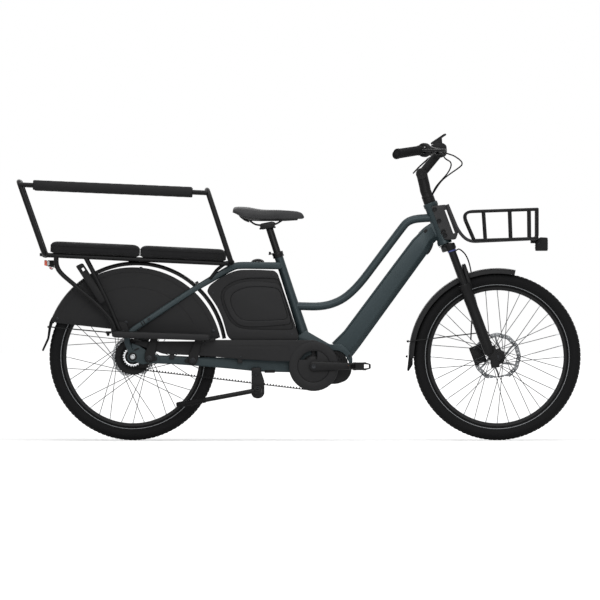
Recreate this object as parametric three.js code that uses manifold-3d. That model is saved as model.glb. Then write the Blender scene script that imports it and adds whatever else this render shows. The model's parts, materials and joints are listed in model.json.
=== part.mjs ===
// Longtail cargo bike with a mid motor, a belt drive, a two-seat rear rack and a front basket.
// Millimetres. +X is ahead, +Y is the rider's left, +Z is up, and the tyres stand on Z = 0.
import * as THREE from 'three';
import { mergeVertices } from 'three/addons/utils/BufferGeometryUtils.js';
import Module from 'manifold-3d';

const wasm = await Module();
wasm.setup();

// Fits
const seatGap = 0.3; // between pieces that rest on each other
const overrun = 2; // how far a cut runs past the face it opens

// Wheels
const wheelbase = 1368.5;
const tyreRadius = 315;
const tyreWidth = 60;
const treadWidth = 34;
const tyreSections = 36;
const tyreHeight = 54; // from the rim's edge to the tread
const rimDepth = 12;
const tyreBellyShare = 0.52; // the widest place, as a share of the tyre's height
const rimSeatRadius = tyreRadius - tyreHeight;
const rimInnerRadius = rimSeatRadius - rimDepth;
const rimWidth = 27;
const beadWidth = 24;
const spokeCount = 36;
const spokeRadius = 1.3;
const spokeSpread = 1.7; // either side of a flange's middle
const spokeFlangeTurn = 62; // degrees between a spoke's flange hole and its rim hole
const frontAxleRadius = 6;
const frontHubRadius = 17;
const frontFlangeRadius = 29;
const frontFlangeSide = 29;
const rearAxleRadius = 6.5;
const rearHubRadius = 58;
const rearFlangeRadius = 66;
const rearFlangeSide = 31;
const rotorThickness = 2.2;
const frontRotorRadius = 90;
const rearRotorRadius = 80;
const rotorBandWidth = 17;
const rotorArmWidth = 9;
const rotorArmCount = 6;
const rotorCarrierRadius = 24;
const frontRotorSide = 41.5;
const rearRotorSide = 47.5;

// Belt drive
const beltSide = 46;
const beltWidth = 11;
const beltThickness = 4.5;
const sprocketRadius = 42;
const beltRingRadius = 87.5;
const beltRingDepth = 12;
const spiderArmCount = 5;
const spiderArmWidth = 17;
const crankLength = 172;
const crankArmWidth = 30;
const crankArmThickness = 13;
const crankArmSide = 86; // inner face of each arm
const spindleRadius = 11;
const crankBossRadius = 18;
const pedalLength = 84;
const pedalWidth = 94;
const pedalThickness = 30;
const pedalPinRadius = 7;
const pedalPinLength = 12;

// Frame tubes
const headTilt = 20.2; // degrees from upright
const headTubeLength = 165;
const headTubeRadius = 25;
const steererRadius = 15;
const downTubeWidth = 70;
const downTubeBevel = 10;
const downTubeWall = 4;
const lidWidth = 42;
const lidThickness = 5;
const topTubeRadius = 15.5;
const topTubeBend = 95;
const seatTubeTopRadius = 16.5;
const seatTubeLowRadius = 21;
const seatPostRadius = 13.6;
const seatTubeBoreDepth = 300;
const motorBracketWidth = 76;
const stayHeight = 21;
const stayWidth = 14;
const stayFrontSide = 32;
const stayRearSide = 72;
const chainStayFrontSide = 27;
const chainStayRearSide = 63;
const chainStayWidth = 16;
const dropoutSide = 68;
const dropoutThickness = 8;
const dropoutRadius = 21;
const motorRightSide = 37;
const motorLeftSide = 58;
const motorRadius = 64;
const motorFinDepth = 5;
const motorFinCount = 5;
const motorFinWidth = 5;

// Covers, guards and footboards
const beltCoverSide = 75; // inner face
const beltCoverThickness = 8;
const beltCoverRingRadius = 93;
const beltCoverOpening = 60;
const coverTabWidth = 20;
const coverTabHeight = 22;
const sideCoverWidth = 64;
const sideCoverWall = 3;
const sideCoverBevel = 9;
const wheelGap = 38; // tyre to side cover
const guardGap = 21; // tyre to the wheel guard's edge
const guardRadius = tyreRadius + guardGap;
const guardSide = 45;
const guardThickness = 3;
const guardBossRadius = 8;
const guardWireGap = 1;
const fenderWidth = 72;
const fenderThickness = 2.5;
const fenderDepth = 15;
const fenderGap = 9;
const rearFenderLift = 32;
const frontFenderGap = 18;
const wireRadius = 3;
const footboardInnerSide = 93;
const footboardWidth = 66;
const footboardThickness = 23;
const footBossRadius = 19;
const footArmWidth = 24;
const footArmThickness = 8;

// Rear rack, cushions and rail
const rackRailSide = 95;
const rackRailRadius = 8.5;
const rackCrossRadius = 6;
const rackStayRadius = 8;
const rackFootSide = 88;
const rackBracketThickness = 5;
const cushionWidth = 220;
const cushionHeight = 45.2;
const cushionCrown = 5;
const cushionDraw = 5;
const railHoopSide = 185;
const railHoopRadius = 9.5;
const railBarRadius = 8;
const railHoopBend = 45;
const foamRadius = 19;

// Front end
const forkLegSide = 66;
const forkLegAhead = 14.5;
const stanchionRadius = 14;
const lowerRadius = 20.5;
const lowerTopDrop = 331; // below the top of the head tube, along the steering axis
const forkOffset = 37.5;
const forkTravel = 50;
const crownHeight = 24;
const crownDepth = 40;
const crownGap = 4;
const archThickness = 16;
const archAhead = 38;
const stemRadius = 21;
const stemArmRadius = 17;
const handlebarRadius = 11;
const handlebarClampRadius = 16;
const handlebarHalf = 340;
const gripInnerSide = 228;
const gripRadius = 17;
const gripBack = 163; // grip ends behind the clamp
const gripStartBack = 74;
const shifterLength = 24;
const shifterRadius = 27;
const shifterSlack = 2.1; // for the bar's bend inside the turning collar
const leverRadius = 6;
const leverLength = 150;
const displayWidth = 64;
const displayThickness = 9;
const hoseRadius = 2.6;
const hoseSide = 9;
const hoseSpread = 96;
const rackPlateSide = 30;
const rackPlateThickness = 4;
const basketHalf = 150;
const basketRodRadius = 5.5;
const basketTongueWidth = 120;
const basketTongueThickness = 6;
const basketSlatCount = 4;
const headlightWidth = 66;

// Seat
const saddleWidth = 180;
const railSide = 22;
const railRadius = 3.5;

// Stand
const standBarHeight = 22;
const standBlockSide = 58;
const standBlockOuter = 76;
const standKnuckleRadius = 15;
const standKnuckleLength = 20;
const standLegRadius = 8.5;
const standFootRadius = 10.5;
const standLegLength = 306;
const standLegDrop = 57;
const standLegFlare = 10;
const standOpenBack = 80;
const standOpenDrop = 215;
const standOpenFlare = 205;

// Places read from the side view in picture points, right and down
const wheelbasePixels = 364.25;
const rearAxlePixels = [132.9, 356.7];
const headTopPixels = [430, 203];
const crankPixels = [313.7, 366.1];
const seatTubePixels = [[277.2, 252.3], [305.9, 341.3]];
const downTubePixels = [[351, 357.6], [431.3, 248.3], [441, 226], [426.5, 226], [400, 257.1], [329.8, 345.1]];
const lidPixels = [[342, 333.5], [397.6, 263.5]];
const topTubePixels = [[294.5, 306.2], [327.9, 306.9], [352.8, 293.5], [400, 230.4], [409, 219.2], [433, 217.6]];
const bracketPixels = [[296, 337], [306, 330.5], [329.8, 344.3], [342, 344.3], [352.5, 357], [349, 361],
  [338, 350.5], [322, 350.5], [314, 344.5], [300, 347]];
const stayPixels = [[280, 266.6], [239.9, 265.3], [233.4, 266.4], [190, 291.7], [147.1, 320.4], [131, 331],
  [125.9, 339.5], [131.3, 352]];
const stayBendPixels = 8;
const chainStayPixels = [[137, 358.1], [175, 360.2], [230.1, 362.7], [291.5, 368.5]];
const gussetPixels = [[131.5, 346], [148, 350], [147, 364], [134, 364.5]];
const motorPixels = [[300, 349], [314, 346.5], [337.5, 352.5], [347.5, 362.8], [352, 364], [352, 376],
  [345, 381.5], [320, 383], [298, 376], [293, 366]];
const beltCoverPixels = [[133.9, 341.3], [313.7, 341.3], [330, 346.6], [322, 360], [298, 360], [278.2, 361.3],
  [245.8, 359.4], [198.9, 355.7], [163.5, 353.8], [146.7, 348], [134.4, 343.4]];
const coverTabPixels = [[172, 356.5], [240, 360.5]];
const sideCoverPixels = [[234.2, 269.6], [272.6, 271.6], [295.8, 338.4], [226.5, 338.4]];
const sideCoverCornerPixels = [[206.3, 292.9], [207.4, 283.9]];
const sidePanelPixels = [[224, 326], [288, 326], [276, 281], [226, 281]];
const guardEdgePixels = [[56.8, 323], [113, 329.1], [216.2, 338.9]];
const rackRailPixels = [[46.7, 255.1], [227.8, 263.6]];
const rackStayPixels = [
  [[56.2, 256.5], [56.2, 265.2], [60.1, 272.9], [96.3, 303], [111.9, 319.5], [115.6, 330]],
  [[86.1, 258.3], [93.8, 272.9], [107.9, 301.4], [120, 330]],
];
const rackFootPixels = [[110, 322], [126, 322], [130, 331], [126.5, 337], [112, 335]];
const rackBracketPixels = [[82.5, 263], [76, 266.2], [100.5, 304], [107, 300.5]];
const rackCrossPixels = [[93.8, 257.3], [132.9, 259.1], [180, 261.3]];
const cushionPixels = [[[50.7, 241.4], [139.3, 245.4]], [[140.9, 245.6], [226.1, 249.8]]];
const railHoopPixels = [[[45.3, 254.6], [19.7, 182]], [[231.2, 262.4], [207.3, 190.2]]];
const foamShares = [0.075, 0.92];
const footboardPixels = [[112.4, 333.5], [210.1, 336.9]];
const footBossPixels = [[149.4, 358.4], [192.8, 360.7]];
const footArmPixels = [[154.7, 334.5], [199.2, 336]];
const tailLightPixels = [[47.5, 260.3], [54.6, 260.3], [54.6, 267.4], [47.5, 266.4]];
const tailLensPixels = [[44.6, 260], [47.3, 260.3], [47.3, 266.4], [44.6, 265.3]];
const standPixels = [[251.5, 371], [261, 371], [264.5, 381], [264.5, 394], [261, 398.6], [254, 398.6],
  [251.1, 394], [251.5, 381]];
const standPivotPixels = [258, 390];
const stemPivotPixels = [421.7, 173.8];
const barPixels = [439.8, 151.8];
const stemLeverPixels = [[413, 173.4], [427.5, 159.4]];
const displayPixels = [[430.9, 143.9], [445.8, 133.9]];
const hosePixels = [
  [[446.5, 153.6], [453.9, 156.2], [460.3, 160.6], [461.9, 164], [459.1, 167.5], [442.5, 180], [432.4, 194.5]],
  [[445.5, 158.2], [450.4, 161.7], [451, 166.3], [447, 173.9], [436.6, 185.9], [432, 194.5]],
];
const rackPlatePixels = [[431, 206.1], [446.2, 204.5], [458.3, 231.5], [456, 239.5], [443.8, 239.9], [436, 226]];
const rackBossPixels = [[434.2, 210.5], [442.3, 232.8]];
const tonguePixels = [[445.8, 204.5], [457.9, 231.4], [468.4, 241.8], [535.1, 238.8]];
const basketTopPixels = [[465.6, 217], [471.7, 211.7], [536.7, 209.3]];
const basketFloorPixels = [[474.1, 240.4], [536.7, 238.4]];
const basketPostPixels = [485.3, 510.6, 529.2];
const headlightPixels = [[535.1, 250.8], [535.1, 241.2], [540, 237.1], [547.9, 237.6], [547.9, 250.8]];
const headlightArmPixels = [[530.5, 239], [537.5, 239], [537.5, 243.5], [530.5, 243.5]];
const seatHeadPixels = [[262, 230], [274.5, 227.5], [275.8, 222.5], [272, 221.3], [260.5, 223.5], [259.6, 227]];
const saddleRailPixels = [[250, 221], [256, 225.4], [275, 224.9], [282, 220.4]];
const saddleTopPixels = [[232.3, 211.2], [236, 206.9], [248, 206.9], [262, 209.3], [280, 209.9], [296, 211.3], [303.9, 217.6]];
const saddleLowPixels = [[232.3, 212], [237, 214.4], [248, 219.4], [262, 220.3], [280, 220], [296, 219.3], [303.9, 218.6]];
const saddleWidthShares = [0.5, 0.86, 1, 0.72, 0.34, 0.24, 0.1];
const clampLeverPixels = [[268.4, 254.6], [278, 252.8]];

const guardBossPixels = [196, 158];
const rearFlapPixels = [[49, 327], [47.6, 338], [41.9, 350.3], [43.6, 351.5], [49.4, 339], [51.2, 328], [54.6, 318]];
const fenderWirePixels = [[50, 326.9], [108.4, 332.4]];
const rackLugPixels = [[224, 264.2], [217, 269.7], [210, 279]];
const lightArmPixels = [[45, 253.2], [56, 254], [56, 268], [54.3, 268], [54.3, 256.8], [45, 256.4]];
const barDropPixels = 2.7;
const frontFlapPixels = [[412, 345], [408.6, 358], [409.5, 371.5], [406.5, 371.1], [405.5, 358]];
const frontWirePixels = [481, 332.6];
const gripEndPixels = [[395.6, 154], [419.3, 150.3]];
const forkHosePixels = [[455, 251.5], [459.5, 249.2], [466.5, 256], [471, 270], [474, 296], [472, 322], [471, 340]];

// Sizes of small pieces
const rearHubNeck = 22;
const axleNut = 8;
const clampSlack = 0.8;
const perchLength = 34;
const foamSlack = 0.6;
const hubSections = 10;
const boreSides = 12;
const beltSlack = 0.6;
const footboardBevel = 4;
const stemBaseHeight = 32;
const rearHubEndRadius = 13;
const rearHubEndSide = 51.1;
const bracketBevel = 3;
const chainStayHeight = 26;
const rackLugSide = 62;
const lightArmWidth = 36;
const cushionCornerShare = 0.04;
const tailLightWidth = 64;
const rackBossRadius = 7;
const rotorCaliperBack = 8;
const caliperLength = 46;
const caliperHalf = 12;
const caliperDepth = 15;
const saddleDrawShare = 0.14;
const clampHeight = 20;
const clampWall = 4.5;
const clampLeverRadius = 3.5;
const postBottomGap = 85;
const steererTop = 18;
const stanchionDrop = 455;
const lowerEndDrop = 610;
const dropoutEyeRadius = 17;
const archTop = -262;
const fenderMountRadius = 8;
const stemClampHalf = 24;
const stemLeverSide = 27;
const barFlat = 110;
const leverReach = 52;
const leverPivotOut = 30;
const leverKnuckleRadius = 9;
const leverKnuckleHalf = 8;
const leverEarThickness = 7;
const mountWall = 5;
const mountRadius = 10;
const mountNeckRadius = 7;
const mountTail = 20;
const mountNose = 34;
const forkHoseSides = [22, 44, 74, 90, 90, 84, 60];

// Angles in degrees about the axle, from straight ahead and rising
const rearFenderFrom = 47;
const rearFenderTo = 159;
const frontFenderFrom = 78;
const frontFenderTo = 181;
const guardFrom = 12;
const guardTo = 156;

// Materials: colour, roughness, metalness
const finishes = {
  paint: ['#46545a', 0.4, 0.3],
  black: ['#1c1d1e', 0.5, 0.1],
  plastic: ['#262829', 0.6, 0],
  rubber: ['#151515', 0.9, 0],
  alloy: ['#2b2c2d', 0.4, 0.7],
  steel: ['#a9acae', 0.3, 0.9],
  cushion: ['#1b1c1e', 0.85, 0],
  lens: ['#c8321e', 0.2, 0],
};

const toRadians = THREE.MathUtils.degToRad;
const axleHeight = tyreRadius * Math.cos(Math.PI / tyreSections);
const pixel = wheelbase / wheelbasePixels;
const V = (x, y, z) => new THREE.Vector3(x, y, z);

// A picture point as a place on the bike, a given distance to the left of its middle plane
function spot([right, down], side = 0) {
  return V((right - rearAxlePixels[0]) * pixel, side, axleHeight + (rearAxlePixels[1] - down) * pixel);
}
const flat = (pixels) => pixels.map((pair) => spot(pair)).map(({ x, z }) => new THREE.Vector2(x, z));
// Corner radius of a faceted bore whose flats clear a round shaft of a given radius
const clearing = (radius) => (radius + seatGap) / Math.cos(Math.PI / boreSides);
const between = (from, to, share) => from.clone().lerp(to, share);

const rearAxle = V(0, 0, axleHeight);
const frontAxle = V(wheelbase, 0, axleHeight);
const crank = spot(crankPixels);
const headTop = spot(headTopPixels);
const steerAxis = V(-Math.sin(toRadians(headTilt)), 0, Math.cos(toRadians(headTilt)));
const steerAhead = V(steerAxis.z, 0, -steerAxis.x);
const headLow = headTop.clone().addScaledVector(steerAxis, -headTubeLength);

// A place measured from the top of the head tube: ahead of the steering axis, to the left, and along it
function steered(ahead, side, along) {
  return headTop.clone().addScaledVector(steerAhead, ahead).addScaledVector(steerAxis, along).add(V(0, side, 0));
}
// How far a place lies ahead of the steering axis and along it
function inSteering(place) {
  const offset = place.clone().sub(headTop);
  return [offset.dot(steerAhead), offset.dot(steerAxis)];
}

// Solids
function solid(geometry) {
  const bare = geometry.clone();
  bare.deleteAttribute('normal');
  bare.deleteAttribute('uv');
  const merged = mergeVertices(bare);
  const corners = merged.index.array;
  const kept = [];
  for (let i = 0; i < corners.length; i += 3) {
    const [a, b, c] = corners.slice(i, i + 3);
    if (a !== b && b !== c && c !== a) kept.push(a, b, c);
  }
  const vertProperties = new Float32Array(merged.attributes.position.array);
  return new wasm.Manifold(new wasm.Mesh({ numProp: 3, vertProperties, triVerts: new Uint32Array(kept) }));
}
const join = (...pieces) => pieces.flat().reduce((sum, piece) => sum.add(piece));
const cut = (body, ...tools) => tools.flat().reduce((rest, tool) => rest.subtract(tool), body);
function surface(made) {
  const mesh = made.getMesh();
  const geometry = new THREE.BufferGeometry();
  geometry.setAttribute('position', new THREE.BufferAttribute(new Float32Array(mesh.vertProperties), 3));
  geometry.setIndex(new THREE.BufferAttribute(new Uint32Array(mesh.triVerts), 1));
  return geometry;
}
// A solid with a thin skin of clearance, for cutting what rests on it
function grown(made, gap = seatGap) {
  const steps = [V(gap, 0, 0), V(-gap, 0, 0), V(0, gap, 0), V(0, -gap, 0), V(0, 0, gap), V(0, 0, -gap)];
  return join(steps.map(({ x, y, z }) => solid(surface(made).translate(x, y, z))));
}

// A path through given places whose sections stand upright to a fixed sideways direction
class BentPath extends THREE.Curve {
  constructor(places, across) {
    super();
    this.places = places;
    this.across = across;
  }
  getPointAt(share, target = V()) {
    const reach = share * (this.places.length - 1);
    const index = Math.min(Math.floor(reach), this.places.length - 2);
    return target.lerpVectors(this.places[index], this.places[index + 1], reach - index);
  }
  computeFrenetFrames(steps) {
    const tangents = [];
    const normals = [];
    const binormals = [];
    for (let i = 0; i <= steps; i += 1) {
      const before = this.places[Math.max(i - 1, 0)];
      const after = this.places[Math.min(i + 1, steps)];
      const tangent = after.clone().sub(before).normalize();
      const binormal = tangent.clone().cross(this.across).normalize();
      tangents.push(tangent);
      binormals.push(binormal);
      normals.push(binormal.clone().cross(tangent).normalize());
    }
    return { tangents, normals, binormals };
  }
}
const round = (radius, sides) => Array.from({ length: sides }, (_, i) => {
  const turn = (2 * Math.PI * (i + 0.5)) / sides;
  return new THREE.Vector2(radius * Math.cos(turn), radius * Math.sin(turn));
});
const oblong = (width, height) => [[-1, -1], [1, -1], [1, 1], [-1, 1]].map(
  ([a, b]) => new THREE.Vector2((a * width) / 2, (b * height) / 2),
);
function sweep(section, places, across = V(0, 1, 0)) {
  const path = new BentPath(places, across);
  const shape = new THREE.Shape(section);
  return solid(new THREE.ExtrudeGeometry(shape, { steps: places.length - 1, extrudePath: path, curveSegments: 1 }));
}
function acrossOf(from, to) {
  const along = to.clone().sub(from).normalize();
  return Math.abs(along.y) > 0.9 ? V(1, 0, 0) : V(0, 1, 0);
}
const rod = (from, to, radius, sides = 8) => sweep(round(radius, sides), [from, to], acrossOf(from, to));
// Corners of a route rounded to arcs of a given reach
function bent(places, reach, steps = 2) {
  const route = [places[0]];
  for (let i = 1; i < places.length - 1; i += 1) {
    const [before, corner, after] = [places[i - 1], places[i], places[i + 1]];
    const inLength = Math.min(reach, before.distanceTo(corner) * 0.49);
    const outLength = Math.min(reach, after.distanceTo(corner) * 0.49);
    const start = corner.clone().lerp(before, inLength / before.distanceTo(corner));
    const end = corner.clone().lerp(after, outLength / after.distanceTo(corner));
    route.push(...new THREE.QuadraticBezierCurve3(start, corner, end).getPoints(steps));
  }
  route.push(places[places.length - 1]);
  return route;
}
const tube = (places, radius, reach = 30, sides = 6, across = undefined, steps = 2) =>
  sweep(round(radius, sides), bent(places, reach, steps), across);

// An outline in the side view, made into a plate between two distances to the left
function plate(outline, from, to, bevel = 0, holes = [], grow = 0) {
  const [low, high] = [Math.min(from, to) - grow, Math.max(from, to) + grow];
  const shape = new THREE.Shape(outline);
  shape.holes = holes.map((hole) => new THREE.Path(hole));
  const geometry = new THREE.ExtrudeGeometry(shape, {
    depth: high - low - 2 * bevel, steps: 1, curveSegments: 1,
    bevelEnabled: bevel > 0, bevelThickness: bevel, bevelSize: bevel, bevelOffset: grow - bevel, bevelSegments: 1,
  });
  geometry.rotateX(Math.PI / 2);
  geometry.translate(0, high - bevel, 0);
  return solid(geometry);
}
function box(low, high) {
  const size = high.clone().sub(low);
  const middle = between(low, high, 0.5);
  return solid(new THREE.BoxGeometry(size.x, size.y, size.z).translate(middle.x, middle.y, middle.z));
}
// Points of an arc in the side view, angles in degrees from straight ahead and rising
function arc(centre, radius, from, to, count) {
  return Array.from({ length: count + 1 }, (_, i) => {
    const turn = toRadians(from + ((to - from) * i) / count);
    return new THREE.Vector2(centre.x + radius * Math.cos(turn), centre.z + radius * Math.sin(turn));
  });
}
// A ring or disc about an axle across the bike, from a closed profile of [radius, side] pairs
function turned(profile, centre, sections = 20) {
  const points = profile.map(([radius, side]) => new THREE.Vector2(radius, side));
  const closed = points[0].x === 0 ? points : [...points, points[0].clone()];
  const geometry = new THREE.LatheGeometry(closed, sections, Math.PI / sections);
  geometry.translate(centre.x, centre.y, centre.z);
  const made = solid(geometry);
  if (made.volume() > 0) return made;
  return turned([...profile].reverse(), centre, sections);
}
const ringBand = (inner, outer, from, to) => [[inner, from], [outer, from], [outer, to], [inner, to]];
const disc = (radius, from, to) => [[0, from], [radius, from], [radius, to], [0, to]];

const bike = new THREE.Group();
function add(name, made, finish, group = bike) {
  const [color, roughness, metalness] = finishes[finish];
  const piece = new THREE.Mesh(surface(made), new THREE.MeshStandardMaterial({ color, roughness, metalness }));
  piece.name = name;
  group.add(piece);
  return made;
}
// Both sides of a mirrored pair: right is the drive side
const bothSides = (make) => [['right', -1], ['left', 1]].forEach(([word, side]) => make(word, side));

// Wheels
function tyre() {
  const half = tyreWidth / 2;
  const tread = treadWidth / 2;
  const bead = beadWidth / 2;
  const seat = rimSeatRadius + seatGap;
  const belly = seat + (tyreRadius - seat) * tyreBellyShare;
  const profile = [[seat, -bead], [belly, -half], [tyreRadius, -tread], [tyreRadius, tread], [belly, half], [seat, bead]];
  return turned(profile, V(0, 0, 0), tyreSections);
}
function spokes(flangeRadius, flangeSide) {
  const step = (2 * Math.PI) / spokeCount;
  return Array.from({ length: spokeCount }, (_, i) => {
    const side = i % 2 ? 1 : -1;
    const lean = (Math.floor(i / 2) % 2 ? 1 : -1) * toRadians(spokeFlangeTurn);
    const rimTurn = i * step;
    const hubTurn = rimTurn + lean;
    const onHub = V(Math.cos(hubTurn), 0, Math.sin(hubTurn)).multiplyScalar(flangeRadius * 0.92);
    const onRim = V(Math.cos(rimTurn), 0, Math.sin(rimTurn)).multiplyScalar((rimInnerRadius + rimSeatRadius) / 2);
    onHub.y = side * flangeSide + Math.sign(lean) * spokeSpread;
    onRim.y = (side * rimWidth) / 6 + Math.sign(lean) * spokeSpread;
    return rod(onHub, onRim, spokeRadius, 3);
  });
}
function wheel(hubProfile, bore, flangeRadius, flangeSide) {
  const half = rimWidth / 2;
  const rim = turned([[rimInnerRadius, -half * 0.6], [rimSeatRadius, -half], [rimSeatRadius, half],
    [rimInnerRadius, half * 0.6]], V(0, 0, 0), tyreSections);
  const hub = turned(hubProfile, V(0, 0, 0), hubSections);
  const hole = turned(disc(bore, -hubReach, hubReach), V(0, 0, 0), 12);
  return cut(join(rim, hub, spokes(flangeRadius, flangeSide)), hole);
}
const hubReach = dropoutSide + dropoutThickness;
function hubShape(shellRadius, flangeRadius, flangeSide, endRadius, endSide) {
  const flange = flangeSide + 3;
  const inner = flangeSide - 3;
  return [[0, -endSide], [endRadius, -endSide], [endRadius, -flange], [flangeRadius, -flange], [flangeRadius, -inner],
    [shellRadius, -inner], [shellRadius, inner], [flangeRadius, inner], [flangeRadius, flange], [endRadius, flange],
    [endRadius, endSide], [0, endSide]];
}
function rotor(radius, side, boreRadius) {
  const half = rotorThickness / 2;
  const inner = radius - rotorBandWidth;
  const band = turned(ringBand(inner, radius, side - half, side + half), V(0, 0, 0));
  const carrier = turned(ringBand(boreRadius, rotorCarrierRadius, side - half, side + half), V(0, 0, 0), hubSections);
  const arms = Array.from({ length: rotorArmCount }, (_, i) => {
    const turn = (2 * Math.PI * i) / rotorArmCount;
    const start = V(Math.cos(turn), 0, Math.sin(turn)).multiplyScalar(rotorCarrierRadius - half).setY(side);
    const end = V(Math.cos(turn + 0.6), 0, Math.sin(turn + 0.6)).multiplyScalar(inner + half).setY(side);
    return sweep(oblong(rotorThickness, rotorArmWidth), [start, end]);
  });
  return join(band, carrier, arms);
}
const wheelGroup = (place) => {
  const group = new THREE.Group();
  group.position.copy(place);
  bike.add(group);
  return group;
};
const frontHubEnd = forkLegSide - lowerRadius * 0.8 - seatGap;
const frontBore = frontAxleRadius + seatGap;
const rotorBore = frontHubRadius + seatGap;
const rearHubEnd = dropoutSide - seatGap;
const sprocketInner = rearAxleRadius + seatGap;
function buildWheels() {
  const front = wheelGroup(frontAxle);
  add('front_tyre', tyre(), 'rubber', front);
  const frontHub = hubShape(frontHubRadius, frontFlangeRadius, frontFlangeSide, frontHubRadius, frontHubEnd);
  add('front_wheel', wheel(frontHub, frontBore, frontFlangeRadius, frontFlangeSide), 'alloy', front);
  add('front_rotor', rotor(frontRotorRadius, frontRotorSide, rotorBore), 'steel', front);
  const rear = wheelGroup(rearAxle);
  add('rear_tyre', tyre(), 'rubber', rear);
  const hub = rearHubShape();
  const halfDisc = rotorThickness / 2;
  const rotorDisc = turned(disc(rearRotorRadius, rearRotorSide - halfDisc, rearRotorSide + halfDisc), V(0, 0, 0), 20);
  const bore = turned(disc(rearAxleRadius + seatGap, -hubReach, hubReach), V(0, 0, 0), 12);
  const rearWheel = join(wheel(hub, rearAxleRadius + seatGap, rearFlangeRadius, rearFlangeSide), cut(rotorDisc, bore));
  add('rear_wheel', rearWheel, 'alloy', rear);
  const half = beltWidth / 2;
  const edge = half + 1;
  const sprocket = turned([[sprocketInner, -beltSide - edge], [sprocketRadius, -beltSide - edge],
    [sprocketRadius, -beltSide + edge], [sprocketInner, -beltSide + edge]], V(0, 0, 0));
  add('rear_sprocket', sprocket, 'alloy', rear);
}
function rearHubShape() {
  const right = -beltSide + beltWidth / 2 + 1 + seatGap;
  const flange = rearFlangeSide + 3;
  const inner = rearFlangeSide - 3;
  return [[0, right], [rearHubNeck, right], [rearHubNeck, -flange], [rearFlangeRadius, -flange], [rearFlangeRadius, -inner],
    [rearHubRadius, -inner], [rearHubRadius, inner], [rearFlangeRadius, inner], [rearFlangeRadius, flange],
    [rearHubNeck, flange], [rearHubNeck, rearHubEndSide], [rearHubEndRadius, rearHubEndSide],
    [rearHubEndRadius, rearHubEnd], [0, rearHubEnd]];
}
// Main frame: head tube, down tube, top tube, seat tube and motor bracket in one weldment
const seatTubeTop = spot(seatTubePixels[0]);
const seatTubeLow = spot(seatTubePixels[1]);
const seatAxis = seatTubeTop.clone().sub(seatTubeLow).normalize();
function cone(from, to, fromRadius, toRadius, sides = 12) {
  const height = from.distanceTo(to);
  const geometry = new THREE.CylinderGeometry(toRadius, fromRadius, height, sides);
  geometry.translate(0, height / 2, 0);
  geometry.applyQuaternion(new THREE.Quaternion().setFromUnitVectors(V(0, 1, 0), to.clone().sub(from).normalize()));
  geometry.translate(from.x, from.y, from.z);
  return solid(geometry);
}
const lidEnds = lidPixels.map((pair) => spot(pair));
const lidAlong = lidEnds[1].clone().sub(lidEnds[0]).normalize();
const lidUp = V(-lidAlong.z, 0, lidAlong.x);
function troughOutline(grow, from, to) {
  const [low, high] = lidEnds;
  return [[low, from, -grow], [high, from, grow], [high, to, grow], [low, to, -grow]].map(([end, rise, along]) => {
    const place = end.clone().addScaledVector(lidUp, rise).addScaledVector(lidAlong, along);
    return new THREE.Vector2(place.x, place.z);
  });
}
const troughDepth = downTubeWidth * 0.72;
function frameTubes(grow) {
  const ends = steerAxis.clone().multiplyScalar(grow);
  const head = rod(headTop.clone().add(ends), headLow.clone().sub(ends), headTubeRadius + grow, 14);
  const down = plate(flat(downTubePixels), -downTubeWidth / 2, downTubeWidth / 2, downTubeBevel, [], grow);
  const seat = cone(seatTubeLow.clone().addScaledVector(seatAxis, -seatTubeLowRadius / 2 - grow),
    seatTubeTop.clone().addScaledVector(seatAxis, grow), seatTubeLowRadius + grow, seatTubeTopRadius + grow);
  const top = tube(topTubePixels.map((pair) => spot(pair)), topTubeRadius + grow, topTubeBend, 8);
  const half = motorBracketWidth / 2;
  const bracket = plate(flat(bracketPixels), -half, half, bracketBevel, [], grow);
  return join(head, down, seat, top, bracket);
}
function mainFrame() {
  const steererBore = rod(steered(0, 0, overrun), steered(0, 0, -headTubeLength - overrun), clearing(steererRadius), boreSides);
  const postBore = rod(seatTubeTop.clone().addScaledVector(seatAxis, overrun),
    seatTubeTop.clone().addScaledVector(seatAxis, -seatTubeBoreDepth), seatPostRadius + seatGap, 12);
  const inside = downTubeWidth / 2 - downTubeWall - downTubeBevel / 2;
  const trough = plate(troughOutline(0, -troughDepth, 0), -inside, inside);
  const mouth = plate(troughOutline(0, -lidThickness, downTubeWidth), -lidWidth / 2, lidWidth / 2);
  return cut(frameTubes(0), steererBore, postBore, trough, mouth);
}
function buildFrame() {
  add('main_frame', mainFrame(), 'paint');
  const lidHalf = lidWidth / 2 - seatGap;
  add('battery_lid', plate(troughOutline(-seatGap, -lidThickness, 0), -lidHalf, lidHalf), 'paint');
  const inside = downTubeWidth / 2 - downTubeWall - downTubeBevel / 2 - seatGap;
  const battery = troughOutline(-seatGap * 2, -troughDepth + seatGap, -lidThickness - seatGap);
  add('battery', plate(battery, -inside, inside), 'black');
}

// Rear triangle
const stayRoute = (side) => {
  const shares = [0, 0.25, 0.3, 0.55, 0.85, 1, 1, 1];
  return stayPixels.map((pair, i) => spot(pair, side * (stayFrontSide + (stayRearSide - stayFrontSide) * shares[i])));
};
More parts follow.
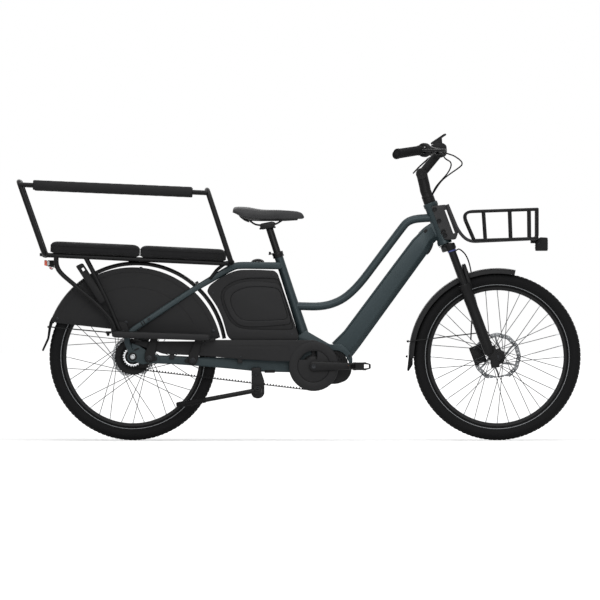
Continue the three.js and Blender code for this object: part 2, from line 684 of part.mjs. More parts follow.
// The chain stays draw in from the dropouts to the motor, inside the belt's loop
function chainStaySide(right) {
  const [from, to] = [chainStayPixels[0][0], chainStayPixels[3][0]];
  return THREE.MathUtils.mapLinear(right, from, to, chainStayRearSide, chainStayFrontSide);
}
const chainStayRoute = (side) => chainStayPixels.map((pair) => spot(pair, side * chainStaySide(pair[0])));
function seatStay(side, grow = 0) {
  const route = stayRoute(side);
  const stay = sweep(oblong(stayWidth + 2 * grow, stayHeight + 2 * grow), bent(route, stayBendPixels * pixel, 2));
  const toTube = rod(route[0], route[0].clone().setY(side * seatTubeTopRadius * 0.5), stayHeight / 2 + grow);
  return join(stay, toTube);
}
function chainStay(side, grow = 0) {
  const route = chainStayRoute(side);
  const stay = sweep(oblong(chainStayWidth + 2 * grow, chainStayHeight + 2 * grow), route);
  const outer = side * (dropoutSide + dropoutThickness);
  const inner = side * dropoutSide;
  const gusset = plate(flat(gussetPixels), inner, outer, 1, [], grow);
  const low = Math.min(inner, outer) - grow;
  const eye = turned(disc(dropoutRadius + grow, low, low + dropoutThickness + 2 * grow), rearAxle, 16);
  return join(stay, gusset, eye);
}
function buildRearTriangle(frameSkin) {
  const axle = rod(rearAxle.clone().setY(-hubReach - axleNut), rearAxle.clone().setY(rearHubEnd), rearAxleRadius, 10);
  bothSides((word, side) => {
    const low = side < 0 ? join(chainStay(side), axle) : chainStay(side);
    add(`chain_stay_${word}`, cut(low, frameSkin), 'paint');
    add(`seat_stay_${word}`, cut(seatStay(side), chainStay(side, seatGap), frameSkin), 'paint');
  });
}

// Motor, crankset, pedals and belt
function motor() {
  const body = plate(flat(motorPixels), -motorRightSide, motorLeftSide, 6);
  const drum = turned(disc(motorRadius, -motorRightSide, motorLeftSide), crank, 20);
  const fins = Array.from({ length: motorFinCount }, (_, i) => {
    const right = -motorRightSide + ((motorRightSide + motorLeftSide) * (i + 1)) / (motorFinCount + 1);
    const front = spot(motorPixels[4]).x;
    const low = V(front - motorFinDepth, right - motorFinWidth / 2, crank.z - 2 * motorRadius);
    return box(low, V(front + overrun, right + motorFinWidth / 2, crank.z + 2 * motorRadius));
  });
  const bore = turned(disc(clearing(spindleRadius), -motorRightSide - overrun, motorLeftSide + overrun), crank, boreSides);
  return cut(join(body, drum), fins, bore);
}
function crankset() {
  const half = beltWidth / 2;
  const outer = crankArmSide + crankArmThickness;
  const spindle = rod(crank.clone().setY(-outer), crank.clone().setY(outer), spindleRadius, 10);
  const ring = turned(ringBand(beltRingRadius - beltRingDepth, beltRingRadius, -beltSide - half, -beltSide + half), crank, 20);
  const boss = turned(disc(crankBossRadius * 1.4, -beltSide - half, -beltSide + half), crank, 12);
  const arms = Array.from({ length: spiderArmCount }, (_, i) => {
    const turn = toRadians(90) + (2 * Math.PI * i) / spiderArmCount;
    const end = crank.clone().setY(-beltSide).add(
      V(Math.cos(turn), 0, Math.sin(turn)).multiplyScalar(beltRingRadius - beltRingDepth / 2));
    return sweep(oblong(half, spiderArmWidth), [crank.clone().setY(-beltSide), end]);
  });
  const cranks = [-1, 1].map((side) => {
    const end = crank.clone().add(V(-side * crankLength, 0, 0));
    const eye = (place, radius) => turned(disc(radius, Math.min(side * crankArmSide, side * outer),
      Math.max(side * crankArmSide, side * outer)), place, 10);
    const beam = box(V(Math.min(crank.x, end.x), Math.min(side * crankArmSide, side * outer), crank.z - crankArmWidth * 0.4),
      V(Math.max(crank.x, end.x), Math.max(side * crankArmSide, side * outer), crank.z + crankArmWidth * 0.4));
    return join(beam, eye(crank, crankBossRadius), eye(end, crankArmWidth / 2));
  });
  return join(ring, spindle, boss, arms, cranks);
}
function pedal(side) {
  const centre = crank.clone().add(V(-side * crankLength, 0, 0));
  const start = side * (crankArmSide + crankArmThickness + seatGap);
  const near = start + side * pedalPinLength;
  const far = near + side * pedalWidth;
  const pin = rod(centre.clone().setY(start), centre.clone().setY(near + side * overrun), pedalPinRadius, 8);
  const low = V(centre.x - pedalLength / 2, Math.min(near, far), centre.z - pedalThickness / 2);
  const high = V(centre.x + pedalLength / 2, Math.max(near, far), centre.z + pedalThickness / 2);
  const outline = [new THREE.Vector2(low.x, centre.z), new THREE.Vector2(low.x + pedalThickness / 2, low.z),
    new THREE.Vector2(high.x - pedalThickness / 2, low.z), new THREE.Vector2(high.x, centre.z),
    new THREE.Vector2(high.x - pedalThickness / 2, high.z), new THREE.Vector2(low.x + pedalThickness / 2, high.z)];
  return join(plate(outline, near, far), pin);
}
// Outline of a band round two wheels, each given by its centre and radius
function belted(rear, front, grow) {
  const span = front.centre.clone().sub(rear.centre);
  const slope = Math.atan2(span.z, span.x);
  const spread = Math.acos((rear.radius - front.radius) / Math.hypot(span.x, span.z));
  const degrees = THREE.MathUtils.radToDeg;
  const [up, down] = [degrees(slope + spread), degrees(slope - spread)];
  return [...arc(rear.centre, rear.radius + grow, up, 360 + down, 12), ...arc(front.centre, front.radius + grow, down, up, 16)];
}
function belt() {
  const rear = { centre: rearAxle, radius: sprocketRadius + beltSlack };
  const front = { centre: crank, radius: beltRingRadius + beltSlack };
  const half = beltWidth / 2;
  return plate(belted(rear, front, beltThickness), -beltSide - half, -beltSide + half, 0, [belted(rear, front, 0)]);
}
function buildDrive(skins) {
  const motorBody = add('motor', cut(motor(), skins), 'black');
  add('crankset', crankset(), 'alloy');
  bothSides((word, side) => add(`pedal_${word}`, pedal(side), 'plastic'));
  add('drive_belt', belt(), 'rubber');
  return motorBody;
}

// Belt cover, side covers, wheel guards, footboards and rear fender
function beltCover(skins) {
  const [inner, outer] = [-beltCoverSide, -beltCoverSide - beltCoverThickness];
  const ring = turned(disc(beltCoverRingRadius, outer, inner), crank, 20);
  const opening = turned(disc(beltCoverOpening, outer - overrun, inner + overrun), crank, 20);
  const tabs = coverTabPixels.map((pair) => {
    const place = spot(pair);
    const low = V(place.x - coverTabWidth / 2, inner - overrun, place.z - coverTabHeight / 2);
    return box(low, V(place.x + coverTabWidth / 2, -beltSide - beltWidth / 2 - overrun, place.z + coverTabHeight / 2));
  });
  return cut(join(plate(flat(beltCoverPixels), inner, outer, 1.5), ring, tabs), opening, skins);
}
function sideCoverOutline(grow) {
  const from = spot(sideCoverPixels[3]);
  const to = spot(sideCoverCornerPixels[0]);
  const radius = tyreRadius + wheelGap + grow;
  const angle = (place) => THREE.MathUtils.radToDeg(Math.atan2(place.z - rearAxle.z, place.x - rearAxle.x));
  const rearEdge = arc(rearAxle, radius, angle(from), angle(to), 6);
  const rest = [sideCoverCornerPixels[1], ...sideCoverPixels.slice(0, 3)].map((pair) => spot(pair));
  return [...rearEdge, ...rest.map(({ x, z }) => new THREE.Vector2(x, z))];
}
function shrunk(outline, wall) {
  const middle = outline.reduce((sum, point) => sum.add(point), new THREE.Vector2()).divideScalar(outline.length);
  const reach = Math.min(...outline.map((point) => point.distanceTo(middle)));
  return outline.map((point) => point.clone().lerp(middle, (1.5 * wall) / reach));
}
function sideCover(side, skins) {
  const outline = sideCoverOutline(0);
  const shell = plate(outline, side * (seatGap / 2), side * sideCoverWidth, 0);
  const faceBevel = plate(outline, -side * sideCoverBevel * 2, side * sideCoverWidth, sideCoverBevel);
  const hollow = plate(shrunk(outline, sideCoverWall), 0, side * (sideCoverWidth - sideCoverWall));
  const panel = plate(flat(sidePanelPixels), side * (sideCoverWidth - overrun), side * (sideCoverWidth + overrun), 1.5);
  return cut(join(cut(shell.intersect(faceBevel), hollow), panel), skins);
}
function stayPlace(route, right) {
  const x = spot([right, 0]).x;
  const index = route.findIndex((place, i) => i && (route[i - 1].x - x) * (place.x - x) <= 0);
  const [a, b] = [route[index - 1], route[index]];
  return between(a, b, (x - a.x) / (b.x - a.x));
}
function wheelGuard(side, skins) {
  const edge = guardEdgePixels.map((pair) => spot(pair));
  const outline = [...arc(rearAxle, guardRadius, guardFrom, guardTo, 16), ...edge.map(({ x, z }) => new THREE.Vector2(x, z))];
  const sheet = plate(outline, side * guardSide, side * (guardSide + guardThickness));
  const route = stayRoute(side);
  const bosses = guardBossPixels.map((right) => {
    const place = stayPlace(route, right);
    return rod(place.clone().setY(side * (guardSide + guardThickness / 2)), place, guardBossRadius, 8);
  });
  return cut(join(sheet, bosses), skins);
}
function footboard(side, skins) {
  const [rear, front] = footboardPixels.map((pair) => spot(pair));
  const half = footboardThickness / 2;
  const outline = [[rear, -half], [front, -half], [front, half], [rear, half]].map(
    ([place, rise]) => new THREE.Vector2(place.x, place.z + rise));
  const board = plate(outline, side * footboardInnerSide, side * (footboardInnerSide + footboardWidth), footboardBevel);
  const armInner = side * (footboardInnerSide - footArmThickness);
  const arms = footBossPixels.map((pair, i) => {
    const boss = spot(pair);
    const top = spot(footArmPixels[i]);
    const wide = footArmWidth / 2;
    const arm = [[boss, -wide], [boss, wide], [top, wide], [top, -wide]].map(
      ([place, ahead]) => new THREE.Vector2(place.x + ahead, place.z));
    const inner = side * chainStaySide(pair[0]);
    const outer = side * footboardInnerSide;
    const stub = turned(disc(footBossRadius, Math.min(inner, outer), Math.max(inner, outer)), boss, 10);
    return join(plate(arm, armInner, side * (footboardInnerSide + footboardBevel + overrun)), stub);
  });
  return cut(join(board, arms), skins);
}
// A curved mudguard band about a centre, with side lips
function fenderBand(centre, radius, from, to) {
  const outer = arc(centre, radius, from, to, 7);
  const inner = arc(centre, radius - fenderThickness, to, from, 7);
  const lip = arc(centre, radius - fenderDepth, to, from, 7);
  const half = fenderWidth / 2;
  const lips = [-1, 1].map((side) => plate([...outer, ...lip], side * (half - fenderThickness), side * half));
  return join(plate([...outer, ...inner], -half, half), lips);
}
function rearFender(rackSkin, staySkins) {
  const centre = rearAxle.clone().add(V(0, 0, rearFenderLift));
  const band = fenderBand(centre, rearFenderRadius, rearFenderFrom, rearFenderTo);
  const end = arc(centre, rearFenderRadius, rearFenderTo, rearFenderTo, 1)[0];
  const flap = flat(rearFlapPixels);
  const half = fenderWidth / 2 - fenderThickness;
  const flapPlate = plate([end, ...flap], -half, half);
  const top = V(centre.x, 0, centre.z + rearFenderRadius);
  const mount = box(V(top.x - fenderDepth, -fenderDepth, top.z - fenderDepth / 2),
    V(top.x + fenderDepth, fenderDepth, spot(rackCrossPixels[1]).z));
  const [wireRear, wireFront] = fenderWirePixels;
  const wires = [-1, 1].map((side) => tube([spot(wireRear, side * (half - wireRadius)), spot(wireRear, side * guardClear),
    spot(wireFront, side * guardClear)], wireRadius, 12, 6));
  return cut(join(band, flapPlate, mount, wires), rackSkin, staySkins);
}
const guardClear = guardSide + guardThickness + wireRadius + guardWireGap;
const rearFenderRadius = tyreRadius + fenderGap;

// Rear rack, cushions, safety rail and tail light
const railEnds = (side) => rackRailPixels.map((pair) => spot(pair, side * rackRailSide));
function rackFrame(skins) {
  const crossbar = (place, radius, sides = 6) => rod(place.clone().setY(-rackRailSide), place.clone().setY(rackRailSide), radius, sides);
  const [rear, front] = railEnds(0);
  const crosses = [crossbar(rear, rackRailRadius), crossbar(front, rackRailRadius),
    ...rackCrossPixels.map((pair) => crossbar(spot(pair), rackCrossRadius, 4))];
  const halves = [-1, 1].map((side) => {
    const [railRear, railFront] = railEnds(side);
    const rail = rod(railRear, railFront, rackRailRadius, 6);
    const stays = rackStayPixels.map((route) => sweep(round(rackStayRadius, 6), route.map((pair, i) => {
      const share = i / (route.length - 1);
      return spot(pair, side * (rackRailSide + (rackFootSide - rackRailSide) * share));
    })));
    const foot = plate(flat(rackFootPixels), side * (stayRearSide + stayWidth / 2 - overrun), side * (rackFootSide + 1));
    const bracket = plate(flat(rackBracketPixels), side * rackFootSide, side * (rackFootSide + rackBracketThickness));
    const lug = tube([railFront, spot(rackLugPixels[0], side * rackRailSide), spot(rackLugPixels[1], side * rackLugSide),
      spot(rackLugPixels[2], side * rackLugSide)], rackCrossRadius, 12, 6, undefined, 1);
    return join(rail, stays, foot, bracket, lug);
  });
  const light = plate(flat(lightArmPixels), -lightArmWidth / 2, lightArmWidth / 2);
  return cut(join(crosses, halves, light), skins);
}

// A seat cushion: flat below, crowned on top, its sides drawn in under the edge seam
function cushion(index) {
  const [rear, front] = cushionPixels[index].map((pair) => spot(pair));
  const length = rear.distanceTo(front);
  const geometry = new THREE.BoxGeometry(2, 2, 2, 8, 6, 2);
  const places = geometry.attributes.position;
  for (let i = 0; i < places.count; i += 1) {
    const [u, v, w] = [places.getX(i), places.getY(i), places.getZ(i)];
    const edge = Math.max(Math.abs(u), Math.abs(v));
    const drawn = cushionDraw * (w < 0 ? 1 : w);
    const roundedU = u * (1 - cushionCornerShare * v ** 6);
    const roundedV = v * (1 - cushionCornerShare * u ** 6);
    const crown = w > 0 ? cushionCrown * (1 - edge ** 4) - cushionCrown : 0;
    places.setXYZ(i, roundedU * (length / 2 - drawn), roundedV * (cushionWidth / 2 - drawn),
      (w * cushionHeight) / 2 + crown * w);
  }
  const middle = between(rear, front, 0.5);
  geometry.rotateY(-Math.atan2(front.z - rear.z, front.x - rear.x));
  geometry.translate(middle.x, 0, middle.z - cushionHeight / 2 + cushionCrown / 2);
  return solid(geometry);
}
const sideBarEnds = (side) => railHoopPixels.map((hoop) => spot([hoop[1][0], hoop[1][1] + barDropPixels], side * railHoopSide));
function safetyRail(skins) {
  const reach = railHoopBend;
  const hoops = railHoopPixels.map(([base, top]) => {
    const foot = rackRailSide + rackRailRadius * Math.cos(Math.PI / 6) + seatGap;
    const places = [[base, -foot], [base, -railHoopSide], [top, -railHoopSide], [top, railHoopSide],
      [base, railHoopSide], [base, foot]].map(([pair, side]) => spot(pair, side));
    return tube(places, railHoopRadius, reach, 6, V(0.35, 0.2, 0.9).normalize());
  });
  const bars = [-1, 1].map((side) => rod(...sideBarEnds(side), railBarRadius, 6));
  return cut(join(hoops, bars), skins);
}
function foam(side) {
  const [rear, front] = sideBarEnds(side);
  const [start, end] = foamShares.map((share) => between(rear, front, share));
  const run = end.clone().sub(start).normalize();
  const sleeve = rod(start, end, foamRadius, 8);
  const bore = rod(start.clone().addScaledVector(run, -overrun), end.clone().addScaledVector(run, overrun),
    railBarRadius + seatGap + foamSlack, 8);
  return cut(sleeve, bore);
}
function buildRear(skins) {
  const rack = add('rack_frame', rackFrame(skins), 'black');
  const rackSkin = grown(rack);
  ['rear', 'front'].forEach((word, i) => add(`cushion_${word}`, cut(cushion(i), rackSkin), 'cushion'));
  add('safety_rail', safetyRail([rackSkin, ...skins]), 'black');
  bothSides((word, side) => add(`foam_${word}`, foam(side), 'rubber'));
  const housing = plate(flat(tailLightPixels), -tailLightWidth / 2, tailLightWidth / 2, 2);
  add('tail_light_housing', cut(housing, rackSkin), 'plastic');
  add('tail_light_lens', cut(plate(flat(tailLensPixels), -tailLightWidth / 2, tailLightWidth / 2, 2), grown(housing)), 'lens');
  return rackSkin;
}

// Front basket on the head tube, with the headlight
function frontRack(frameSkin) {
  const plates = [-1, 1].map((side) => {
    const face = plate(flat(rackPlatePixels), side * rackPlateSide, side * (rackPlateSide + rackPlateThickness));
    const bosses = rackBossPixels.map((pair) => rod(spot(pair), spot(pair, side * (rackPlateSide + overrun)), rackBossRadius, 6));
    return join(face, bosses);
  });
  const tongueRoute = bent(tonguePixels.map((pair) => spot(pair)), 14);
  const tongue = sweep(oblong(basketTongueWidth, basketTongueThickness), tongueRoute);
  const loop = (pixels, side) => pixels.map((pair) => spot(pair, side * basketHalf));
  const rods = [];
  const rodAlong = (...places) => rods.push(tube(places, basketRodRadius, 12, 4, V(0.1, 0.95, 0.3).normalize(), 1));
  const across = (pair) => rods.push(rod(spot(pair, -basketHalf), spot(pair, basketHalf), basketRodRadius, 4));
  [-1, 1].forEach((side) => {
    const [low, bend, front] = loop(basketTopPixels, side);
    const [floorRear, floorFront] = loop(basketFloorPixels, side);
    rodAlong(floorRear, low, bend, front);
    rodAlong(floorRear, floorFront, front);
    basketPostPixels.forEach((right) => {
      const share = (right - basketFloorPixels[0][0]) / (basketFloorPixels[1][0] - basketFloorPixels[0][0]);
      rodAlong(between(floorRear, floorFront, share), between(bend, front, share));
    });
  });
  [basketTopPixels[0], basketTopPixels[2], ...basketFloorPixels].forEach(across);
  const [floorRear, floorFront] = basketFloorPixels;
  for (let i = 1; i < basketSlatCount; i += 1) {
    const share = i / basketSlatCount;
    across([floorRear[0] + (floorFront[0] - floorRear[0]) * share, floorRear[1] + (floorFront[1] - floorRear[1]) * share]);
  }
  for (let i = 1; i < basketSlatCount; i += 1) {
    const side = basketHalf * (-1 + (2 * i) / basketSlatCount);
    rods.push(rod(spot(floorFront, side), spot(basketTopPixels[2], side), basketRodRadius, 4));
  }
  const lightArm = plate(flat(headlightArmPixels), -lightArmWidth / 2, lightArmWidth / 2);
  return cut(join(plates, tongue, rods, lightArm), frameSkin);
}
function headlight(rackSkin) {
  return cut(plate(flat(headlightPixels), -headlightWidth / 2, headlightWidth / 2, 4), rackSkin);
}

// Centre stand: a bracket under the chain stays and two legs on slanted pivots
const standPivot = (side) => spot(standPivotPixels, side * (standBlockOuter + standKnuckleLength * 0.75));
const standFolded = (side) => V(-standLegLength, side * standLegFlare, -standLegDrop);
const standOpened = (side) => V(-standOpenBack, side * standOpenFlare, -standOpenDrop);
const standAxis = (side) => standFolded(side).cross(standOpened(side)).normalize().multiplyScalar(-side);
function standBracket(skins) {
  const outline = flat(standPixels);
  const top = spot(standPixels[0]);
  const barTop = top.z + chainStayHeight / 2;
  const bar = box(V(top.x, -standBlockOuter, top.z - standBarHeight), V(spot(standPixels[1]).x, standBlockOuter, barTop));
  const sides = [-1, 1].map((side) => {
    const axis = standAxis(side).multiplyScalar(side);
    const out = axis.clone().multiplyScalar(Math.sign(axis.y) * side);
    const faceCentre = standPivot(side).addScaledVector(out, -standKnuckleLength / 2 - seatGap);
    const block = plate(outline, side * standBlockSide, side * standBlockOuter);
    const boss = rod(faceCentre, faceCentre.clone().addScaledVector(out, -standKnuckleLength), standKnuckleRadius, 10);
    const keepOut = rod(faceCentre, faceCentre.clone().addScaledVector(out, standKnuckleLength * 2), standKnuckleRadius + 1, 10);
    return cut(join(block, boss), keepOut);
  });
  return cut(join(bar, sides), skins);
}
function standLeg(side) {
  const pivot = standPivot(side);
  const axis = standAxis(side);
  const knuckle = rod(pivot.clone().addScaledVector(axis, -standKnuckleLength / 2),
    pivot.clone().addScaledVector(axis, standKnuckleLength / 2), standKnuckleRadius, 10);
  const tip = pivot.clone().add(standFolded(side));
  const leg = rod(pivot, tip, standLegRadius, 8);
  const foot = rod(between(pivot, tip, 0.64), tip, standFootRadius, 8);
  return join(knuckle, leg, foot);
}

// Rear caliper on the left dropout
function rearCaliper(skins) {
  const low = V(rotorCaliperBack, rearRotorSide - caliperHalf, rearAxle.z + rearRotorRadius - caliperDepth * 2.4);
  const body = box(low, V(rotorCaliperBack + caliperLength, rearRotorSide + caliperHalf, rearAxle.z + rearRotorRadius));
  const arm = box(V(rotorCaliperBack, rearRotorSide, low.z - caliperDepth), V(rotorCaliperBack + caliperLength, dropoutSide + stayWidth, low.z + caliperDepth));
  const slot = turned(disc(rearRotorRadius + 2, rearRotorSide - 3, rearRotorSide + 3), rearAxle, 24);
  return cut(join(body, arm), slot, skins);
}

// Seatpost, saddle and clamp
const postLow = seatTubeTop.clone().addScaledVector(seatAxis, -seatTubeBoreDepth + postBottomGap);
function seatpost() {
  const head = plate(flat(seatHeadPixels), -railSide - railRadius, railSide + railRadius, 2);
  const postTop = spot(seatHeadPixels[0]).lerp(spot(seatHeadPixels[1]), 0.5).addScaledVector(seatAxis, overrun * 2);
  const post = rod(onSeatLine(postLow), onSeatLine(postTop), seatPostRadius, 12);
  const rails = [-1, 1].map((side) => tube(saddleRailPixels.map((pair) => spot(pair, side * railSide)), railRadius, 18, 6));
  return join(head, post, rails);
}
function onSeatLine(place) {
  const reach = place.clone().sub(seatTubeLow).dot(seatAxis);
  return seatTubeLow.clone().addScaledVector(seatAxis, reach);
}
// The saddle is a cushion whose width, top and underside follow the outline along its length
function saddle(railSkin) {
  const geometry = new THREE.BoxGeometry(2, 2, 2, 10, 6, 2);
  const places = geometry.attributes.position;
  const follow = (list, share, read) => {
    const reach = share * (list.length - 1);
    const index = Math.min(Math.floor(reach), list.length - 2);
    return THREE.MathUtils.lerp(read(list[index]), read(list[index + 1]), reach - index);
  };
  for (let i = 0; i < places.count; i += 1) {
    const [u, v, w] = [places.getX(i), places.getY(i), places.getZ(i)];
    const share = (u + 1) / 2;
    const half = (saddleWidth / 2) * follow(saddleWidthShares, share, (value) => value);
    const top = spot([follow(saddleTopPixels, share, (p) => p[0]), follow(saddleTopPixels, share, (p) => p[1])]);
    const low = spot([0, follow(saddleLowPixels, share, (p) => p[1])]);
    const crown = (top.z - low.z) * 0.45 * v ** 4;
    const height = THREE.MathUtils.lerp(low.z, top.z - crown, (w + 1) / 2);
    places.setXYZ(i, top.x, v * half * (1 - saddleDrawShare * Math.abs(w) ** 3 * Math.abs(v)), height);
  }
  return cut(solid(geometry), railSkin);
}
function seatClamp() {
  const centre = onSeatLine(spot(seatTubePixels[0]));
  const low = centre.clone().addScaledVector(seatAxis, -clampHeight);
  const collar = rod(low, centre.clone().addScaledVector(seatAxis, seatGap), seatTubeTopRadius + clampWall, 12);
  const [leverEnd, leverStart] = clampLeverPixels.map((pair) => spot(pair));
  const leverSide = -seatTubeTopRadius - clampWall / 2;
  const lever = rod(leverStart.setY(leverSide), leverEnd.setY(leverSide), clampLeverRadius, 6);
  const bore = rod(low.clone().addScaledVector(seatAxis, -overrun), centre.clone().addScaledVector(seatAxis, overrun),
    seatTubeTopRadius + clampSlack, 12);
  return cut(join(collar, lever), bore);
}

// Steering: fork crown with steerer and stanchions, stem, handlebar and what is on it
const legPlace = (side, along) => steered(forkLegAhead, side * forkLegSide, along);
const crownTop = -headTubeLength - crownGap;
const crownLow = crownTop - crownHeight;
function forkCrown() {
  const steerer = rod(steered(0, 0, steererTop), steered(0, 0, crownLow + overrun), steererRadius, 10);
  const race = rod(steered(0, 0, -headTubeLength - seatGap), steered(0, 0, crownTop - overrun), headTubeRadius, 14);
  const half = forkLegSide + stanchionRadius + clampSlack * 2;
  const crown = sweep([new THREE.Vector2(-half, -crownHeight / 2), new THREE.Vector2(half, -crownHeight / 2),
    new THREE.Vector2(half * 0.8, crownHeight / 2), new THREE.Vector2(-half * 0.8, crownHeight / 2)],
  [steered(-crownDepth / 2, 0, (crownTop + crownLow) / 2), steered(crownDepth / 2 + forkLegAhead, 0, (crownTop + crownLow) / 2)]);
  const legs = [-1, 1].map((side) => rod(legPlace(side, crownTop - overrun), legPlace(side, -stanchionDrop), stanchionRadius, 8));
  return join(steerer, race, crown, legs);
}
function forkLowers() {
  const legs = [-1, 1].map((side) => rod(legPlace(side, -lowerTopDrop), legPlace(side, -lowerEndDrop), lowerRadius, 10));
  const bores = [-1, 1].map((side) => rod(legPlace(side, overrun), legPlace(side, -stanchionDrop - forkTravel - overrun),
    stanchionRadius + seatGap + foamSlack / 2, 8));
  const [ahead, along] = inSteering(frontAxle);
  const ends = [-1, 1].map((side) => {
    const inner = side * (frontHubEnd + seatGap);
    const outer = side * (forkLegSide + dropoutThickness);
    const eye = turned(disc(dropoutEyeRadius, Math.min(inner, outer), Math.max(inner, outer)), frontAxle, 12);
    const web = rod(legPlace(side, -lowerEndDrop + lowerRadius), steered(ahead, side * forkLegSide, along), dropoutThickness, 6);
    return join(eye, web);
  });
  const axle = rod(frontAxle.clone().setY(-forkLegSide), frontAxle.clone().setY(forkLegSide), frontAxleRadius, 10);
  const archFoot = [forkLegAhead + lowerRadius * 0.85, forkLegSide, -lowerTopDrop - lowerRadius];
  const archRoute = [-1, 1].map((side) => [[archFoot[0], side * archFoot[1], archFoot[2]], [archAhead, side * forkLegSide * 0.86, archTop]]);
  archRoute[1].reverse();
  const arch = tube(archRoute.flat().map((place) => steered(...place)), archThickness / 2, 26, 6, steerAhead.clone());
  return cut(join(legs, ends, arch), bores).add(axle);
}
function frontFender(skins) {
  const band = fenderBand(frontAxle, frontFenderRadius, frontFenderFrom, frontFenderTo);
  const end = arc(frontAxle, frontFenderRadius, frontFenderTo, frontFenderTo, 1)[0];
  const half = fenderWidth / 2 - fenderThickness;
  const flap = plate([end, ...flat(frontFlapPixels)], -half, half);
  const archMiddle = steered(archAhead, 0, archTop);
  const towards = archMiddle.clone().sub(frontAxle).setLength(frontFenderRadius - fenderThickness * 2);
  const mount = rod(archMiddle, frontAxle.clone().add(towards), fenderMountRadius);
  const wires = [-1, 1].map((side) => tube([V(end.x, side * half, end.y), V(end.x, side * (half + wireRadius * 2), end.y),
    spot(frontWirePixels, side * (forkLegSide - lowerRadius))], wireRadius, 12, 6));
  return cut(join(band, flap, mount, wires), skins);
}
const frontFenderRadius = tyreRadius + frontFenderGap;
function frontCaliper(skin) {
  const [ahead, along] = inSteering(frontAxle);
  const centre = steered(forkLegAhead - lowerRadius, 0, along + frontRotorRadius * 0.45);
  const low = V(centre.x - caliperLength / 2, frontRotorSide - caliperHalf + 1, centre.z - caliperLength * 0.7);
  const body = box(low, V(centre.x + caliperLength / 2 - ahead * 0.3, frontRotorSide + caliperHalf, centre.z + caliperLength * 0.7));
  const slot = turned(disc(frontRotorRadius + 2, frontRotorSide - 3, frontRotorSide + 3), frontAxle, 24);
  return cut(body, slot, skin);
}
const stemPivot = spot(stemPivotPixels);
const barCentre = spot(barPixels);
function stem() {
  const base = rod(steered(0, 0, seatGap), steered(0, 0, stemBaseHeight), headTubeRadius - 2, 10);
  const riser = rod(steered(0, 0, stemBaseHeight * 0.6), stemPivot, stemRadius, 12);
  const boss = rod(stemPivot.clone().setY(-stemRadius * 1.1), stemPivot.clone().setY(stemRadius * 1.1), stemRadius * 1.04, 14);
  const arm = rod(stemPivot, barCentre, stemArmRadius, 8);
  const clamp = rod(barCentre.clone().setY(-stemClampHalf), barCentre.clone().setY(stemClampHalf), handlebarClampRadius + 5, 12);
  const lever = rod(spot(stemLeverPixels[0], stemLeverSide), spot(stemLeverPixels[1], stemLeverSide), wireRadius * 1.6, 6);
  const leverRoot = rod(spot(stemLeverPixels[1], stemLeverSide), spot(stemLeverPixels[1]).lerp(barCentre, 0.25), wireRadius * 1.6, 6);
  const [displayLow, displayHigh] = displayPixels.map((pair) => spot(pair));
  const slabMiddle = between(displayLow, displayHigh, 0.4);
  const slabUp = displayHigh.clone().sub(displayLow).cross(V(0, 1, 0)).normalize();
  const perchTop = slabMiddle.clone().addScaledVector(slabUp, (displayThickness / 2 + seatGap) * Math.sign(barCentre.z - slabMiddle.z) * Math.sign(slabUp.z));
  const perch = rod(perchTop.clone().addScaledVector(perchTop.clone().sub(slabMiddle).normalize(), perchLength), perchTop, wireRadius * 2, 6);
  const bore = rod(barCentre.clone().setY(-stemClampHalf - overrun), barCentre.clone().setY(stemClampHalf + overrun),
    handlebarClampRadius + seatGap + foamSlack / 2, 12);
  const steererBore = rod(steered(0, 0, -overrun), steered(0, 0, steererTop + seatGap), clearing(steererRadius), boreSides);
  return cut(join(base, riser, boss, arm, clamp, lever, leverRoot, perch), bore, steererBore);
}
const barRoute = (side) => [barCentre.clone(), barCentre.clone().setY(side * barFlat), steeredBar(gripStartBack, gripInnerSide, 1, side),
  steeredBar(gripBack, handlebarHalf, 0, side)];
function steeredBar(back, out, lift, side) {
  const end = spot(gripEndPixels[lift]);
  return V(barCentre.x - back, side * out, end.z);
}
function handlebar(grow = 0) {
  const upward = V(0.3, 0.1, 0.95).normalize();
  const halves = [-1, 1].map((side) => tube(barRoute(side), handlebarRadius + grow, 60, 8, upward));
  const middle = rod(barCentre.clone().setY(-stemClampHalf - overrun), barCentre.clone().setY(stemClampHalf + overrun),
    handlebarClampRadius + grow, 12);
  return join(halves, middle);
}
const onBar = (side, share) => between(barRoute(side)[2], barRoute(side)[3], share);
function sleeve(side, from, to, radius, cutter) {
  return cut(rod(onBar(side, from), onBar(side, to), radius, 10), cutter);
}
function onRamp(side, share) {
  const [, start, end] = barRoute(side);
  return between(start, end, share);
}
function brakeMount(side, barSkin) {
  const from = onRamp(side, 0.42);
  const to = onRamp(side, 0.56);
  const middle = between(from, to, 0.5);
  const clamp = rod(from, to, handlebarRadius + mountWall, 8);
  const run = to.clone().sub(from).normalize();
  const bodyStart = middle.clone().add(V(leverReach / 2, 0, 0));
  const cylinder = rod(bodyStart.clone().addScaledVector(run, -mountTail), bodyStart.clone().addScaledVector(run, mountNose),
    mountRadius, 6);
  const neck = rod(middle, bodyStart, mountNeckRadius, 6);
  const pivot = leverPivot(side);
  const drop = V(0, 0, -leverKnuckleHalf - seatGap - leverEarThickness / 2);
  const ahead = pivot.clone().sub(bodyStart).setLength(leverKnuckleRadius);
  const ear = sweep(oblong(leverEarThickness, 2 * leverKnuckleRadius),
    [bodyStart.clone().add(drop), pivot.clone().add(ahead).add(drop)], V(0, 0, 1));
  return cut(join(clamp, neck, cylinder, ear), barSkin);
}
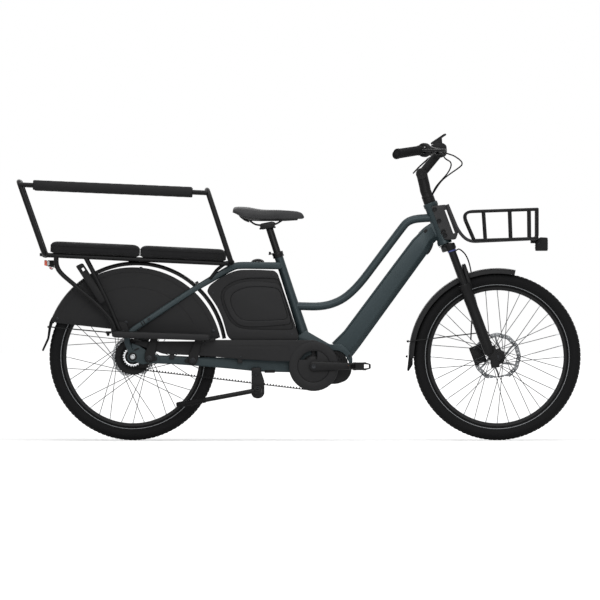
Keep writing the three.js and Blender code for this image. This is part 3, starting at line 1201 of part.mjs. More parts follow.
// The hose leaves the inner end of the brake mount's cylinder
function hoseStart(side, straight) {
  const run = onRamp(side, 1).sub(onRamp(side, 0)).normalize();
  return onRamp(side, 0.49).add(V(leverReach / 2, 0, 0)).addScaledVector(run, -mountTail - seatGap - straight);
}
const leverPivot = (side) => onRamp(side, 0.49).add(V(leverReach, side * leverPivotOut, 0));
function brakeLever(side) {
  const pivot = leverPivot(side);
  const knuckle = rod(pivot.clone().add(V(0, 0, -leverKnuckleHalf)), pivot.clone().add(V(0, 0, leverKnuckleHalf)),
    leverKnuckleRadius, 8);
  const blade = tube([pivot, pivot.clone().add(V(leverRadius / 2, side * leverPivotOut, 0)),
    pivot.clone().add(V(-leverLength * 0.52, side * leverLength * 0.82, 0))], leverRadius, 30, 6, V(0, 0, 1));
  return join(knuckle, blade);
}
function hose(index, skins) {
  const side = index ? 1 : -1;
  const last = hosePixels[index].length - 1;
  const route = hosePixels[index].map((pair, i) => spot(pair, side * (hoseSide + hoseSpread * (1 - i / last) ** 2)));
  const curve = new THREE.CatmullRomCurve3([hoseStart(side, 0), hoseStart(side, 4 * hoseRadius), ...route]);
  const steps = Math.round(curve.getLength() / (hoseRadius * 6));
  return cut(sweep(round(hoseRadius, 8), curve.getSpacedPoints(steps)), skins);
}
function forkHose(skins) {
  const curve = new THREE.CatmullRomCurve3(forkHosePixels.map(([right, down], i) => spot([right, down], forkHoseSides[i])));
  const steps = Math.round(curve.getLength() / (hoseRadius * 6));
  return cut(sweep(round(hoseRadius, 8), curve.getSpacedPoints(steps)), skins);
}
function buildSteering(frameSkin) {
  const crown = add('fork_crown', forkCrown(), 'black');
  const lowers = add('fork_lowers', forkLowers(), 'black');
  const lowerSkin = grown(lowers);
  const caliper = add('front_caliper', frontCaliper(lowerSkin), 'black');
  add('front_fender', frontFender([lowerSkin, grown(crown), grown(caliper)]), 'plastic');
  add('fork_hose', forkHose([lowerSkin, grown(crown), grown(caliper)]), 'rubber');
  const stemBody = add('stem', stem(), 'black');
  add('handlebar', handlebar(), 'black');
  const barSkin = handlebar(seatGap);
  bothSides((word, side) => {
    add(`grip_${word}`, sleeve(side, side < 0 ? 0.03 : 0, 1.02, gripRadius, barSkin), 'rubber');
    add(`brake_mount_${word}`, brakeMount(side, barSkin), 'black');
    add(`brake_lever_${word}`, brakeLever(side), 'black');
  });
  const shifterStart = onRamp(-1, 0.72);
  const shifterRun = onRamp(-1, 1).sub(onRamp(-1, 0)).normalize();
  const shifter = rod(shifterStart, shifterStart.clone().addScaledVector(shifterRun, shifterLength), shifterRadius, 12);
  const shifterBore = rod(shifterStart.clone().addScaledVector(shifterRun, -overrun),
    shifterStart.clone().addScaledVector(shifterRun, shifterLength + overrun), clearing(handlebarRadius + shifterSlack), boreSides);
  add('twist_shifter', cut(shifter, shifterBore), 'plastic');
  const stemSkin = grown(stemBody);
  const [displayLow, displayHigh] = displayPixels.map((pair) => spot(pair));
  const slab = sweep(oblong(displayWidth, displayThickness), [displayLow, displayHigh]);
  add('display', slab, 'plastic');
  add('hose_front', hose(0, [stemSkin, barSkin]), 'rubber');
  add('hose_rear', hose(1, [stemSkin, barSkin]), 'rubber');
}
function build() {
  buildFrame();
  const frameSkin = frameTubes(seatGap);
  buildWheels();
  buildRearTriangle(frameSkin);
  const staySkins = [-1, 1].flatMap((side) => [seatStay(side, seatGap), chainStay(side, seatGap)]);
  const motorSkin = grown(buildDrive([frameSkin, ...staySkins]));
  const rackSkin = buildRear([...staySkins, frameSkin]);
  add('belt_cover', beltCover(staySkins), 'plastic');
  bothSides((word, side) => {
    add(`side_cover_${word}`, sideCover(side, [frameSkin, motorSkin, ...staySkins]), 'plastic');
    add(`wheel_guard_${word}`, wheelGuard(side, [...staySkins, rackSkin]), 'plastic');
    add(`footboard_${word}`, footboard(side, staySkins), 'plastic');
    add(`stand_leg_${word}`, standLeg(side), 'alloy');
  });
  add('rear_fender', rearFender(rackSkin, staySkins), 'plastic');
  add('stand_bracket', standBracket(staySkins), 'black');
  add('rear_caliper', rearCaliper(staySkins), 'black');
  const rack = add('front_rack', frontRack(frameSkin), 'black');
  add('headlight', headlight(grown(rack)), 'plastic');
  const post = add('seatpost', seatpost(), 'black');
  add('saddle', saddle(grown(post)), 'cushion');
  add('seat_clamp', seatClamp(), 'black');
  buildSteering(frameSkin);
}
build();
const bounds = new THREE.Box3().setFromObject(bike);
bike.position.x = -(bounds.min.x + bounds.max.x) / 2;

export default bike;
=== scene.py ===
# %% [markdown]
# # A longtail cargo bike, piece by piece
# This bike carries shopping in front and two passengers behind. A maker bends steel tubes, moulds
# plastic covers and sews cushions, and each of these pieces is made here by the Blender tool that
# works most like it: sections swept along routes, outlines cut from sheet, profiles turned on a
# lathe, and cloth that swells under pressure.
#
# The packed model is loaded first. It fixes where everything is and what moves with what, so the
# new pieces only have to be beautiful and stay in place.

# %% The fixed frame
import math
import json

import bmesh
import bpy
from mathutils import Matrix, Vector
from mathutils.bvhtree import BVHTree


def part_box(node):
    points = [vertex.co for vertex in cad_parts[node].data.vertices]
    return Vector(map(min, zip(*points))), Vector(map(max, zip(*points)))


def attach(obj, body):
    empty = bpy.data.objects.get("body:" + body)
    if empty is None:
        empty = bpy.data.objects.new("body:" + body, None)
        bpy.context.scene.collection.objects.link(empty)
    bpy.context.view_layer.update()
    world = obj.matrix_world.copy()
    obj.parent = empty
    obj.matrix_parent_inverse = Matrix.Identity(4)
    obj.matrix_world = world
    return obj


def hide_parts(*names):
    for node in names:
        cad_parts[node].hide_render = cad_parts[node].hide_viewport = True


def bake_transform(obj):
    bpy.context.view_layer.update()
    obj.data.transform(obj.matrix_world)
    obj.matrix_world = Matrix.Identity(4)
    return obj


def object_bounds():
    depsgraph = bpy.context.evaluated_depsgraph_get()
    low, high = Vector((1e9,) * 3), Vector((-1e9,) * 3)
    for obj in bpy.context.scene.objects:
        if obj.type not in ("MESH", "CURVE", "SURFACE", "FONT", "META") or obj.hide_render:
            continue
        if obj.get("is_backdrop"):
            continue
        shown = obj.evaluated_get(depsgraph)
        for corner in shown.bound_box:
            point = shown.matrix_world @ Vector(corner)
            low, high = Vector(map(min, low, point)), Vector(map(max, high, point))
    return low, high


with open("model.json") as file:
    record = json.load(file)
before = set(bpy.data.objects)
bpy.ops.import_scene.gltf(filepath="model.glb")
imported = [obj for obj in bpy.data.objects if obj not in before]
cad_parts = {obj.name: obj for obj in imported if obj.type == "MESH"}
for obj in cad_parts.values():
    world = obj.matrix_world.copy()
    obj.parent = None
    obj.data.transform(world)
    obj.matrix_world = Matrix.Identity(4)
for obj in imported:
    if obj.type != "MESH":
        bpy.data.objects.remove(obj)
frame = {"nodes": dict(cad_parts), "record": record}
cad_box = [list(corner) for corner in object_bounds()]
print("nodes to dress:", len(frame["nodes"]), "box:", cad_box)

# %% [markdown]
# ## Places on the bike
# Side views are the maker's drawing. A place is read off the picture as points right and down, and
# one scale turns it into metres, because the distance between the two axles is known in both. The
# third number is how far the place lies to the left of the bike's middle plane.

# %% From picture points to metres
joints = {joint["name"]: joint for joint in frame["record"]["behaviour"]["joints"]}
REAR_AXLE = Vector(joints["rear_wheel_spin"]["pos_m"])
FRONT_AXLE = Vector(joints["front_wheel_spin"]["pos_m"])
CRANK = Vector(joints["crank_spin"]["pos_m"])
HEAD_TOP = Vector(joints["steer"]["pos_m"])
STEER_AXIS = Vector(joints["steer"]["axis"]).normalized()
STEER_AHEAD = Vector((STEER_AXIS.z, 0, -STEER_AXIS.x))
POINT = (FRONT_AXLE.x - REAR_AXLE.x) / 364.25


def spot(right, down, side=0.0):
    """A picture point as a place on the bike."""
    return Vector((REAR_AXLE.x + (right - 132.9) * POINT, side, REAR_AXLE.z + (356.7 - down) * POINT))


def steered(ahead, side, along):
    """A place measured from the top of the head tube, in the slanted frame of the steering."""
    return HEAD_TOP + STEER_AHEAD * ahead + STEER_AXIS * along + Vector((0, side, 0))


def between(start, end, share):
    """A place on the straight line from start to end."""
    return start + (end - start) * share


print("one picture point is", round(POINT * 1000, 3), "mm")

# %% [markdown]
# ## Camera
# The bike was photographed from its drive side, level with the middle of the wheels' height. A long
# lens keeps near and far tubes almost the same size, as in the picture. The distance follows from
# the lens: 600 picture points have to fill the sensor's width.

# %% Camera at the photograph's angle
camera_data = bpy.data.cameras.new("camera")
camera_data.lens = 900
camera_data.sensor_width = 36
camera_data.clip_end = 400
camera = bpy.data.objects.new("camera", camera_data)
bpy.context.scene.collection.objects.link(camera)
look_at = spot(300, 300)
camera_distance = 600 * POINT * camera_data.lens / camera_data.sensor_width
camera.location = look_at + Vector((0, -camera_distance, 0))
camera.rotation_euler = (math.pi / 2, 0, 0)
bpy.context.scene.camera = camera
bpy.context.scene.view_settings.view_transform = "Standard"
print("camera stands", round(camera_distance, 2), "m from the bike")

# %% [markdown]
# ## Shader maths that reads like Python
# A material is a network of nodes. Wiring twenty boxes by hand hides what they say, so one small
# class stands for the value that flows out of a socket. Adding, multiplying or comparing two of
# these values adds the matching node. Colours are never sent through a Math node, which would turn
# them grey: they are mixed instead.


# %% A value that flows between nodes
class Flow:
    def __init__(self, finish, socket):
        self.finish, self.socket = finish, socket

    def maths(self, operation, first, second=0.0):
        kinds = [value.socket.type for value in (first, second) if isinstance(value, Flow)]
        kind = "ShaderNodeVectorMath" if "VECTOR" in kinds else "ShaderNodeMath"
        return self.finish.node(kind, {"operation": operation}, {0: first, 1: second})

    def __add__(self, other):
        return self.maths("ADD", self, other)

    def __sub__(self, other):
        return self.maths("SUBTRACT", self, other)

    def __rsub__(self, other):
        return self.maths("SUBTRACT", other, self)

    def __mul__(self, other):
        return self.maths("MULTIPLY", self, other)

    def __gt__(self, other):
        return self.maths("GREATER_THAN", self, other)

    def __lt__(self, other):
        return self.maths("LESS_THAN", self, other)

    __radd__ = __add__
    __rmul__ = __mul__

    def waves(self, length):
        """A soft stripe pattern from -1 to 1 that repeats after a length."""
        return self.maths("SINE", self * (2 * math.pi / length))


print("values know:", [name for name in vars(Flow) if name.startswith("__") and name.endswith("__")][:9])

# %% [markdown]
# ## Finishes
# Every finish is one Principled shader. Paint, moulded plastic, rubber and cloth differ in colour,
# roughness and fine relief, and each of these is a pattern in space, measured in metres on the
# bike. So the grain keeps its real size on a large cover and on a small knob, with no unwrapping.


# %% One finish, and the method that adds any node to it
class Finish:
    def __init__(self, name, **fixed):
        self.material = bpy.data.materials.new(name)
        self.material.use_nodes = True
        self.tree = self.material.node_tree
        self.shader = self.tree.nodes["Principled BSDF"]
        self.place = self.node("ShaderNodeTexCoord", out="Object")
        self.surface(**fixed)

    def node(self, kind, settings=None, sockets=None, out=0):
        """Adds a node: its settings first, then the values or links of its sockets."""
        made = self.tree.nodes.new(kind)
        for name, value in (settings or {}).items():
            if name == "stops":
                ramp = made.color_ramp
                for place, level in value[2:]:
                    ramp.elements.new(place)
                for element, (place, level) in zip(ramp.elements, sorted(value)):
                    element.position = place
                    element.color = (level, level, level, 1)
            else:
                setattr(made, name, value)
        for name, value in (sockets or {}).items():
            self.feed(made.inputs[name], value)
        return Flow(self, made.outputs[out])

    def feed(self, socket, value):
        if isinstance(value, Flow):
            self.tree.links.new(value.socket, socket)
        elif socket.type == "VECTOR" and isinstance(value, (int, float)):
            socket.default_value = (value, value, value)
        else:
            socket.default_value = value

    def surface(self, **sockets):
        for name, value in sockets.items():
            self.feed(self.shader.inputs[name.replace("_", " ")], value)
        return self

    def noise(self, size, detail=2.0, place=None):
        """Cloudy noise whose patches are about a size across."""
        sockets = {"Vector": place or self.place, "Scale": 1 / size, "Detail": detail}
        return self.node("ShaderNodeTexNoise", {}, sockets, out="Fac")

    def cells(self, size):
        """Distance to the nearest of many scattered points a size apart."""
        return self.node("ShaderNodeTexVoronoi", {}, {"Vector": self.place, "Scale": 1 / size},
            out="Distance")

    def mixed(self, mask, first, second):
        """A colour that goes from first to second with the mask."""
        settings = {"data_type": "RGBA"}
        return self.node("ShaderNodeMix", settings, {0: mask, 6: first, 7: second}, out=2)

    def between(self, value, low, high):
        """A value stretched so that low becomes 0 and high becomes 1."""
        sockets = {"Value": value, "From Min": low, "From Max": high}
        return self.node("ShaderNodeMapRange", {"clamp": True}, sockets)

    def relief(self, height, depth, strength=1.0):
        """Fine relief, as deep as its height pattern says."""
        sockets = {"Height": height, "Distance": depth, "Strength": strength}
        return self.surface(Normal=self.node("ShaderNodeBump", {}, sockets))

    def axes(self, centre=None):
        """The three coordinates as values, measured from a centre."""
        place = self.place if centre is None else self.place - Vector(centre)
        parts = self.node("ShaderNodeSeparateXYZ", {}, {0: place})
        return [Flow(self, parts.socket.node.outputs[i]) for i in range(3)]


def colour(red, green, blue):
    """A colour as picture editors write it, turned into the light values that shaders use."""
    levels = [(c / 255) / 12.92 if c < 11 else ((c / 255 + 0.055) / 1.055) ** 2.4 for c in (red, green,
        blue)]
    return (*levels, 1.0)


print("a paint colour in light values:", [round(c, 4) for c in colour(70, 84, 90)])

# %% [markdown]
# ## Paint and metal
# The frame wears a satin paint of dark grey-green with metal flakes under a clear coat. Racks, stem
# and fork are powder coated in black: the powder melts into a skin like fine orange peel. Bare
# bolts, brake discs and the axle are steel, and their roughness runs in rings or streaks.


# %% Finishes of the metal pieces
def frame_paint(name, base, metallic):
    finish = Finish(name, Metallic=metallic, Specular_IOR_Level=0.16, Coat_Weight=0.08, Coat_Roughness=0.22)
    flakes = finish.between(finish.noise(0.0006, 1), 0.42, 0.66)
    clouds = finish.noise(0.12, 3)
    light = [min(1, channel * 1.16) for channel in base[:3]] + [1]
    dark = [channel * 0.9 for channel in base[:3]] + [1]
    finish.surface(Base_Color=finish.mixed(flakes * 0.6 + clouds * 0.4, dark, light),
        Roughness=clouds * 0.08 + 0.34)
    return finish.relief(finish.noise(0.0022, 2), 0.00005, 0.5)


def powder_coat(name, base, roughness):
    finish = Finish(name, Metallic=0.0, Specular_IOR_Level=0.14, Coat_Weight=0.03, Coat_Roughness=0.3)
    peel = finish.noise(0.0011, 2)
    clouds = finish.noise(0.09, 2)
    worn = [min(1, channel * 1.5 + 0.004) for channel in base[:3]] + [1]
    finish.surface(Base_Color=finish.mixed(clouds * 0.5, base, worn),
        Roughness=peel * 0.1 + (roughness - 0.05))
    return finish.relief(peel, 0.00006, 0.6)


def bare_metal(name, base, roughness, streak=0.0008):
    finish = Finish(name, Metallic=1.0)
    brushed = finish.noise(streak, 4, finish.place * Vector((1, 12, 1)))
    dull = [channel * 0.8 for channel in base[:3]] + [1]
    finish.surface(Base_Color=finish.mixed(brushed, base, dull),
        Roughness=brushed * 0.16 + (roughness - 0.06))
    return finish.relief(brushed, 0.00002, 0.4)


PAINT = frame_paint("frame_paint", colour(41, 51, 54), 0.25)
BLACK_METAL = powder_coat("black_powder_coat", colour(8, 8, 9), 0.46)
DEEP_METAL = powder_coat("deep_black_casting", colour(16, 16, 17), 0.5)
GREY_METAL = powder_coat("grey_powder_coat", colour(40, 40, 41), 0.5)
ALLOY = powder_coat("black_anodised", colour(11, 11, 12), 0.38)
STEEL = bare_metal("steel", colour(186, 188, 190), 0.3)
DISC_STEEL = bare_metal("disc_steel", colour(112, 114, 116), 0.38)
BOLT = bare_metal("black_bolt", colour(46, 47, 49), 0.36)
SILVER = bare_metal("bright_alloy", colour(222, 223, 225), 0.22)
print("metal finishes: 8")

# %% [markdown]
# ## Plastic, rubber and cloth
# Moulded covers take the spark-eroded grain of their mould: a fine, even pebble that scatters the
# light. Rubber is duller, with a trace of dust. The seat cover is a coarse woven cloth, which two
# crossed waves describe well, and the saddle has the creases of artificial leather.


# %% Finishes of the plastic, rubber and cloth pieces
def moulded(name, base, roughness, grain=0.0009, depth=0.00012):
    finish = Finish(name, Specular_IOR_Level=0.16)
    pebble = finish.cells(grain)
    clouds = finish.noise(0.15, 3)
    light = [min(1, channel * 1.3 + 0.002) for channel in base[:3]] + [1]
    finish.surface(Base_Color=finish.mixed(clouds, base, light),
        Roughness=clouds * 0.1 + pebble * 0.08 + (roughness - 0.08))
    return finish.relief(pebble, depth, 0.6)


def rubbery(name, base, dust=0.5):
    finish = Finish(name, Specular_IOR_Level=0.12)
    grain = finish.noise(0.0007, 3)
    clouds = finish.noise(0.05, 4)
    dusty = [channel + 0.005 for channel in base[:3]] + [1]
    finish.surface(Base_Color=finish.mixed(clouds * dust, base, dusty), Roughness=grain * 0.15 + 0.66)
    return finish.relief(grain, 0.00012, 0.6)


def woven(name, base):
    finish = Finish(name, Specular_IOR_Level=0.12, Sheen_Weight=0.06, Sheen_Roughness=0.5)
    along, across, up = finish.axes()
    threads = along.waves(0.0016) * (across + up).waves(0.0016)
    slubs = finish.noise(0.004, 3)
    light = [channel * 1.9 + 0.003 for channel in base[:3]] + [1]
    finish.surface(Base_Color=finish.mixed(threads * 0.3 + slubs * 0.5, base, light),
        Roughness=slubs * 0.12 + 0.74)
    return finish.relief(threads * 0.7 + slubs, 0.00022, 0.55)


def leather(name, base):
    finish = Finish(name, Specular_IOR_Level=0.2)
    creases = finish.between(finish.cells(0.0024), 0.0, 0.5)
    clouds = finish.noise(0.06, 3)
    light = [channel * 1.5 + 0.004 for channel in base[:3]] + [1]
    finish.surface(Base_Color=finish.mixed(clouds, base, light),
        Roughness=creases * 0.1 + clouds * 0.08 + 0.44)
    return finish.relief(creases, 0.00012, 0.5)


def glowing(name, base, roughness=0.15, coat=0.6):
    finish = Finish(name, Roughness=roughness, Coat_Weight=coat)
    ribs = finish.axes()[2].waves(0.0022)
    deep = [channel * 0.6 for channel in base[:3]] + [1]
    finish.surface(Base_Color=finish.mixed(ribs * 0.3 + 0.4, base, deep))
    return finish.relief(ribs, 0.0001, 0.4)


COVER = moulded("moulded_cover", colour(22, 22, 23), 0.52)
GUARD = moulded("smooth_guard", colour(18, 18, 19), 0.5, 0.0006, 0.00006)
DARK_PLASTIC = moulded("dark_plastic", colour(8, 8, 9), 0.5)
RUBBER = rubbery("rubber", colour(8, 8, 9))
FOAM = rubbery("foam", colour(27, 27, 28), 0.8)
HOSE = rubbery("hose_jacket", colour(10, 10, 11), 0.2)
CUSHION = woven("seat_cloth", colour(20, 20, 21))
SADDLE = leather("saddle_cover", colour(31, 31, 32))
RED_LENS = glowing("red_lens", colour(233, 84, 42))
CLEAR_LENS = glowing("clear_lens", colour(205, 208, 210))
RED_TAG = glowing("red_tag", colour(205, 30, 26))
BLUE_SEAL = glowing("blue_seal", colour(44, 56, 120), 0.4, 0.2)
SCREEN = glowing("dark_glass", colour(12, 13, 15))
print("soft and moulded finishes: 13")

# %% [markdown]
# ## Light and floor
# The picture has an even white ground with one thin, soft shadow under the tyres. The world lights
# everything softly from all round, one wide lamp above gives the tubes their bright upper edges,
# and a lamp beside the camera fills the dark side. The floor is an ordinary white surface that also
# glows a little towards the camera, so it stays white where nothing shades it and keeps the shadow.


# %% World, lamps and floor
def white_world():
    world = bpy.context.scene.world or bpy.data.worlds.new("world")
    bpy.context.scene.world = world
    world.use_nodes = True
    nodes, links = world.node_tree.nodes, world.node_tree.links
    ground = nodes["Background"]
    ground.inputs["Color"].default_value = (1, 1, 1, 1)
    path = nodes.new("ShaderNodeLightPath")
    seen = nodes.new("ShaderNodeMath")
    seen.operation = "MAXIMUM"
    links.new(path.outputs["Is Camera Ray"], seen.inputs[0])
    shine = nodes.new("ShaderNodeMath")
    shine.operation = "MAXIMUM"
    links.new(path.outputs["Is Glossy Ray"], shine.inputs[0])
    links.new(path.outputs["Is Transmission Ray"], shine.inputs[1])
    links.new(shine.outputs[0], seen.inputs[1])
    level = nodes.new("ShaderNodeMapRange")
    level.inputs["To Min"].default_value = 0.62
    level.inputs["To Max"].default_value = 1.0
    links.new(seen.outputs[0], level.inputs["Value"])
    links.new(level.outputs[0], ground.inputs["Strength"])


def lamp(name, place, aim, size, power):
    data = bpy.data.lights.new(name, "AREA")
    data.shape, data.size, data.size_y, data.energy = "RECTANGLE", size[0], size[1], power
    made = bpy.data.objects.new(name, data)
    made.location = place
    made.rotation_euler = (Vector(aim) - Vector(place)).to_track_quat("-Z", "Y").to_euler()
    bpy.context.scene.collection.objects.link(made)
    return made


def white_floor():
    finish = Finish("floor", Base_Color=colour(245, 245, 245), Roughness=0.9, Specular_IOR_Level=0.0)
    path = finish.node("ShaderNodeLightPath", out="Is Camera Ray")
    speck = finish.noise(0.02, 2)
    finish.surface(Base_Color=finish.mixed(speck, colour(244, 244, 244), colour(247, 247, 247)))
    along, across, up = finish.axes()
    far = (along * along + across * across).maths("SQRT", along * along + across * across)
    glow = finish.mixed(finish.between(far, 1.4, 4.2), (0.0, 0.0, 0.0, 1), (0.6, 0.6, 0.6, 1))
    finish.surface(Emission_Color=finish.mixed(path, (0, 0, 0, 1), glow), Emission_Strength=1.0)
    mesh = bpy.data.meshes.new("floor")
    mesh.from_pydata([(-60, -30, 0), (60, -30, 0), (60, 90, 0), (-60, 90, 0)], [], [(0, 1, 2, 3)])
    floor = bpy.data.objects.new("floor", mesh)
    floor.data.materials.append(finish.material)
    bpy.context.scene.collection.objects.link(floor)
    floor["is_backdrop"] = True
    return floor


white_world()
white_floor()
lamp("top_light", (0.2, -0.6, 3.4), (0, 0, 0.5), (3.6, 2.0), 60)
lamp("side_light", (0.4, -4.5, 2.4), (0, 0, 0.5), (3.5, 2.5), 95)
lamp("back_light", (-0.6, 3.5, 2.6), (0, 0, 0.6), (3.5, 2.0), 50)

# %% [markdown]
# ## The bench
# Every piece is built on a bench that collects faces. Three ways of working cover the bike: a
# section swept along a route (tubes, stays, hoses), a flat outline given a thickness and rounded
# edges (covers, plates), and a profile turned about an axis (hubs, bolts, discs). When all forms of
# one piece are on the bench, they become one mesh that rides on its body and takes its finish.


# %% Sections and routes
def circle(radius, sides=20):
    return [(radius * math.cos(2 * math.pi * i / sides), radius * math.sin(2 * math.pi * i / sides))
        for i in range(sides)]


def rounded_box(width, height, corner, steps=4):
    """A rectangle with round corners as a section."""
    corner = min(corner, width / 2, height / 2)
    points = []
    for k, (a, b) in enumerate([(1, 1), (-1, 1), (-1, -1), (1, -1)]):
        for i in range(steps + 1):
            turn = math.pi / 2 * (k + i / steps)
            points.append((a * (width / 2 - corner) + corner * math.cos(turn),
                b * (height / 2 - corner) + corner * math.sin(turn)))
    return points


def rounded(route, reach, steps=7):
    """A route of straight runs whose corners become smooth bends."""
    made = [Vector(route[0])]
    for before, corner, after in zip(route, route[1:], route[2:]):
        start = corner + (before - corner).normalized() * min(reach, (before - corner).length * 0.49)
        end = corner + (after - corner).normalized() * min(reach, (after - corner).length * 0.49)
        for i in range(steps + 1):
            t = i / steps
            made.append(start * (1 - t) ** 2 + corner * 2 * t * (1 - t) + end * t**2)
    made.append(Vector(route[-1]))
    return made


def flowing(route, steps=8):
    """A smooth curve through all places of a route."""
    places = [route[0]] + list(route) + [route[-1]]
    made = []
    for a, b, c, d in zip(places, places[1:], places[2:], places[3:]):
        for i in range(steps):
            t = i / steps
            made.append(0.5 * (2 * b + (c - a) * t + (2 * a - 5 * b + 4 * c - d) * t**2
                + (3 * b - a - 3 * c + d) * t**3))
    return made + [Vector(route[-1])]


def softened(outline, corner, steps=5):
    """An outline in the side view with every corner rounded."""
    made = []
    count = len(outline)
    for k in range(count):
        before, here, after = (Vector(outline[(k + i) % count]) for i in (-1, 0, 1))
        reach = min(corner, (before - here).length * 0.45, (after - here).length * 0.45)
        start, end = here + (before - here).normalized() * reach, here + (after - here).normalized() * reach
        made += [start * (1 - i / steps) ** 2 + here * 2 * (i / steps) * (1 - i / steps) + end
            * (i / steps) ** 2 for i in range(steps + 1)]
    return [tuple(point) for point in made]


def flat(pixels):
    """Picture points as an outline in the side view, in metres."""
    return [(spot(*pair).x, spot(*pair).z) for pair in pixels]


def arc(centre, radius, start, end, count):
    """Points of an arc in the side view; angles in degrees from straight ahead and rising."""
    turns = [math.radians(start + (end - start) * i / count) for i in range(count + 1)]
    return [(centre[0] + radius * math.cos(turn), centre[-1] + radius * math.sin(turn)) for turn in turns]


def table(origin, ahead=(1, 0, 0), up=(0, 0, 1)):
    """A tilted work table: its own x runs ahead, its z runs up and its y to the left."""
    up = Vector(up).normalized()
    ahead = (Vector(ahead) - up * up.dot(Vector(ahead))).normalized()
    return Matrix.Translation(origin) @ Matrix((ahead, up.cross(ahead), up)).transposed().to_4x4()


def upright(points, side=0.0):
    """Side view places as a route at one distance to the left."""
    return [Vector((x, side, z)) for x, z in points]


print("a rounded corner of a route has",
    len(rounded([Vector((0, 0, 0)), Vector((1, 0, 0)), Vector((1, 0, 1))], 0.1)), "places")


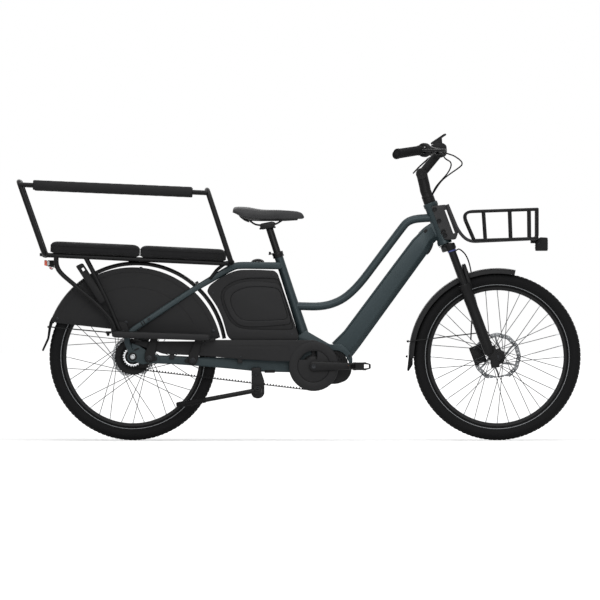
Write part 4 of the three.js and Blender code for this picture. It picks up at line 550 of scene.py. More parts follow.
# %% The bench itself
class Bench:
    def __init__(self):
        self.mesh = bmesh.new()
        self.finish = 0
        self.onto = Matrix.Identity(4)

    def skin(self, rings, closed=False, capped=True):
        """Faces between rings of places, all with the same number of points."""
        made = [[self.mesh.verts.new(self.onto @ Vector(point)) for point in ring] for ring in rings]
        pairs = list(zip(made, made[1:] + made[:1])) if closed else list(zip(made, made[1:]))
        for low, high in pairs:
            for i in range(len(low)):
                j = (i + 1) % len(low)
                self.face([low[i], low[j], high[j], high[i]])
        if capped and not closed:
            self.face(made[0][::-1])
            self.face(made[-1])
        return self

    def face(self, corners):
        made = self.mesh.faces.new(corners)
        made.material_index = self.finish
        made.smooth = True

    def sweep(self, section, route, across=None, closed=False, sizes=None):
        """A section carried along a route. across keeps it upright; without it, it never twists."""
        rings, side = [], None
        last = len(route) - 1
        for k, place in enumerate(route):
            before = route[k - 1] if k or closed else place
            after = route[(k + 1) % len(route)] if k < last or closed else place
            along = (after - before).normalized()
            if across is not None:
                side = along.cross(Vector(across)).cross(along).normalized()
            elif side is None:
                side = along.orthogonal().normalized()
            else:
                side = (side - along * side.dot(along)).normalized()
            up = along.cross(side)
            size = sizes[k] if sizes else 1
            rings.append([place + side * (a * size) + up * (b * size) for a, b in section])
        return self.skin(rings, closed)

    def tube(self, radius, *route, reach=0.0, sides=20):
        return self.sweep(circle(radius, sides), rounded(route, reach) if reach else list(route))

    def turned(self, profile, centre, axis=(0, 1, 0), sections=48, closed=False):
        """A profile of [radius, distance along the axis] pairs turned about the axis."""
        axis = Vector(axis).normalized()
        first = Vector((1, 0, 0)) if abs(axis.x) < 0.9 else Vector((0, 0, 1))
        first = (first - axis * first.dot(axis)).normalized()
        second = axis.cross(first)
        rings = []
        for i in range(sections):
            turn = 2 * math.pi * i / sections
            out = first * math.cos(turn) + second * math.sin(turn)
            rings.append([Vector(centre) + out * max(radius, 0.00001) + axis * side for radius,
                side in profile])
        made = [[self.mesh.verts.new(self.onto @ point) for point in ring] for ring in rings]
        count = len(profile)
        for low, high in zip(made, made[1:] + made[:1]):
            for i in range(count if closed else count - 1):
                j = (i + 1) % count
                self.face([low[i], low[j], high[j], high[i]])
        return self

    def plate(self, outline, low, high, bevel=0.001, holes=(), steps=3):
        """An outline in the side view cut from sheet, from low to high to the left, with round edges."""
        thickness = abs(high - low)
        bevel = min(bevel, thickness * 0.49)
        curve = bpy.data.curves.new("outline", "CURVE")
        curve.dimensions, curve.fill_mode = "2D", "BOTH"
        curve.extrude, curve.bevel_depth, curve.offset = thickness / 2 - bevel, bevel, -bevel
        curve.bevel_resolution = steps
        for loop in [outline, *holes]:
            spline = curve.splines.new("POLY")
            spline.points.add(len(loop) - 1)
            spline.use_cyclic_u = True
            for point, place in zip(spline.points, loop):
                point.co = (place[0], place[1], 0, 1)
        holder = bpy.data.objects.new("outline", curve)
        sheet = bpy.data.meshes.new_from_object(holder)
        place = Matrix(((1, 0, 0, 0), (0, 0, 1, (low + high) / 2), (0, 1, 0, 0), (0, 0, 0, 1)))
        sheet.transform(self.onto @ place)
        first = len(self.mesh.faces)
        self.mesh.from_mesh(sheet)
        self.mesh.faces.ensure_lookup_table()
        for made in self.mesh.faces[first:]:
            made.material_index = self.finish
            made.smooth = True
        bpy.data.objects.remove(holder)
        bpy.data.curves.remove(curve)
        bpy.data.meshes.remove(sheet)
        return self

    def block(self, low, high, corner=0.002):
        """A box with rounded edges all round."""
        low, high = Vector(low), Vector(high)
        middle, size = (low + high) / 2, high - low
        corner = min(corner, size.x / 2.1, size.y / 2.1, size.z / 2.1)
        levels = [math.pi / 2 * (i / 4 - 1) for i in range(5)] + [math.pi / 2 * (i / 4) for i in range(5)]
        rings = []
        for k, turn in enumerate(levels):
            inset = corner * (1 - math.cos(turn))
            height = (size.z / 2 - corner) * (1 if k > 4 else -1) + corner * math.sin(turn)
            section = rounded_box(size.x - 2 * inset, size.y - 2 * inset, max(corner - inset, 0.00001))
            rings.append([middle + Vector((a, b, height)) for a, b in section])
        return self.skin(rings)

    def bolt(self, place, axis, radius=0.004, height=0.004):
        """A cap screw with its hexagon socket."""
        well = height * 0.3
        profile = [(0, well), (radius * 0.5, well), (radius * 0.52, height), (radius * 0.85, height),
                   (radius, height * 0.8), (radius, 0)]
        return self.turned(profile, place, axis, 18)

    def piece(self, name, body, finishes, painted_slot_shade, replaces=(), angle=35):
        """Everything on the bench becomes one piece that rides on its body."""
        bmesh.ops.remove_doubles(self.mesh, verts=self.mesh.verts, dist=0.000002)
        bmesh.ops.recalc_face_normals(self.mesh, faces=self.mesh.faces)
        mesh = bpy.data.meshes.new(name)
        self.mesh.to_mesh(mesh)
        self.mesh.free()
        mesh.set_sharp_from_angle(angle=math.radians(angle))
        made = bpy.data.objects.new(name, mesh)
        for finish in finishes:
            mesh.materials.append(finish.material)
        bpy.context.scene.collection.objects.link(made)
        if body:
            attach(made, body)
        if replaces:
            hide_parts(*replaces)
        MADE.append((name, len(mesh.polygons)))
        return made


MADE = []
SIDES = (("right", -1), ("left", 1))
print("the bench is ready")

# %% [markdown]
# ## Tyres
# A cargo tyre is a wide, nearly round casing. Blocks of rubber stand on its crown, a thin pale ring
# on its side wall shines back in headlights, and moulded lines run along the bead. The casing is
# turned as a closed profile with many sections, and the grooves are pressed in while turning, which
# keeps the blocks regular without any sculpting.


# %% Tyre finish and form
TYRE_RADIUS = REAR_AXLE.z
BEAD_RADIUS = 0.261


def tyre_finish(name, axle):
    finish = rubbery(name, colour(9, 9, 10), 0.4)
    along, across, up = finish.axes((axle.x, 0, axle.z))
    radius = (along * along + up * up).maths("SQRT", along * along + up * up)
    ring = (radius > 0.2694) * (radius < 0.2713)
    finish.surface(Base_Color=finish.mixed(ring, colour(10, 10, 11), colour(128, 130, 132)),
        Roughness=0.72 - ring * 0.3)
    return finish


def tyre(word, axle):
    bench = Bench()
    side = [(BEAD_RADIUS, 0.0115), (0.2655, 0.0165), (0.2725, 0.0228), (0.281, 0.0275), (0.2895, 0.03),
        (0.2975, 0.0295),
            (0.304, 0.0272), (0.3085, 0.0238), (0.3115, 0.019), (0.3128, 0.0125), (TYRE_RADIUS, 0.006)]
    profile = [(radius, -width) for radius, width in side] + [(TYRE_RADIUS, 0)] + [(radius,
        width) for radius, width in side[::-1]]
    profile += [(BEAD_RADIUS - 0.001, 0)]
    pitches, steps = 112, 5
    rings = []
    for k in range(pitches * steps):
        turn = 2 * math.pi * k / (pitches * steps)
        ring = []
        for radius, width in profile:
            slanted = (k / steps + abs(width) * 45) % 1
            groove = 0.0015 if radius > 0.3035 and slanted < 0.28 else 0
            groove += 0.0016 if abs(abs(width) - 0.0125) < 0.001 else 0
            out = radius - groove
            ring.append(Vector((axle.x + out * math.cos(turn), width, axle.z + out * math.sin(turn))))
        rings.append(ring)
    bench.skin(rings, closed=True)
    return bench.piece(f"{word}_tyre_cover", f"{word}_wheel", [tyre_finish(f"{word}_tyre", axle)],
        "tyre", [f"{word}_tyre"])


tyre("front", FRONT_AXLE)
tyre("rear", REAR_AXLE)
print("tyres:", MADE)

# %% [markdown]
# ## Wheels
# Each wheel hangs in 36 thin steel spokes. They leave the hub's flanges almost at a tangent,
# alternately forwards and backwards, cross their neighbours and end in nipples in the rim. That
# crossing is what carries the torque of a brake or a hub gear, so it is laid out spoke by spoke.


# %% Rim, spokes and hub
def wheel(word, axle, hub_profile, flange_radius, flange_side):
    bench = Bench()
    rim = [(0.2495, -0.0095), (0.2495, 0.0095), (0.2515, 0.0125), (0.2615, 0.0135), (0.2615, 0.0115),
           (0.2535, 0.0095), (0.2535, -0.0095), (0.2615, -0.0115), (0.2615, -0.0135), (0.2515, -0.0125)]
    centre = Vector((axle.x, 0, axle.z))
    bench.turned(rim, centre, sections=120, closed=True)
    bench.turned(hub_profile, centre, sections=56)
    for number in range(36):
        side = 1 if number % 2 else -1
        lean = 1 if (number // 2) % 2 else -1
        rim_turn = 2 * math.pi * number / 36
        hub_turn = rim_turn + lean * math.radians(62)
        on_hub = centre + Vector((math.cos(hub_turn), 0, math.sin(hub_turn))) * flange_radius * 0.92
        on_rim = centre + Vector((math.cos(rim_turn), 0, math.sin(rim_turn))) * 0.251
        on_hub.y = side * flange_side + lean * 0.0022
        on_rim.y = side * 0.0045 + lean * 0.0005
        along = (on_rim - on_hub).normalized()
        bench.finish = 1
        bench.tube(0.00125, on_hub, on_rim, sides=8)
        bench.finish = 2
        bench.sweep(circle(0.0021, 8), [on_rim - along * 0.014, on_rim - along * 0.0125, on_rim],
            sizes=[0.6, 1, 1])
        bench.turned([(0, 0.0016), (0.0018, 0.0012), (0.0022, 0)], on_hub, (0, lean, 0), 10)
        bench.finish = 0
    return bench, centre


front_hub = [(0.0085, -0.0492), (0.013, -0.0492), (0.0145, -0.047), (0.0145, -0.041), (0.0165, -0.036),
    (0.019, -0.0335),
             (0.029, -0.0325), (0.030, -0.031), (0.030, -0.0285), (0.029, -0.027), (0.019, -0.025),
    (0.0165, -0.018),
             (0.0158, 0), (0.0165, 0.018), (0.019, 0.025), (0.029, 0.027), (0.030, 0.0285), (0.030, 0.031),
             (0.029, 0.0325), (0.0165, 0.0345), (0.0165, 0.0455), (0.0145, 0.047), (0.013, 0.0492),
    (0.0085, 0.0492)]
bench, centre = wheel("front", FRONT_AXLE, front_hub, 0.029, 0.029)
for k in range(6):
    turn = 2 * math.pi * (k + 0.3) / 6
    bench.finish = 2
    bench.bolt(centre + Vector((0.0205 * math.cos(turn), 0.0425, 0.0205 * math.sin(turn))), (0, 1, 0),
        0.003, 0.003)
bench.piece("front_wheel_build", "front_wheel", [ALLOY, BOLT, STEEL], "dark_alloy", ["front_wheel"])

rear_hub = [(0.010, -0.0385), (0.022, -0.0385), (0.024, -0.037), (0.044, -0.0368), (0.062, -0.0352),
    (0.0672, -0.0335),
            (0.0672, -0.0295), (0.066, -0.028), (0.061, -0.0275), (0.0585, -0.024), (0.0578, 0),
    (0.0585, 0.024),
            (0.061, 0.0275), (0.066, 0.028), (0.0672, 0.0295), (0.0672, 0.0335), (0.062, 0.0352),
    (0.024, 0.037),
            (0.022, 0.0505), (0.013, 0.0515), (0.013, 0.0675), (0.008, 0.0677)]
bench, centre = wheel("rear", REAR_AXLE, rear_hub, 0.066, 0.031)


# %% [markdown]
# ## Brake discs
# A disc is stamped from thin steel: a ring with rows of holes that shed water and heat, held by a
# few curved arms. It is drawn as an outline with holes, because a stamping is exactly that. The rear
# disc sits on the wheel's far side and turns with the wheel's own node.


# %% Stamped brake discs
def brake_disc(bench, centre, radius, side, bore, arms=6):
    def ring(middle, count, wave=0.0, number=12):
        turns = [2 * math.pi * i / count for i in range(count)]
        return [(centre.x + (middle + wave * math.cos(number * t)) * math.cos(t),
                 centre.z + (middle + wave * math.cos(number * t)) * math.sin(t)) for t in turns]

    def hole(middle, turn, size):
        place = (centre.x + middle * math.cos(turn), 0, centre.z + middle * math.sin(turn))
        return arc(place, size, 0, 324, 9)

    inner = radius - 0.017
    holes = [ring(inner, 120, 0.0012)]
    for k in range(36):
        turn = 2 * math.pi * k / 36
        holes.append(hole(radius - 0.0045 - 0.0028 * (k % 3), turn, 0.0016))
        if k % 2:
            holes.append(hole(inner + 0.0042, turn, 0.0014))
    bench.plate(ring(radius - 0.001, 180, 0.001), side - 0.0009, side + 0.0009, 0.0002, holes, 1)
    bench.plate(ring(0.0255, 48), side - 0.0011, side + 0.0011, 0.0003, [ring(bore, 36)], 1)
    for k in range(arms):
        turn = 2 * math.pi * k / arms
        route = []
        for i in range(7):
            share = i / 6
            out = 0.023 + (inner + 0.002 - 0.023) * share
            angle = turn + 0.6 * share + 0.18 * math.sin(math.pi * share)
            route.append(centre + Vector((out * math.cos(angle), side, out * math.sin(angle))))
        bench.sweep(rounded_box(0.0018, 0.007, 0.0004, 1), route, across=(0, 1, 0))


bench.finish = 2
brake_disc(bench, centre, 0.08, 0.0475, 0.0135)
bench.piece("rear_wheel_build", "rear_wheel", [ALLOY, BOLT, STEEL], "dark_alloy", ["rear_wheel"])
bench = Bench()
brake_disc(bench, Vector((FRONT_AXLE.x, 0, FRONT_AXLE.z)), 0.09, 0.0415, 0.0175)
bench.piece("front_disc", "front_wheel", [DISC_STEEL], "steel", ["front_rotor"])
print("wheels:", MADE[2:])

# %% [markdown]
# ## Belt drive
# A toothed belt runs from the crank's ring to the small sprocket. Its teeth point inwards, so the
# lower run shows them as a row of bumps on its upper side. Both wheels get teeth of the same pitch:
# 11 millimetres, which makes 24 teeth behind and 50 in front.


# %% Teeth of the sprocket and the belt
PITCH = 0.011
BELT_LOW, BELT_HIGH = -0.0515, -0.0405


def toothed(centre, radius, teeth, depth, share=0.5):
    """The outline of a toothed wheel."""
    points = []
    for k in range(teeth):
        for place, drop in ((0.0, depth), (0.12, 0), (share, 0), (share + 0.12, depth)):
            turn = 2 * math.pi * (k + place) / teeth
            points.append((centre.x + (radius - drop) * math.cos(turn),
                centre.z + (radius - drop) * math.sin(turn)))
    return points


def belt_loop(grow):
    """The belt's way round both wheels, at even steps."""
    low, high = (REAR_AXLE, 0.0426), (CRANK, 0.0881)
    span = high[0] - low[0]
    slope, length = math.atan2(span.z, span.x), math.hypot(span.x, span.z)
    spread = math.acos((low[1] - high[1]) / length)
    up, down = math.degrees(slope + spread), math.degrees(slope - spread)
    corners = arc(low[0], low[1] + grow, up, 360 + down, 60) + arc(high[0], high[1] + grow, down, up, 90)
    return [Vector((x, 0, z)) for x, z in corners]


def evenly(loop, step):
    """Places a step apart along a closed loop, with the direction out of the loop."""
    made, gone, next_stop = [], 0.0, 0.0
    for start, end in zip(loop, loop[1:] + loop[:1]):
        run = (end - start).length
        while next_stop <= gone + run and run > 0:
            along = (end - start) / run
            made.append((start + along * (next_stop - gone), Vector((along.z, 0, -along.x))))
            next_stop += step
        gone += run
    return made


loop = belt_loop(0)
total = sum((b - a).length for a, b in zip(loop, loop[1:] + loop[:1]))
count = round(total / PITCH)
stops = evenly(loop, total / count / 5)[: count * 5]
inner = [place + out * (-0.0036 if k % 5 in (1, 2) else 0.0012) for k, (place, out) in enumerate(stops)]
outer = [place + out * 0.0045 for place, out in stops]
bench = Bench()
bench.plate([(p.x, p.z) for p in outer], BELT_LOW, BELT_HIGH, 0.0006, [[(p.x, p.z) for p in inner]], 1)
bench.piece("toothed_belt", "frame", [RUBBER], "rubber", ["drive_belt"], 25)

bench = Bench()
bench.plate(toothed(REAR_AXLE, 0.0372, 24, 0.0036), -0.0536, -0.0512, 0.0004,
    [arc(REAR_AXLE, 0.0288, 0, 355, 71)], 1)
bench.finish = 1
bench.plate(toothed(REAR_AXLE, 0.042, 24, 0.0042), -0.0512, -0.0408, 0.0005,
    [arc(REAR_AXLE, 0.012, 0, 345, 23)], 1)
bench.piece("sprocket", "sprocket", [SILVER, ALLOY], "dark_alloy", ["rear_sprocket"], 25)
print("belt:", count, "teeth, sprocket: 24 teeth")

# %% [markdown]
# ## Crankset and pedals
# Both crank arms sit on one spindle. An arm is forged: thick at the spindle, slim towards the pedal,
# all its edges round. A sweep with a size for each place along the route tapers it without steps.
# The pedals are platforms with rubber treads and a see-through window on each side of the axle.


# %% Crank arms, belt ring and spider
bench = Bench()
ring_holes = [arc(CRANK, 0.0755, 0, 356, 89)]
bench.finish = 0
bench.plate(toothed(CRANK, 0.0872, 50, 0.003), -0.0512, -0.0408, 0.0005, ring_holes, 1)
for k in range(5):
    turn = math.radians(90 + 72 * k)
    out = Vector((math.cos(turn), 0, math.sin(turn)))
    across = Vector((-out.z, 0, out.x))
    rim = [CRANK + out * 0.081 + across * s for s in (0.0085, -0.0085)]
    root = [CRANK + out * 0.02 + across * s for s in (-0.0125, 0.0125)]
    middle = [CRANK + out * 0.05 - across * 0.0075, CRANK + out * 0.05 + across * 0.0075]
    outline = [rim[0], rim[1], middle[0], root[0], root[1], middle[1]]
    bench.plate(softened([(p.x, p.z) for p in outline], 0.006), -0.0485, -0.0435, 0.0012)
    bench.finish = 1
    bench.bolt(Vector((CRANK.x, -0.0484, CRANK.z)) + out * 0.0775, (0, -1, 0), 0.0036, 0.0022)
    bench.finish = 0
bench.turned([(0.0125, -0.0535), (0.034, -0.053), (0.038, -0.0515), (0.038, -0.0485), (0.028, -0.043),
    (0.0125, -0.041)],
             (CRANK.x, 0, CRANK.z), sections=64)
bench.turned([(0, -0.0985), (0.0108, -0.0985), (0.0108, 0.0985), (0, 0.0985)], (CRANK.x, 0, CRANK.z),
    sections=32)
for word, side in SIDES:
    y = side * 0.0925
    reach = Vector((-side * 0.172, 0, 0))
    start = Vector((CRANK.x, y, CRANK.z))
    shares = [-0.095, -0.088, -0.06, -0.03, 0, 0.06, 0.2, 0.45, 0.75, 0.93, 1.0, 1.05, 1.075, 1.082]
    sizes = [0.3, 0.62, 0.94, 1.1, 1.15, 1.13, 1.04, 0.92, 0.78, 0.74, 0.72, 0.6, 0.4, 0.2]
    route = [start + reach * share for share in shares]
    section = rounded_box(0.0325, 0.0125, 0.005, 5)
    rings = []
    for place, size in zip(route, sizes):
        rings.append([place + Vector((0, b * min(1, 0.55 + size * 0.5), a * size)) for a, b in section])
    bench.skin(rings)
    bench.finish = 1
    bench.turned([(0, 0.0008), (0.0035, 0.0008), (0.0038, 0.0022), (0.0085, 0.0028), (0.0095, 0.0014),
        (0.0095, 0)],
                 start + Vector((0, side * 0.006, 0)), (0, side, 0), 32)
    bench.bolt(start + reach + Vector((0, side * -0.0065, 0)), (0, -side, 0), 0.006, 0.0012)
    bench.finish = 0
bench.piece("crank_and_ring", "cranks", [ALLOY, BOLT], "dark_alloy", ["crankset"])


# %% Pedals
def pedal(word, side):
    centre = CRANK + Vector((-side * 0.172, 0, 0))
    near, far = side * 0.1115, side * 0.2052
    low, high = min(near, far), max(near, far)
    bench = Bench()
    bench.finish = 1
    bench.turned([(0, 0.0996), (0.0072, 0.0996), (0.0072, 0.109), (0.0092, 0.110), (0.0092, 0.114),
        (0, 0.114)],
                 (centre.x, 0, centre.z), (0, side, 0), 24)
    bench.finish = 0
    bench.turned([(0, 0.1115), (0.0095, 0.1115), (0.0108, 0.1135), (0.0108, 0.2025), (0.0098, 0.2042),
        (0, 0.2046)],
                 (centre.x, 0, centre.z), (0, side, 0), 32)
    half = 0.0415
    outline = [(-half, 0.0085), (-0.021, 0.0145), (0.021, 0.0145), (half, 0.0085), (half, -0.0085),
        (0.021, -0.0145),
               (-0.021, -0.0145), (-half, -0.0085)]
    outline = softened([(centre.x + x, centre.z + z) for x, z in outline], 0.004)
    window = [softened([(centre.x + s * 0.0165, centre.z + 0.0082),
        (centre.x + s * 0.0345, centre.z + 0.0062),
                        (centre.x + s * 0.0345, centre.z - 0.0062),
        (centre.x + s * 0.0165, centre.z - 0.0082)], 0.002) for s in (-1, 1)]
    for start, end in ((low, low + 0.006), (high - 0.006, high)):
        bench.plate(outline, start, end, 0.0015, window)
    for s in (-1, 1):
        bench.block((centre.x + s * 0.0375 - 0.003, low + 0.004, centre.z - 0.0075),
            (centre.x + s * 0.0375 + 0.003, high - 0.004, centre.z + 0.0075))
        for lift in (-1, 1):
            bench.finish = 2
            bench.block((centre.x + s * 0.0185 - 0.0065, low + 0.003, centre.z + lift * 0.0118 - 0.0024),
                        (centre.x + s * 0.0185 + 0.0065, high - 0.003,
                            centre.z + lift * 0.0118 + 0.0024), 0.0012)
            for k in range(9):
                y = low + 0.012 + k * 0.0087
                bench.block((centre.x + s * 0.0185 - 0.006, y - 0.002, centre.z + lift * 0.0142 - 0.001),
                            (centre.x + s * 0.0185 + 0.006, y + 0.002,
                                centre.z + lift * 0.0142 + 0.0008), 0.0006)
            bench.finish = 0
        bench.finish = 3
        bench.block((centre.x + s * 0.0405 - 0.001, low + 0.02, centre.z - 0.006),
            (centre.x + s * 0.0405 + 0.001, high - 0.02, centre.z + 0.006), 0.0008)
        bench.finish = 0
    bench.piece(f"pedal_platform_{word}", f"pedal_{word}", [DARK_PLASTIC, BOLT, RUBBER, AMBER],
        "black_plastic", [f"pedal_{word}"])


AMBER = glowing("amber_reflector", colour(216, 120, 28))
for word, side in SIDES:
    pedal(word, side)
print("cranks and pedals:", MADE[-3:])

# %% [markdown]
# ## The welded frame
# The down tube is a box section with two broad facets below, drawn in where it meets the motor and
# the head tube. Its upper face is a separate lid over the battery, so it is built a few millimetres
# lower there and the lid fills the step, which leaves a real dark seam. The other tubes are round:
# the top tube is one bent piece and the seat tube widens downwards.


# %% Down tube and battery lid
def box_tube(bench, stations, section):
    """A box section between two edges given as picture points: low edge, high edge and half width."""
    rings = []
    for low, high, half in stations:
        low, high = spot(*low), spot(*high)
        up = high - low
        outline = softened([(y * half, z if z >= 0 else up.length + z) for y, z in section], 0.003, 3)
        rings.append([low + Vector((0, y, 0)) + up.normalized() * z for y, z in outline])
    bench.skin(rings)


tube_low = [(351.2, 357.8), (359.5, 347), (385, 311.8), (410, 277.4), (426.4, 254.8), (432.4, 244.5),
    (437.6, 239.5)]
tube_high = [(330.0, 344.8), (344, 330.8), (369.6, 296.5), (394.6, 263), (412.4, 239.4), (421.5, 230.5),
    (430.3, 225)]
widths = [0.031, 0.035, 0.035, 0.035, 0.035, 0.033, 0.018]
LID_DEEP = 0.0075
stations = list(zip(tube_low, tube_high, widths))
facets = [(0.5, 0), (1, 0.019), (1, -LID_DEEP), (-1, -LID_DEEP), (-1, 0.019), (-0.5, 0)]
bench = Bench()
box_tube(bench, stations, facets)
neck = [(417.5, 233.6), (424, 227.4), (430.5, 223.2), (434.5, 222), (438, 236), (428, 243)]
bench.plate(softened(flat(neck), 0.008), -0.0175, 0.0175, 0.004)
for side in (-1, 1):
    bench.finish = 1
    bench.plate(softened(flat([(423.3, 231.3), (426, 228.6), (427.8, 230.2), (425.1, 233.2)]), 0.003),
        side * 0.0318, side * 0.0334, 0.0004)
    bench.finish = 0
bench.onto = table(HEAD_TOP, STEER_AHEAD, STEER_AXIS)
head = [(0.0175, 0.0005), (0.0262, 0.0005), (0.0275, -0.001), (0.0275, -0.013), (0.0255, -0.017),
    (0.025, -0.02), (0.025, -0.145),
        (0.0255, -0.148), (0.0275, -0.152), (0.0275, -0.1635), (0.0262, -0.165), (0.0175, -0.165)]
bench.turned(head, (0, 0, 0), (0, 0, 1), 56)
bench.onto = Matrix.Identity(4)
bench.tube(0.0155, *[spot(*pair) for pair in [(295, 306), (327.9, 306.9), (352.8, 293.5), (400, 230.4),
    (409, 219.2), (433, 217.6)]],
           reach=0.095, sides=28)
seat_top, seat_low = spot(277.2, 252.3), spot(305.9, 341.3)
seat_axis = (seat_top - seat_low).normalized()
bench.sweep(circle(0.0165, 28), [between(seat_top, seat_low, t) for t in (0, 0.3, 0.6, 0.85, 1, 1.12)],
    sizes=[1, 1.03, 1.1, 1.2, 1.27, 1.3])
bracket = [(296, 337), (306, 330.5), (329.8, 344.3), (342, 344.3), (348.5, 350), (352.5, 357.5),
    (352.3, 364), (350, 366),
           (347.5, 359), (343.5, 353.2), (338, 350.5), (322, 350.5), (314, 344.5), (300, 347)]
for low, high in ((-0.038, -0.032), (0.032, 0.038)):
    bench.plate(softened(flat(bracket), 0.008), low, high, 0.002)
bench.plate(softened(flat([(298, 338), (306, 332), (329.8, 345), (340, 345.5), (338, 349), (322, 349),
    (314, 343.5), (301, 345.5)]), 0.006),
            -0.032, 0.032, 0.003)
for start, end in ((100, 165), (190, 232), (58, 84)):
    band = arc(CRANK, 0.0585, start, end, 10) + arc(CRANK, 0.044, end, start, 10)
    bench.plate(band, -0.0395, -0.0375, 0.0006)
bench.finish = 2
for right, down in ((349.5, 355.8), (320, 353.5), (305.5, 372.5)):
    bench.bolt(spot(right, down, -0.038), (0, -1, 0), 0.0045, 0.004)
    bench.bolt(spot(right, down, 0.038), (0, 1, 0), 0.0045, 0.004)
bench.finish = 1
cable_exit = [(425.6, 250.5), (431.5, 242.5), (433.6, 243.6), (432.2, 248), (429.4, 253), (426.8, 255.2)]
bench.plate(softened(flat(cable_exit), 0.004), -0.016, 0.016, 0.003)
bench.piece("welded_frame", "frame", [PAINT, DARK_PLASTIC, BOLT], "frame_paint", ["main_frame"], 30)

bench = Bench()
lid = []
for low, high, half in stations[:6]:
    up = (Vector(high) - Vector(low)).normalized()
    lid.append((tuple(Vector(high) - up * (LID_DEEP + 0.0002) / POINT), high, half - 0.0012))
lid[0] = (tuple(between(Vector(lid[0][0]), Vector(lid[1][0]), 0.12)),
    tuple(between(Vector(lid[0][1]), Vector(lid[1][1]), 0.12)), 0.031)
box_tube(bench, lid, [(1, 0), (1, -0.00001), (-1, -0.00001), (-1, 0)])
bench.piece("battery_cover", "frame", [PAINT], "frame_paint", ["battery_lid"], 30)
print("frame:", MADE[-2:])

# %% [markdown]
# ## Rear triangle
# The seat stays are flat-sided tubes that start at the seat tube, bend and run down to the rear
# axle, getting wider apart on the way. The chain stays are deeper towards the motor. Both end in a
# thick dropout plate with a gusset between the two stays; the axle slot on it is painted shade, a
# thin dark sheet on the plate's face.

# %% Stays and dropouts
STAY = [(280, 265.8), (239.9, 265.3), (233.4, 266.4), (190, 291.7), (147.1, 320.4), (131, 331),
    (125.9, 339.5), (131.3, 352)]
STAY_SHARES = [0, 0.25, 0.3, 0.55, 0.85, 1, 1, 1]
for word, side in SIDES:
    route = [spot(*pair, side * (0.032 + 0.04 * share)) for pair, share in zip(STAY, STAY_SHARES)]
    bench = Bench()
    line = rounded(route, 0.032)
    swell = [(place.x - spot(200, 0).x) / (spot(238, 0).x - spot(200, 0).x) for place in line]
    bench.sweep(rounded_box(0.014, 0.0215, 0.005, 5), line, across=(0, 1, 0),
        sizes=[1 + 0.24 * min(1, max(0, share)) for share in swell])
    bench.tube(0.0105, route[0], Vector((route[0].x, side * 0.008, route[0].z)), sides=20)
    for share in (0.885, 0.912):
        place = between(route[4], route[5], (share - 0.85) * 5)
        bench.finish = 1
        bench.onto = table(place, route[5] - route[4], (0, side, 0))
        bench.block((-0.0022, -0.0078, 0.0062), (0.0022, 0.0078, 0.0076), 0.0006)
        bench.onto = Matrix.Identity(4)
    bench.finish = 2
    bolt_at = between(route[4], route[5], -0.12)
    bench.bolt(bolt_at + Vector((0, side * 0.0075, 0)), (0, side, 0), 0.005, 0.0025)
    knob = between(route[3], route[4], -0.2)
    bench.turned([(0, 0.009), (0.0045, 0.009), (0.0055, 0.007), (0.0055, 0)],
        knob + Vector((-0.004, 0, 0.0085)), (-0.5, 0, 0.86), 18)
    bench.finish = 0
    if side < 0:
        bench.block(spot(257, 268.5, -0.036), spot(272, 265.3, 0.036), 0.003)
        bench.finish = 1
        dome = [(0.025 * math.cos(t), 0.0135 * math.sin(t))
            for t in (math.pi / 2 * i / 9 for i in range(10))]
        bench.turned(dome[::-1] + [(0.025, -0.002), (0.0115, -0.003), (0.0115, -0.02), (0, -0.02)],
            spot(257.8, 262.3), (0, 0, 1), 40)
    bench.piece(f"seat_stay_tube_{word}", "frame", [PAINT, DARK_PLASTIC, BOLT], "frame_paint",
        [f"seat_stay_{word}"], 30)

    bench = Bench()
    rings = []
    stay_line = [(137, 357.9, 0.028), (156, 359.3, 0.031), (175, 360, 0.032), (198, 361.4, 0.034),
        (230, 363.2, 0.041),
                 (260, 365, 0.050), (291.5, 365.4, 0.052)]
    for right, down, height in stay_line:
        y = side * (0.063 - 0.036 * (right - 137) / 154.5)
        rings.append([spot(right, down, y) + Vector((0, a, b)) for a,
            b in rounded_box(0.0155, height, 0.006, 5)])
    bench.skin(rings)
    outer, inner = side * 0.076, side * 0.068
    drop = arc(REAR_AXLE, 0.021, 95, 300, 18)
    rest = flat([(143, 364.5), (149, 363), (149.5, 352), (139, 345.2), (131.5, 343)])
    bench.plate(drop + rest, min(inner, outer), max(inner, outer), 0.0022)
    bench.plate(softened(flat([(148, 352), (160, 355.5), (160, 363.5), (148, 363.5)]), 0.004),
        min(side * 0.0585, inner), max(side * 0.0585, inner), 0.002)
    bench.finish = 1
    # The axle slot is painted shade: a thin dark sheet on the dropout's outer face, not an opening.
    painted_slot_shade = softened(flat([(134.2, 349.4), (138.8, 347.6), (139.6, 349), (134.6, 351)]), 0.002)
    bench.plate(painted_slot_shade, side * 0.0758, side * 0.0764, 0.0002)
    bench.turned([(0.0066, 0.0), (0.0155, 0.0), (0.0158, 0.0016), (0.0125, 0.0028), (0.0066, 0.003)],
        (REAR_AXLE.x, side * 0.0759, REAR_AXLE.z), (0, side, 0), 32)
    bench.finish = 3
    bench.turned([(0, 0.0098), (0.0052, 0.0098), (0.0072, 0.0085), (0.0078, 0.002), (0.0092, 0.0015),
        (0.0092, 0)],
                 (REAR_AXLE.x, side * 0.0785, REAR_AXLE.z), (0, side, 0), 6 if side > 0 else 32)
    bench.turned([(0, 0), (0.0063, 0), (0.0063, 0.076), (0, 0.076)], (REAR_AXLE.x, 0, REAR_AXLE.z),
        (0, side, 0), 24)
    bench.finish = 1
    if side < 0:
        bench.block(spot(264.5, 372.8, -0.044), spot(275, 370, -0.034), 0.003)
    bench.piece(f"chain_stay_tube_{word}", "frame", [PAINT, DARK_PLASTIC, BOLT, STEEL], "frame_paint",
        [f"chain_stay_{word}"], 30)
print("stays:", MADE[-4:])

# %% [markdown]
# ## Motor
# The motor is a cast housing round the crank spindle. Cooling fins stand on its front end, where
# the air comes from, and a round cover closes it towards the belt ring.

